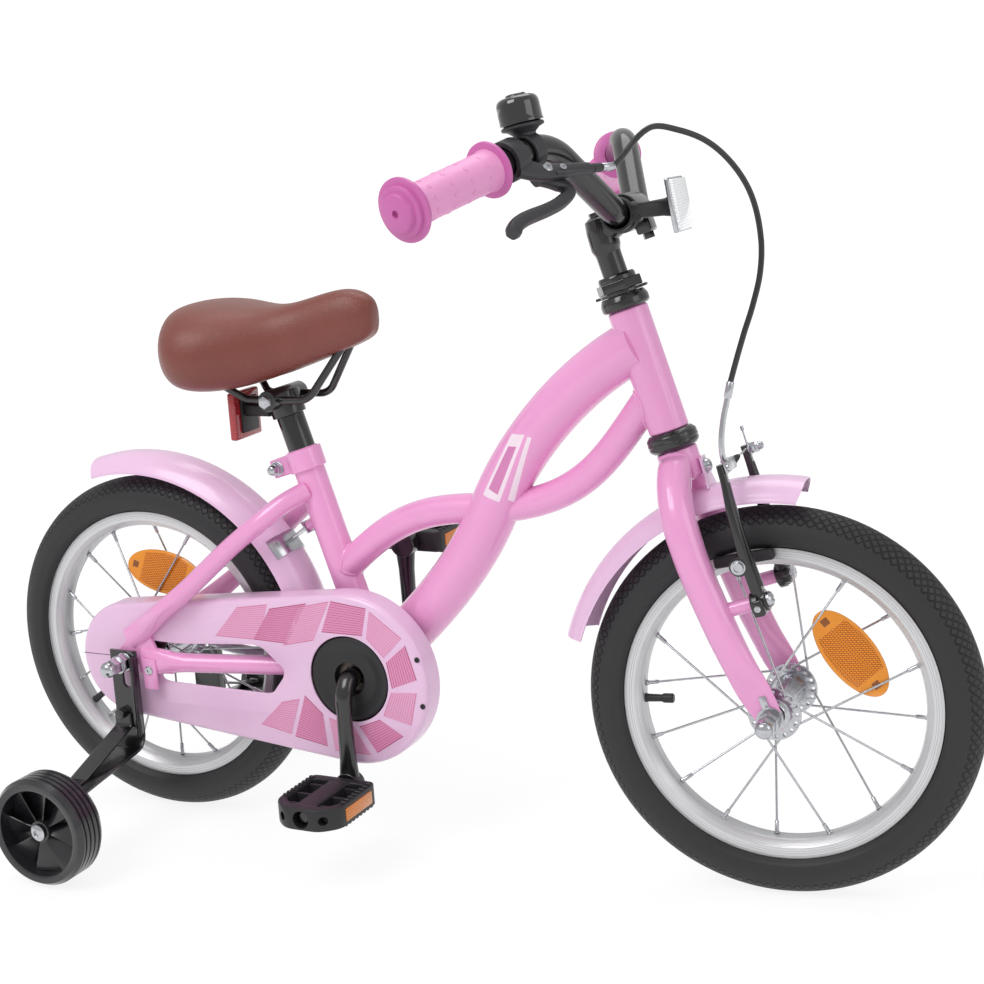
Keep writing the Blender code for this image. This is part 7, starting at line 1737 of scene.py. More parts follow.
@dataclass
class RimBrake:
    """Two sprung arms, pads, the cable's curved end, boot, wire and housing."""

    pivot_out: float = 0.0466
    boss_ahead: float = 0.033
    pad_height: float = 0.1272
    post_ahead: float = 0.0335
    arm_top: float = 0.2085
    arm_top_out: float = 0.0445
    casing_radius: float = 0.0024
    guide: tuple[tuple[float, float, float], ...] = ((0.256, 0.063, -0.03), (0.2405, 0.0545, -0.0325),
        (0.225, 0.048, -0.0345), (0.213, 0.0448, -0.034), (0.2062, 0.0445, -0.03), (0.2045, 0.0445, -0.02))

    def arm(self) -> list[BMesh]:
        """Left arm with its spring box, pivot boss and pad carrier."""
        rows = [(0.0903, 0.0466, 0.0074, 0.0395, 0.005), (0.1063, 0.0476, 0.0074, 0.0395, 0.0052),
            (0.1272, 0.0501, 0.0074, 0.0398, 0.0048), (0.15, 0.0506, 0.007, 0.0405, 0.0044),
            (0.175, 0.0496, 0.0058, 0.0418, 0.0038), (0.193, 0.0465, 0.0054, 0.043, 0.0032),
            (0.2085, 0.0445, 0.005, 0.0434, 0.003)]
        blade = skinned(resampled([(LAY.head(t, s, y), LEFT * wide, LAY.steer_ahead * thick)
            for t, y, wide, s, thick in rows], 5), 28, 3.4)
        low, out = LAY.boss_height, self.pivot_out
        hub = plain_ring(0.0088, 0.0043, (0.0, 0.012), 0.0008,
            aim(LAY.head(low, self.boss_ahead, out), LAY.steer_ahead), 36)
        spring = rod(LAY.head(low - 0.001, self.boss_ahead, out + 0.003),
            LAY.head(low - 0.001, self.boss_ahead + 0.0065, out + 0.003), 0.0105, 36, bevel=0.0008)
        carrier = rod(LAY.head(self.pad_height, self.post_ahead, out - 0.0045),
            LAY.head(self.pad_height, self.post_ahead, out + 0.01), 0.008, 32, bevel=0.0008)
        rib = skinned(resampled([(LAY.head(t, s + thick * 0.8, y), LEFT * wide * 0.42,
            LAY.steer_ahead * thick * 0.45) for t, y, wide, s, thick in rows[1:-1]], 4), 16, 3.0)
        box = block(ORIGIN, (0.015, 0.014, 0.01), aim(LAY.head(low - 0.003, self.boss_ahead + 0.0052,
            out + 0.006), LAY.steer_ahead, LEFT), 0.0022, 3)
        return [blade, hub, spring, carrier, rib, box]

    def build(self, shop: Workshop) -> None:
        """Make the brake and its cable."""
        head, up, ahead = LAY.head, LAY.steer_up, LAY.steer_ahead
        top, out = self.arm_top - 0.004, self.arm_top_out
        left = self.arm()
        right = [mirrored(b) for b in left]
        anchor = [rod(head(top, 0.043, out), head(top, 0.056, out), 0.0036, 24),
            rod(head(top, 0.0465, out), head(top, 0.0475, out), 0.0058, 28),
            rod(head(top, 0.0478, out), head(top, 0.055, out), 0.0046, 6, bevel=0.0003),
            turned([(0.0038, 0.0), (0.0037, 0.0022), (0.0026, 0.004), (0.0, 0.0048)],
            aim(head(top, 0.0548, out), ahead), 24)]
        screw = turned([(0.0, -0.002), (0.0026, -0.002), (0.0026, 0.0008), (0.0012, 0.001), (0.0011, 0.0002),
            (0.0, 0.0002)], aim(head(LAY.boss_height - 0.003, self.boss_ahead + 0.0052,
            self.pivot_out + 0.0136), LEFT), 20)
        screws = dressed(PLATED_STEEL, mirrored(screw), screw)
        shop.piece("caliper_arm_left", dressed(BLACK_ENAMEL, *left) + dressed(PLATED_STEEL, *anchor)
            + screws[1:], "brake_arm_left", place=LAY.turn)
        shop.piece("caliper_arm_right", dressed(BLACK_ENAMEL, *right) + screws[:1], "brake_arm_right",
            place=LAY.turn)
        pad_in = LAY.rim_half + 0.0016
        radial = (head(self.pad_height, 0.03) - LAY.front_axle).normalized()
        place = aim(head(self.pad_height, 0.03, pad_in + 0.00475), LEFT, radial)
        pad = block(ORIGIN, (0.009, 0.05, 0.0095), place, 0.002, 3)
        slots = [block(Vector((0.0, y, -0.0045)), (0.01, 0.0012, 0.002), place, 0.0002)
            for y in (-0.012, 0.0, 0.012)]
        pad = carved(pad, slots)
        h, s = self.pad_height, self.post_ahead
        metal = [rod(head(h, s, pad_in + 0.0075), head(h, s, self.pivot_out + 0.014), 0.003, 24),
            turned([(0.003, 0.0), (0.0064, 0.0), (0.007, 0.0016), (0.0062, 0.0036), (0.007, 0.0052),
            (0.0068, 0.0072), (0.003, 0.0072)], aim(head(h, s, pad_in + 0.0085), LEFT), 32),
            turned([(0.0, 0.0), (0.006, 0.0), (0.006, 0.0012), (0.005, 0.0014), (0.0048, 0.0052),
            (0.0028, 0.0052), (0.0026, 0.0026), (0.0, 0.0026)],
            aim(head(h, s, self.pivot_out + 0.0103), LEFT), 28)]
        shop.piece("brake_block_right", [(mirrored(pad), PAD_RUBBER)]
            + dressed(PLATED_STEEL, *map(mirrored, metal)), "brake_pad_right", place=LAY.turn)
        shop.piece("brake_block_left", [(pad, PAD_RUBBER)] + dressed(PLATED_STEEL, *metal), "brake_pad_left",
            place=LAY.turn)
        link = 0.0434 + 0.003 + GAP
        noodle = bar(smooth_line([head(*spot) for spot in self.guide]), self.casing_radius, 20)
        plate = block(ORIGIN, (0.034, 0.009, 0.0018), aim(head(0.2045, link + 0.0009, -0.032), ahead, LEFT),
            0.0006)
        knuckle = block(ORIGIN, (0.009, 0.01, 0.0098), aim(head(0.2045, link - 0.0034, -0.02), ahead, LEFT),
            0.0014, 3)
        rivet = rod(head(0.2045, link, -0.044), head(0.2045, link + 0.0034, -0.044), 0.0034, 24, bevel=0.0004)
        shop.piece("cable_guide", dressed(PLATED_STEEL, noodle, plate, knuckle, rivet), "brake_noodle",
            place=LAY.turn)
        wire_from, wire_bend = head(0.2045, 0.0445, -0.0152), head(0.206, 0.0474, 0.015)
        way = (wire_bend - wire_from).normalized()
        folds = [(0.0012, 0.0), (0.0036, 0.0)]
        for k in range(6):
            r = 0.0041 - 0.0003 * k
            folds += [(r, 0.0014 + 0.0028 * k), (r - 0.001, 0.0028 + 0.0028 * k)]
        folds += [(0.002, 0.019), (0.0012, 0.019)]
        boot = turned(soften(folds, 0.0004), aim(wire_from + way * 0.0006, way), 32, True)
        shop.piece("ribbed_boot", [(boot, PAD_RUBBER)], "brake_boot", place=LAY.turn, crease=60.0)
        side = head(top, link + 0.0008, out - 0.0042 - GAP - 0.0008)
        wire = bar([wire_from, wire_bend, head(0.2068, 0.0476, 0.03), side, side + up * 0.008,
            side + up * 0.018 + LEFT * 0.001], 0.0008, 12)
        crimp = rod(side + up * 0.0165 + LEFT * 0.0008, side + up * 0.0206 + LEFT * 0.0012, 0.0015, 16,
            bevel=0.0003)
        shop.piece("bare_wire", [(wire, PLATED_STEEL), (crimp, PLATED_STEEL)], "brake_inner_cable",
            place=LAY.turn)
        self.housing(shop)

    def housing(self, shop: Workshop) -> None:
        """Outer casing of the cable with a ferrule at each end."""
        before, start = Cockpit().cable_exit()
        out = (start - before).normalized()
        end, inner = (LAY.head(*spot) for spot in self.guide[:2])
        inward = (inner - end).normalized()
        route = [start + out * 0.0006, start + out * 0.012, Vector((0.542, -0.06, 0.6375)),
            Vector((0.562, -0.046, 0.635)), Vector((0.583, -0.033, 0.624)), Vector((0.601, -0.024, 0.604)),
            Vector((0.613, -0.02, 0.58)), Vector((0.619, -0.02, 0.549)), Vector((0.618, -0.021, 0.522)),
            Vector((0.612, -0.024, 0.496)), Vector((0.605, -0.027, 0.474)), end - inward * 0.015,
            end - inward * GAP]
        casing = bar(smooth_line(route)[3:-3], self.casing_radius, 20)
        caps = [turned([(0.0, 0.0), (0.003, 0.0), (0.0033, 0.0005), (0.0033, long - 0.001), (0.0028, long),
            (0.0, long)], aim(foot, way), 24) for foot, way, long
            in ((route[0], out, 0.012), (route[-1], -inward, 0.013))]
        shop.piece("cable_casing", [(casing, CABLE_JACKET)] + dressed(PLATED_STEEL, *caps), "brake_cable",
            place=LAY.turn)


@dataclass
class Drive:
    """Cranks, chainring, chain, sprocket, guard, pedals and bracket cups."""

    pitch: float = 0.0127
    front_teeth: int = 28
    rear_teeth: int = 16
    line: float = 0.0425
    length: float = 0.0955
    arm_out: float = 0.065
    pedal_in: float = 0.074

    def radius(self, teeth: int) -> float:
        """Radius of the chain's pins round a sprocket."""
        return self.pitch / (2 * math.sin(math.pi / teeth))

    def teeth(self, count: int) -> list[Pair]:
        """Outline of a sprocket with a round root and tip on every tooth."""
        r = self.radius(count)
        line = []
        for k in range(count):
            for share, rise in ((-0.16, 0.001), (-0.09, 0.0026), (0.0, 0.003), (0.09, 0.0026), (0.16, 0.001),
                    (0.3, -0.0034), (0.4, -0.0044), (0.5, -0.0047), (0.6, -0.0044), (0.7, -0.0034)):
                a = math.tau * (k + share) / count
                line.append(((r + rise) * math.cos(a), (r + rise) * math.sin(a)))
        return line

    def crank_arm(self, side: float) -> list[BMesh]:
        """One arm of the one-piece crank. The right one hangs down."""
        b = LAY.bracket

        def at(out: float, rise: float) -> Vector:
            """Point of the arm, out from the centre plane and along it."""
            return b + Vector((0.0, side * out, side * rise))

        rows = [(at(0.0435, 0.0), AHEAD * 0.0064, UP * 0.0064),
            (at(0.0515, 0.0004), AHEAD * 0.009, UP * 0.0088),
            (at(0.0575, 0.004), AHEAD * 0.0084, Vector((0.0, -0.0044, 0.0072))),
            (at(0.0635, 0.013), AHEAD * 0.008, Vector((0.0, -0.006, 0.0024))),
            (at(self.arm_out, 0.028), AHEAD * 0.0072, LEFT * -0.0056),
            (at(self.arm_out, self.length - 0.025), AHEAD * 0.0078, LEFT * -0.0054),
            (at(self.arm_out, self.length - 0.004), AHEAD * 0.01, LEFT * -0.0058)]
        arm = skinned(resampled(rows), 28, 2.4)
        eye = turned(soften([(0.0, -0.0065), (0.0125, -0.0065), (0.0125, 0.0065), (0.0, 0.0065)], 0.0012,
            False), aim(at(self.arm_out, self.length), LEFT), 40)
        spindle = rod(at(self.arm_out, self.length), at(self.pedal_in + 0.07, self.length), 0.0045, 24)
        return [arm, eye, spindle]

    def cranks(self, shop: Workshop) -> None:
        """Spindle, both arms and the bearing cones."""
        b = LAY.bracket
        parts = [rod(b - LEFT * 0.0485, b + LEFT * 0.0485, 0.0085, 36)]
        for s in (-1.0, 1.0):
            parts.append(rod(b + LEFT * s * 0.0381, b + LEFT * s * 0.0411, 0.0125, 36))
            parts += self.crank_arm(s)
        shop.piece("forged_cranks", dressed(BLACK_ENAMEL, *parts), "crank")

    def sprockets(self, shop: Workshop) -> None:
        """Chainring with its cover disc, and the rear sprocket."""
        b = LAY.bracket
        place = aim(b - LEFT * self.line, -LEFT, AHEAD)
        ring = sheet_metal(self.teeth(self.front_teeth), 0.0022, place, [circle(0.0095, 32)], edge=0.0003)
        disc = turned(soften([(0.0152, 0.046), (0.0152, 0.0518), (0.026, 0.0502), (0.033, 0.052),
            (0.035, 0.0524), (0.0384, 0.0518), (0.039, 0.0508), (0.039, 0.0465), (0.033, 0.0425),
            (0.0152, 0.0425)], 0.001), aim(b, -LEFT), 72, True)
        shop.piece("chainring_disc", [(ring, DARK_STEEL), (disc, BLACK_NYLON)], "chainring")
        cog = sheet_metal(self.teeth(self.rear_teeth), 0.0022,
            aim(LAY.rear_axle - LEFT * self.line, -LEFT, AHEAD), [circle(0.0053, 32)], edge=0.0003)
        driver = plain_ring(0.015, 0.0053, (0.0373, 0.046), 0.0008, aim(LAY.rear_axle, -LEFT), 40)
        shop.piece("rear_cog", [(cog, DARK_STEEL), (driver, PLATED_STEEL)], "rear_sprocket")

    def route(self) -> list[tuple[Vector, Vector]]:
        """Pin places and directions round the whole chain."""
        front, rear = self.radius(self.front_teeth), self.radius(self.rear_teeth)
        reach = LAY.bracket - LAY.rear_axle
        distance = math.hypot(reach.x, reach.z)
        lift, tilt = math.asin((front - rear) / distance), math.atan2(reach.z, reach.x)
        straight = distance * math.cos(lift)
        arc, tail = front * (math.pi + 2 * lift), rear * (math.pi - 2 * lift)
        total = 2 * straight + arc + tail
        count = 2 * round(total / self.pitch / 2)
        top, low = math.pi / 2 + lift + tilt, -math.pi / 2 - lift + tilt
        pins = []
        for k in range(count):
            d = total * k / count
            if d < straight:
                a = top
                foot = Vector((rear * math.cos(a), rear * math.sin(a)))
                run = Vector((math.sin(a), -math.cos(a)))
                spot = foot + run * d
            elif d < straight + arc:
                a = top - (d - straight) / front
                spot = Vector((reach.x, reach.z)) + Vector((math.cos(a), math.sin(a))) * front
            elif d < 2 * straight + arc:
                a = low
                foot = Vector((reach.x + front * math.cos(a), reach.z + front * math.sin(a)))
                spot = foot + Vector((math.sin(a), -math.cos(a))) * (d - straight - arc)
            else:
                a = low - (d - 2 * straight - arc) / rear
                spot = Vector((rear * math.cos(a), rear * math.sin(a)))
            pins.append(spot)
        return [(LAY.rear_axle + Vector((p.x, -self.line, p.y)), Vector((q.x - p.x, 0.0, q.y - p.y)))
            for p, q in zip(pins, pins[1:] + pins[:1])]

    def chain(self, shop: Workshop) -> None:
        """Rollers, pins and pairs of waisted plates."""
        shells = []
        for k, (pin, run) in enumerate(self.route()):
            out = 0.0032 if k % 2 else 0.0022
            place = aim(pin, -LEFT, run)
            long = run.length
            waist = circle(0.004, 7, (0.0, 0.0), math.radians(60), math.radians(300), False)
            waist += [(long / 2, -0.0029)] + circle(0.004, 7, (long, 0.0), math.radians(-120),
                math.radians(120), False)
            waist += [(long / 2, 0.0029)]
            for s in (-1.0, 1.0):
                shells.append((sheet_metal(waist, 0.0009, place @ Matrix.Translation((0.0, 0.0, s * out))),
                    DARK_STEEL))
            shells.append((rod(pin - LEFT * 0.0037, pin + LEFT * 0.0037, 0.0017, 8), DARK_STEEL))
            shells.append((rod(pin - LEFT * 0.0018, pin + LEFT * 0.0018, 0.0037, 12), DARK_STEEL))
        shop.piece("roller_chain", shells, "chain")

    def guard(self, shop: Workshop) -> None:
        """Moulded chain guard with its window, and a plain printed pattern."""
        face = 0.0527
        tail, front = Vector((-0.005, -0.0025)), Vector((LAY.bracket_x,
            LAY.bracket_z - LAY.tyre_radius - 0.0015))
        lift = math.asin((0.0795 - 0.055) / (front - tail).length)

        def ring(inset: float) -> list[Pair]:
            """Outline of the guard, moved inward."""
            line = circle(0.0795 - inset, 60, tuple(front), -math.pi / 2 - lift, math.pi / 2 + lift, False)
            return line + circle(0.055 - inset, 40, tuple(tail), math.pi / 2 + lift, 1.5 * math.pi - lift,
                False)

        window = soften([(0.0215, 0.017), (0.027, 0.0188), (0.056, 0.0182), (0.138, 0.0245), (0.148, 0.0225),
            (0.17, 0.0035), (0.169, -0.004), (0.156, -0.0205), (0.148, -0.0218), (0.04, -0.0205),
            (0.033, -0.0185)], 0.006)
        disc = circle(0.0402, 72, (LAY.bracket_x, LAY.bracket_z - LAY.tyre_radius))
        axle = circle(0.0115, 40)
        place = aim(LAY.rear_axle - LEFT * (face - 0.0009), -LEFT, AHEAD)
        plate = sheet_metal(ring(0.0044), 0.0018, place, [window, disc, axle], edge=0.0004)
        rows = ((0.0048, 0.0), (0.0032, 0.0004), (0.0016, 0.0014), (0.0004, 0.0031), (0.0, 0.0052),
            (0.0, 0.024), (0.0018, 0.024), (0.0018, 0.0054), (0.003, 0.0032), (0.0048, 0.0018))
        rim = hooped([[LAY.rear_axle + Vector((x, back - face, z)) for x, z in ring(inset)]
            for inset, back in rows])
        shells = [(plate, PINK_SOFT), (rim, PINK_SOFT)]
        # Black strip painted as the shadow inside the slit at the guard's tail
        slit = block(LAY.rear_axle + Vector((-0.039, -face, 0.0)), (0.04, 0.0004, 0.0006), None, 0.0001, 1)
        shells.append((slit, BLACK_NYLON))
        for x, z in ((0.31, 0.0247), (0.3124, -0.0181)):
            spot = LAY.rear_axle + Vector((x, -face + 0.0002, z))
            shells.append((turned([(0.0, 0.0), (0.0026, 0.0), (0.0024, 0.0007), (0.001, 0.0009),
                (0.0008, 0.0003), (0.0, 0.0003)], aim(spot, -LEFT), 20), BLACK_NYLON))
        shop.piece("chain_guard_shell", shells, "chain_guard")
        self.pattern(shop, place)

    def pattern(self, shop: Workshop, place: Matrix) -> None:
        """Wreath of overlapping facets with fine hatching, printed round the disc."""
        inks = ((INK_BLUSH, INK_ROSE), (INK_PETAL, INK_WINE))
        facets = (((0.098, 0.03), (0.124, 0.0585), (0.158, 0.064), (0.146, 0.03)),
            ((0.14, 0.03), (0.16, 0.06), (0.2, 0.068), (0.176, 0.029)),
            ((0.172, 0.027), (0.192, 0.064), (0.224, 0.0715), (0.205, 0.0345)),
            ((0.214, 0.043), (0.226, 0.072), (0.262, 0.068), (0.256, 0.043)),
            ((0.26, 0.041), (0.265, 0.0655), (0.296, 0.043), (0.277, 0.024)),
            ((0.279, 0.02), (0.299, 0.037), (0.308, 0.006), (0.283, -0.004)),
            ((0.282, -0.008), (0.307, -0.006), (0.299, -0.037), (0.272, -0.031)),
            ((0.268, -0.035), (0.29, -0.048), (0.262, -0.0665), (0.246, -0.044)),
            ((0.24, -0.045), (0.255, -0.069), (0.218, -0.069), (0.214, -0.039)),
            ((0.208, -0.036), (0.21, -0.066), (0.176, -0.06), (0.19, -0.02)),
            ((0.184, -0.024), (0.172, -0.058), (0.14, -0.052), (0.164, -0.029)))
        shells = []
        for layer, (a, b, c, d) in enumerate(facets):
            paint, ink = inks[layer % 2]
            lift = place @ Matrix.Translation((0.0, 0.0, 0.00095 + 0.00001 * layer))
            shells.append((sheet_metal([a, b, c, d], 0.0002, lift), paint))
            a, b, c, d = (Vector(v) for v in (a, b, c, d))
            count = max(4, round(max((b - a).length, (c - d).length) / 0.0026))
            for k in range(count + 1):
                start, end = a.lerp(b, k / count), d.lerp(c, k / count)
                half = (end - start).orthogonal().normalized() * (0.00036 if k in (0, count) else 0.00016)
                line = [tuple(v) for v in (start - half, end - half, end + half, start + half)]
                shells.append((sheet_metal(line, 0.0002, lift @ Matrix.Translation((0.0, 0.0, 0.0001))), ink))
        shop.piece("guard_print", shells, "chain_guard", replace=False)

    def pedal(self, shop: Workshop, side: Side) -> None:
        """Open block pedal with saw-toothed edges and amber reflectors."""
        s = side.value
        width, long, high = 0.076, 0.066, 0.022
        middle = LAY.bracket + Vector((0.0, s * (self.pedal_in + width / 2), s * self.length))
        place = Matrix.Translation(middle)
        y = width / 2
        corners = [(-long / 2, -y * s), (long / 2, -y * s), (long / 2, y * 0.62 * s), (long * 0.26, y * s),
            (-long * 0.26, y * s), (-long / 2, y * 0.62 * s)]
        wells = [soften([(e * 0.01, -0.029 * s), (e * 0.0262, -0.029 * s), (e * 0.0262, 0.017 * s),
            (e * 0.017, 0.027 * s), (e * 0.01, 0.027 * s)], 0.004) for e in (-1.0, 1.0)]
        frame = sheet_metal(soften(corners, 0.008), high - 0.002, place, wells, 0.0014)
        ports = [rod(middle + LEFT * s * 0.02, middle + LEFT * s * 0.05, 0.0078, 28)]
        for e in (-1.0, 1.0):
            ports.append(rod(middle + Vector((e * 0.019, s * 0.024, 0.0)),
                middle + Vector((e * 0.023, s * 0.05, 0.0)), 0.004, 20))
        body = [carved(frame, ports)]
        for e in (-1.0, 1.0):
            for k in range(3):
                body.append(block(Vector((e * 0.0165, (k - 1) * 0.021, 0.0)), (0.03, 0.003, high - 0.006),
                    place, 0.0008))
            for k in range(8):
                for v in (-1.0, 1.0):
                    foot = Vector((e * (long / 2 - 0.0036), s * (-0.03 + k * 0.0062), v * (high / 2 - 0.001)))
                    body.append(block(foot, (0.005, 0.003, 0.003), place, 0.0007, 1))
        lenses = [block(Vector((e * (long / 2 - 0.0002), -0.006 * s, 0.0)), (0.002, 0.044, 0.012), place,
            0.0008) for e in (-1.0, 1.0)]
        shop.piece("pedal_block_" + side.word, dressed(BLACK_NYLON, *body) + dressed(AMBER_LENS, *lenses),
            "pedal_" + side.word)

    def cups(self, shop: Workshop) -> None:
        """Bearing cups of the bottom bracket."""
        for side in Side:
            rows = soften([(0.009, 0.022), (0.0222, 0.022), (0.0222, 0.0343), (0.024, 0.0343),
                (0.023, 0.037), (0.015, 0.0378), (0.009, 0.0378)], 0.0008)
            shop.piece("bearing_cup_" + side.word, [(turned(rows, aim(LAY.bracket, LEFT * side.value), 48,
                True), PLATED_STEEL)], "bottom_bracket_cup_" + side.word)

    def build(self, shop: Workshop) -> None:
        """Make the whole drive."""
        self.cranks(shop)
        self.sprockets(shop)
        self.chain(shop)
        self.guard(shop)
        self.cups(shop)
        for side in Side:
            self.pedal(shop, side)


@dataclass
class Stabiliser:
    """One stabiliser: slotted plate, brace, bolt and wheel."""

    side: Side
    radius: float = 0.0504
    lift: float = 0.002
    track: float = 0.199
    width: float = 0.034
    plate_out: float = 0.064

    def bracket(self) -> tuple[list[BMesh], list[BMesh]]:
        """Left bracket, as painted shells and plated ones."""
        middle, knee, axle_z = -0.0024, 0.082, LAY.tyre_radius
        tab, height = self.track - self.width / 2 - 0.005, self.radius + self.lift
        corners = [Vector((middle, self.plate_out, axle_z + 0.0105)), Vector((middle, self.plate_out, knee)),
            Vector((middle, tab, height + 0.015)), Vector((middle, tab, height - 0.011))]
        line = rounded_line(corners, [0.014, 0.006], 8)
        strip = skinned(strap_sections(line, 0.015, 0.0015), 40, 9.0)
        slot = circle(0.0051, 16, (0.0, 0.0), math.pi / 2, 1.5 * math.pi, False)
        slot += circle(0.0051, 16, (0.021, 0.0), -math.pi / 2, math.pi / 2, False)
        strip = carved(strip, [sheet_metal(slot, 0.012, aim(LAY.rear_axle + LEFT * self.plate_out, LEFT,
            -UP))])
        flange = block(Vector((middle + 0.0135, self.plate_out + 0.0045,
            (axle_z + 0.0105 + knee) / 2 + 0.004)), (0.003, 0.009, axle_z - knee - 0.006), None, 0.001)
        top = Vector((middle - 0.006, self.plate_out + 0.0027, 0.114))
        slope = (corners[2] - corners[1]).normalized()
        foot = corners[1] + slope * 0.09 + UP * 0.0023
        foot.x = middle - 0.006
        brace_line = rounded_line([top, top - UP * 0.013, foot - slope * 0.012, foot], [0.005, 0.005], 6)
        brace = skinned(strap_sections(brace_line, 0.0095, 0.0013), 28, 6.0)
        painted = [strip, flange, brace, rod(top - LEFT * 0.002, top + LEFT * 0.0055, 0.0058, 6,
            bevel=0.0005), rod(foot - UP * 0.003, foot + UP * 0.003, 0.005, 24, bevel=0.0005)]
        start = Vector((0.0, tab - 0.006, height))
        end = Vector((0.0, self.track + 0.013, height))
        plated = [rod(start, end, 0.004, 28), rod(start, Vector((0.0, tab, height)), 0.0075, 6,
            bevel=0.0004), turned([(0.0, 0.0), (0.0078, 0.0), (0.0076, 0.0014), (0.0052, 0.0028),
            (0.003, 0.0031), (0.0028, 0.0014), (0.0, 0.0014)], aim(end, LEFT), 36)]
        return painted, plated

    def wheel(self) -> list[BMesh]:
        """Left wheel with a grooved tread and fan-shaped ribs."""
        half, r = self.width / 2, self.radius
        tread = [(0.047, -half), (r - 0.0012, -half * 0.8), (r, -half * 0.7)]
        for k in range(4):
            y = -half * 0.7 + (k + 0.5) * half * 1.4 / 4
            tread += [(r, y - 0.001), (r - 0.0016, y - 0.0004), (r - 0.0016, y + 0.0004), (r, y + 0.001)]
        tread += [(r, half * 0.7), (r - 0.0012, half * 0.8), (0.047, half)]
        rows = [(0.0045, -half + 0.001), (0.011, -half + 0.001), (0.012, -0.005), (0.0385, -0.005),
            (0.0405, -half)] + tread + [(0.0425, half), (0.0405, half - 0.001), (0.0395, 0.0),
            (0.011, -0.0015), (0.01, half - 0.006), (0.0045, half - 0.005)]
        centre = Vector((0.0, self.track, r + self.lift))
        shells = [turned(rows, aim(centre, LEFT), 96, True)]
        for k in range(8):
            turn = Matrix.Translation(centre) @ Matrix.Rotation(math.tau * k / 8, 4, "Y")
            stations = []
            for far in (0.009, 0.02, 0.03, 0.0392):
                wide = AHEAD * 0.3 * far + LEFT * 0.0042
                stations.append((Vector((0.0, 0.005, far)), wide, wide.cross(UP).normalized() * 0.0009))
            rib = skinned(resampled(stations, 4), 16, 5.0)
            bmesh.ops.transform(rib, matrix=turn, verts=rib.verts)
            shells.append(rib)
        return shells

    def build(self, shop: Workshop) -> None:
        """Make this side's stabiliser."""
        painted, plated = self.bracket()
        wheel = self.wheel()
        if self.side is Side.RIGHT:
            painted, plated, wheel = ([mirrored(b) for b in group] for group in (painted, plated, wheel))
        word = self.side.word
        shop.piece("stabiliser_arm_" + word, dressed(BLACK_ENAMEL, *painted)
            + dressed(PLATED_STEEL, *plated), "stabiliser_bracket_" + word)
        shop.piece("stabiliser_roller_" + word, dressed(WHEEL_PLASTIC, *wheel), "stabiliser_wheel_" + word)


@dataclass
class CoasterArm:
    """Strap that holds the coaster brake to the left chain stay."""

    clip_x: float = 0.118

    def build(self, shop: Workshop) -> None:
        """Make the strap and its clip."""
        y = 0.037 + 0.003 + 0.0015
        axle = LAY.rear_axle
        share = (self.clip_x - 0.1) / 0.05
        clip = Vector((self.clip_x, 0.045 - 0.01 * share, LAY.tyre_radius))
        along = Vector((0.05, -0.01, 0.0)).normalized()
        rows = [(axle + Vector((-0.01, y, 0.0005)), UP * 0.008, LEFT * 0.0015),
            (axle + Vector((0.0, y, 0.0)), UP * 0.0115, LEFT * 0.0015),
            (axle + Vector((0.018, y, -0.006)), UP * 0.0085, LEFT * 0.0015),
            (axle + Vector((0.042, y, -0.015)), UP * 0.0055, LEFT * 0.0015),
            (axle + Vector((0.075, y, -0.018)), UP * 0.0052, LEFT * 0.0015),
            (axle + Vector((self.clip_x + 0.006, clip.y + 0.0005, -0.018)), UP * 0.005, LEFT * 0.0015)]
        strip = skinned(resampled(rows, 5), 24, 6.0)
        ring = plain_ring(0.011, 0.0093, (-0.006, 0.006), 0.0004, aim(clip, along), 40)
        ear = block(clip - UP * 0.016, (0.012, 0.0066, 0.014), None, 0.001)
        bolt = rod(clip - UP * 0.018 - LEFT * 0.006, clip - UP * 0.018 + LEFT * 0.006, 0.0036, 6,
            bevel=0.0003)
        shop.piece("coaster_strap", dressed(PLATED_STEEL, strip, ring, ear, bolt), "coaster_brake_arm")


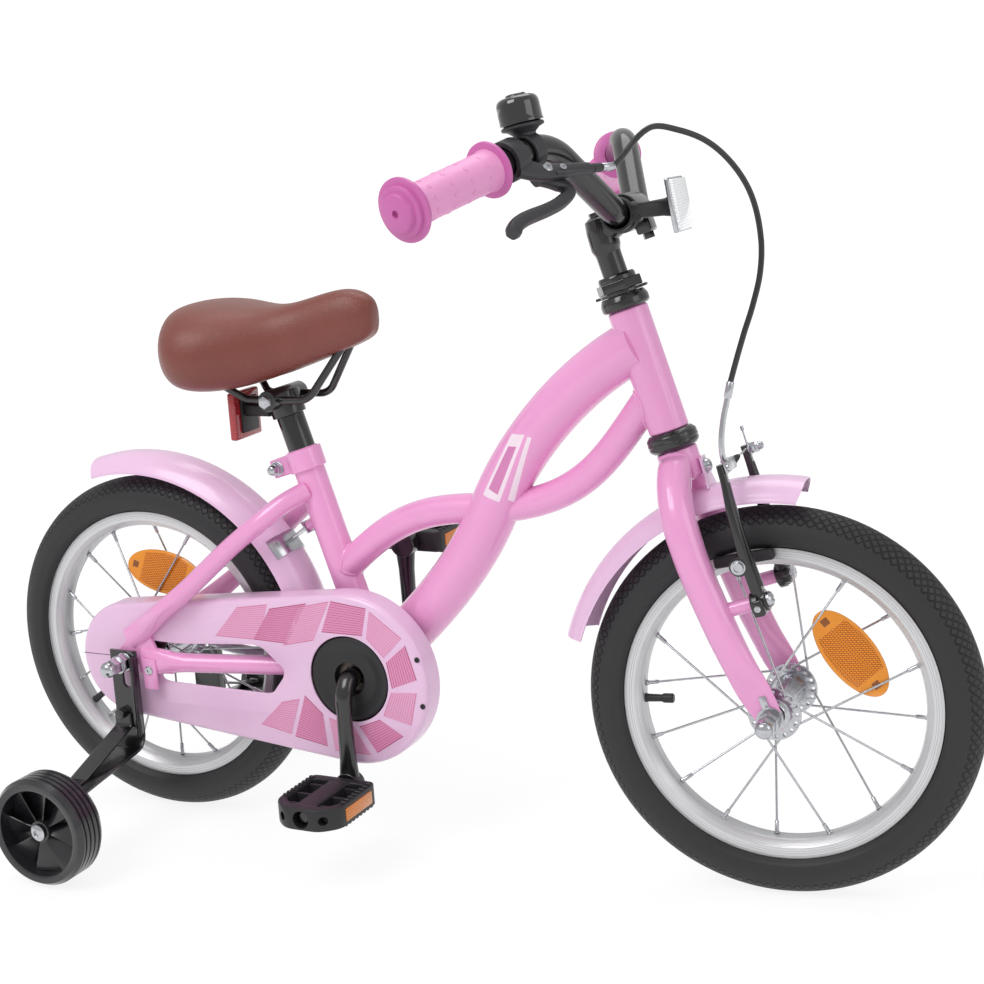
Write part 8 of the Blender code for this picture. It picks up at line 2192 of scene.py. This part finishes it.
@dataclass
class SaddleSet:
    """Post, clamp, base with rails, padded saddle and rear reflector."""

    standoff: float = 0.048
    spread: float = 0.0185
    post_radius: float = 0.0127
    sections: tuple[tuple[float, float, float, float], ...] = ((0.0545, 0.019, 0.48, 0.448),
        (0.0606, 0.0475, 0.495, 0.43), (0.0813, 0.076, 0.501, 0.419), (0.1132, 0.076, 0.501, 0.418),
        (0.1452, 0.056, 0.496, 0.423), (0.1753, 0.0314, 0.496, 0.433), (0.2072, 0.0242, 0.505, 0.444),
        (0.2392, 0.0214, 0.513, 0.456), (0.2608, 0.0142, 0.504, 0.466), (0.2646, 0.0057, 0.495, 0.476))

    def cushion(self, shop: Workshop) -> None:
        """Crowned saddle cover from a cage that subdivision rounds."""
        bm = bmesh.new()
        rings = []
        for x, wide, top, low in self.sections:
            middle, tall = (top + low) / 2, (top - low) / 2
            shape = ((0.0, 1.0), (0.62, 0.93), (1.0, 0.34), (1.0, -0.45), (0.68, -1.0), (0.0, -0.86))
            ring = [(a * wide, middle + b * tall) for a, b in shape]
            ring += [(-a, b) for a, b in ring[-2:0:-1]]
            rings.append([bm.verts.new((x, y, z)) for y, z in ring])
        for ring in rings:
            for pair in zip(ring, ring[1:] + ring[:1]):
                bm.edges.new(pair)
        for low_ring, high_ring in zip(rings, rings[1:]):
            both = [e for e in bm.edges if set(e.verts) <= set(low_ring) or set(e.verts) <= set(high_ring)]
            bmesh.ops.bridge_loops(bm, edges=both)
        bmesh.ops.holes_fill(bm, edges=bm.edges, sides=0)
        bmesh.ops.recalc_face_normals(bm, faces=bm.faces)
        item = shop.piece("saddle_cover", [(bm, BROWN_COVER)], "saddle", crease=180.0)
        rounding = item.modifiers.new("Rounding", "SUBSURF")
        rounding.levels = 3
        rounding.render_levels = 3
        smooth = evaluated(item)
        item.modifiers.clear()
        old = item.data
        item.data = smooth
        bpy.data.meshes.remove(old)
        item.data.shade_smooth()

    def build(self, shop: Workshop) -> None:
        """Make everything that slides with the seat post."""
        seat = LAY.seat
        top = self.standoff + 0.003
        shop.piece("seat_post_tube", [(rod(seat(-0.09), seat(top), self.post_radius, 40, bevel=0.0004),
            BLACK_ENAMEL)], "seat_post")
        cross = seat(self.standoff + 0.002)
        band = plain_ring(0.0159, 0.013, (-0.016, 0.006), 0.001, aim(seat(self.standoff), LAY.seat_up), 40)
        drum = rod(cross - LEFT * 0.028, cross + LEFT * 0.028, 0.0095, 36, bevel=0.001)
        nuts = rod(cross - LEFT * 0.033, cross + LEFT * 0.033, 0.0058, 6, bevel=0.0004)
        shop.piece("saddle_clamp_drum", [(band, BLACK_ENAMEL), (drum, BLACK_ENAMEL), (nuts, PLATED_STEEL)],
            "saddle_clamp")
        self.cushion(shop)
        base = [(0.08, 0.044, 0.429), (0.108, 0.052, 0.4285), (0.142, 0.04, 0.433), (0.174, 0.022, 0.443),
            (0.208, 0.015, 0.454), (0.242, 0.011, 0.466)]
        slab = skinned(resampled([(Vector((x, 0.0, z)), LEFT * wide, UP * 0.0022) for x, wide, z in base],
            5), 32, 5.0)
        shells = [(slab, BLACK_NYLON)]
        for s in (-1.0, 1.0):
            rail = rounded_line([Vector((0.116, s * 0.03, 0.4272)),
                Vector((0.133, s * self.spread, cross.z)), Vector((0.199, s * self.spread, cross.z)),
                Vector((0.233, s * 0.0075, 0.46))], [0.012, 0.02], 8)
            shells.append((bar(rail, 0.0035, 20), BLACK_ENAMEL))
        shop.piece("saddle_underside", shells, "saddle_base")
        centre = Vector((0.117, 0.0, 0.395))
        lens = block(centre, (0.008, 0.042, 0.044), None, 0.0022, 3)
        shop.piece("red_reflector", [(lens, RED_LENS)], "rear_reflector")
        x = centre.x + 0.004 + GAP
        hang_end = seat(self.standoff - 0.006, -self.post_radius - 0.0032 - GAP)
        plate = block(Vector((x + 0.0012, 0.0, centre.z)), (0.0024, 0.026, 0.032), None, 0.0006)
        arm = skinned([(Vector((x + 0.001, 0.0, hang_end.z)), LEFT * 0.008, UP * 0.006),
            (hang_end, LEFT * 0.008, UP * 0.006)], 28, 5.0)
        shop.piece("reflector_hanger", [(plate, BLACK_NYLON), (arm, BLACK_NYLON)], "rear_reflector_bracket")


def main() -> None:
    """Build the studio and every sub-assembly."""
    logging.basicConfig(level=logging.INFO, format="%(name)s %(message)s")
    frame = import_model()
    Studio().build()
    shop = Workshop(frame)
    MainFrame().build(shop)
    Headset().build(shop)
    Fork().build(shop)
    Cockpit().build(shop)
    RimBrake().build(shop)
    Mudguards().build(shop)
    Wheel("front", LAY.front_axle, LAY.turn, 0.022, 0.036, 0.012, 0.0405, math.radians(39.0),
        math.radians(-4.0), 182.0).build(shop)
    Wheel("rear", LAY.rear_axle, Matrix.Identity(4), 0.027, 0.03, 0.02, 0.037, math.radians(79.0),
        math.radians(1.4), 216.0).build(shop)
    Axles().build(shop)
    Drive().build(shop)
    for side in Side:
        Stabiliser(side).build(shop)
    CoasterArm().build(shop)
    SaddleSet().build(shop)


if __name__ == "__main__":
    main()
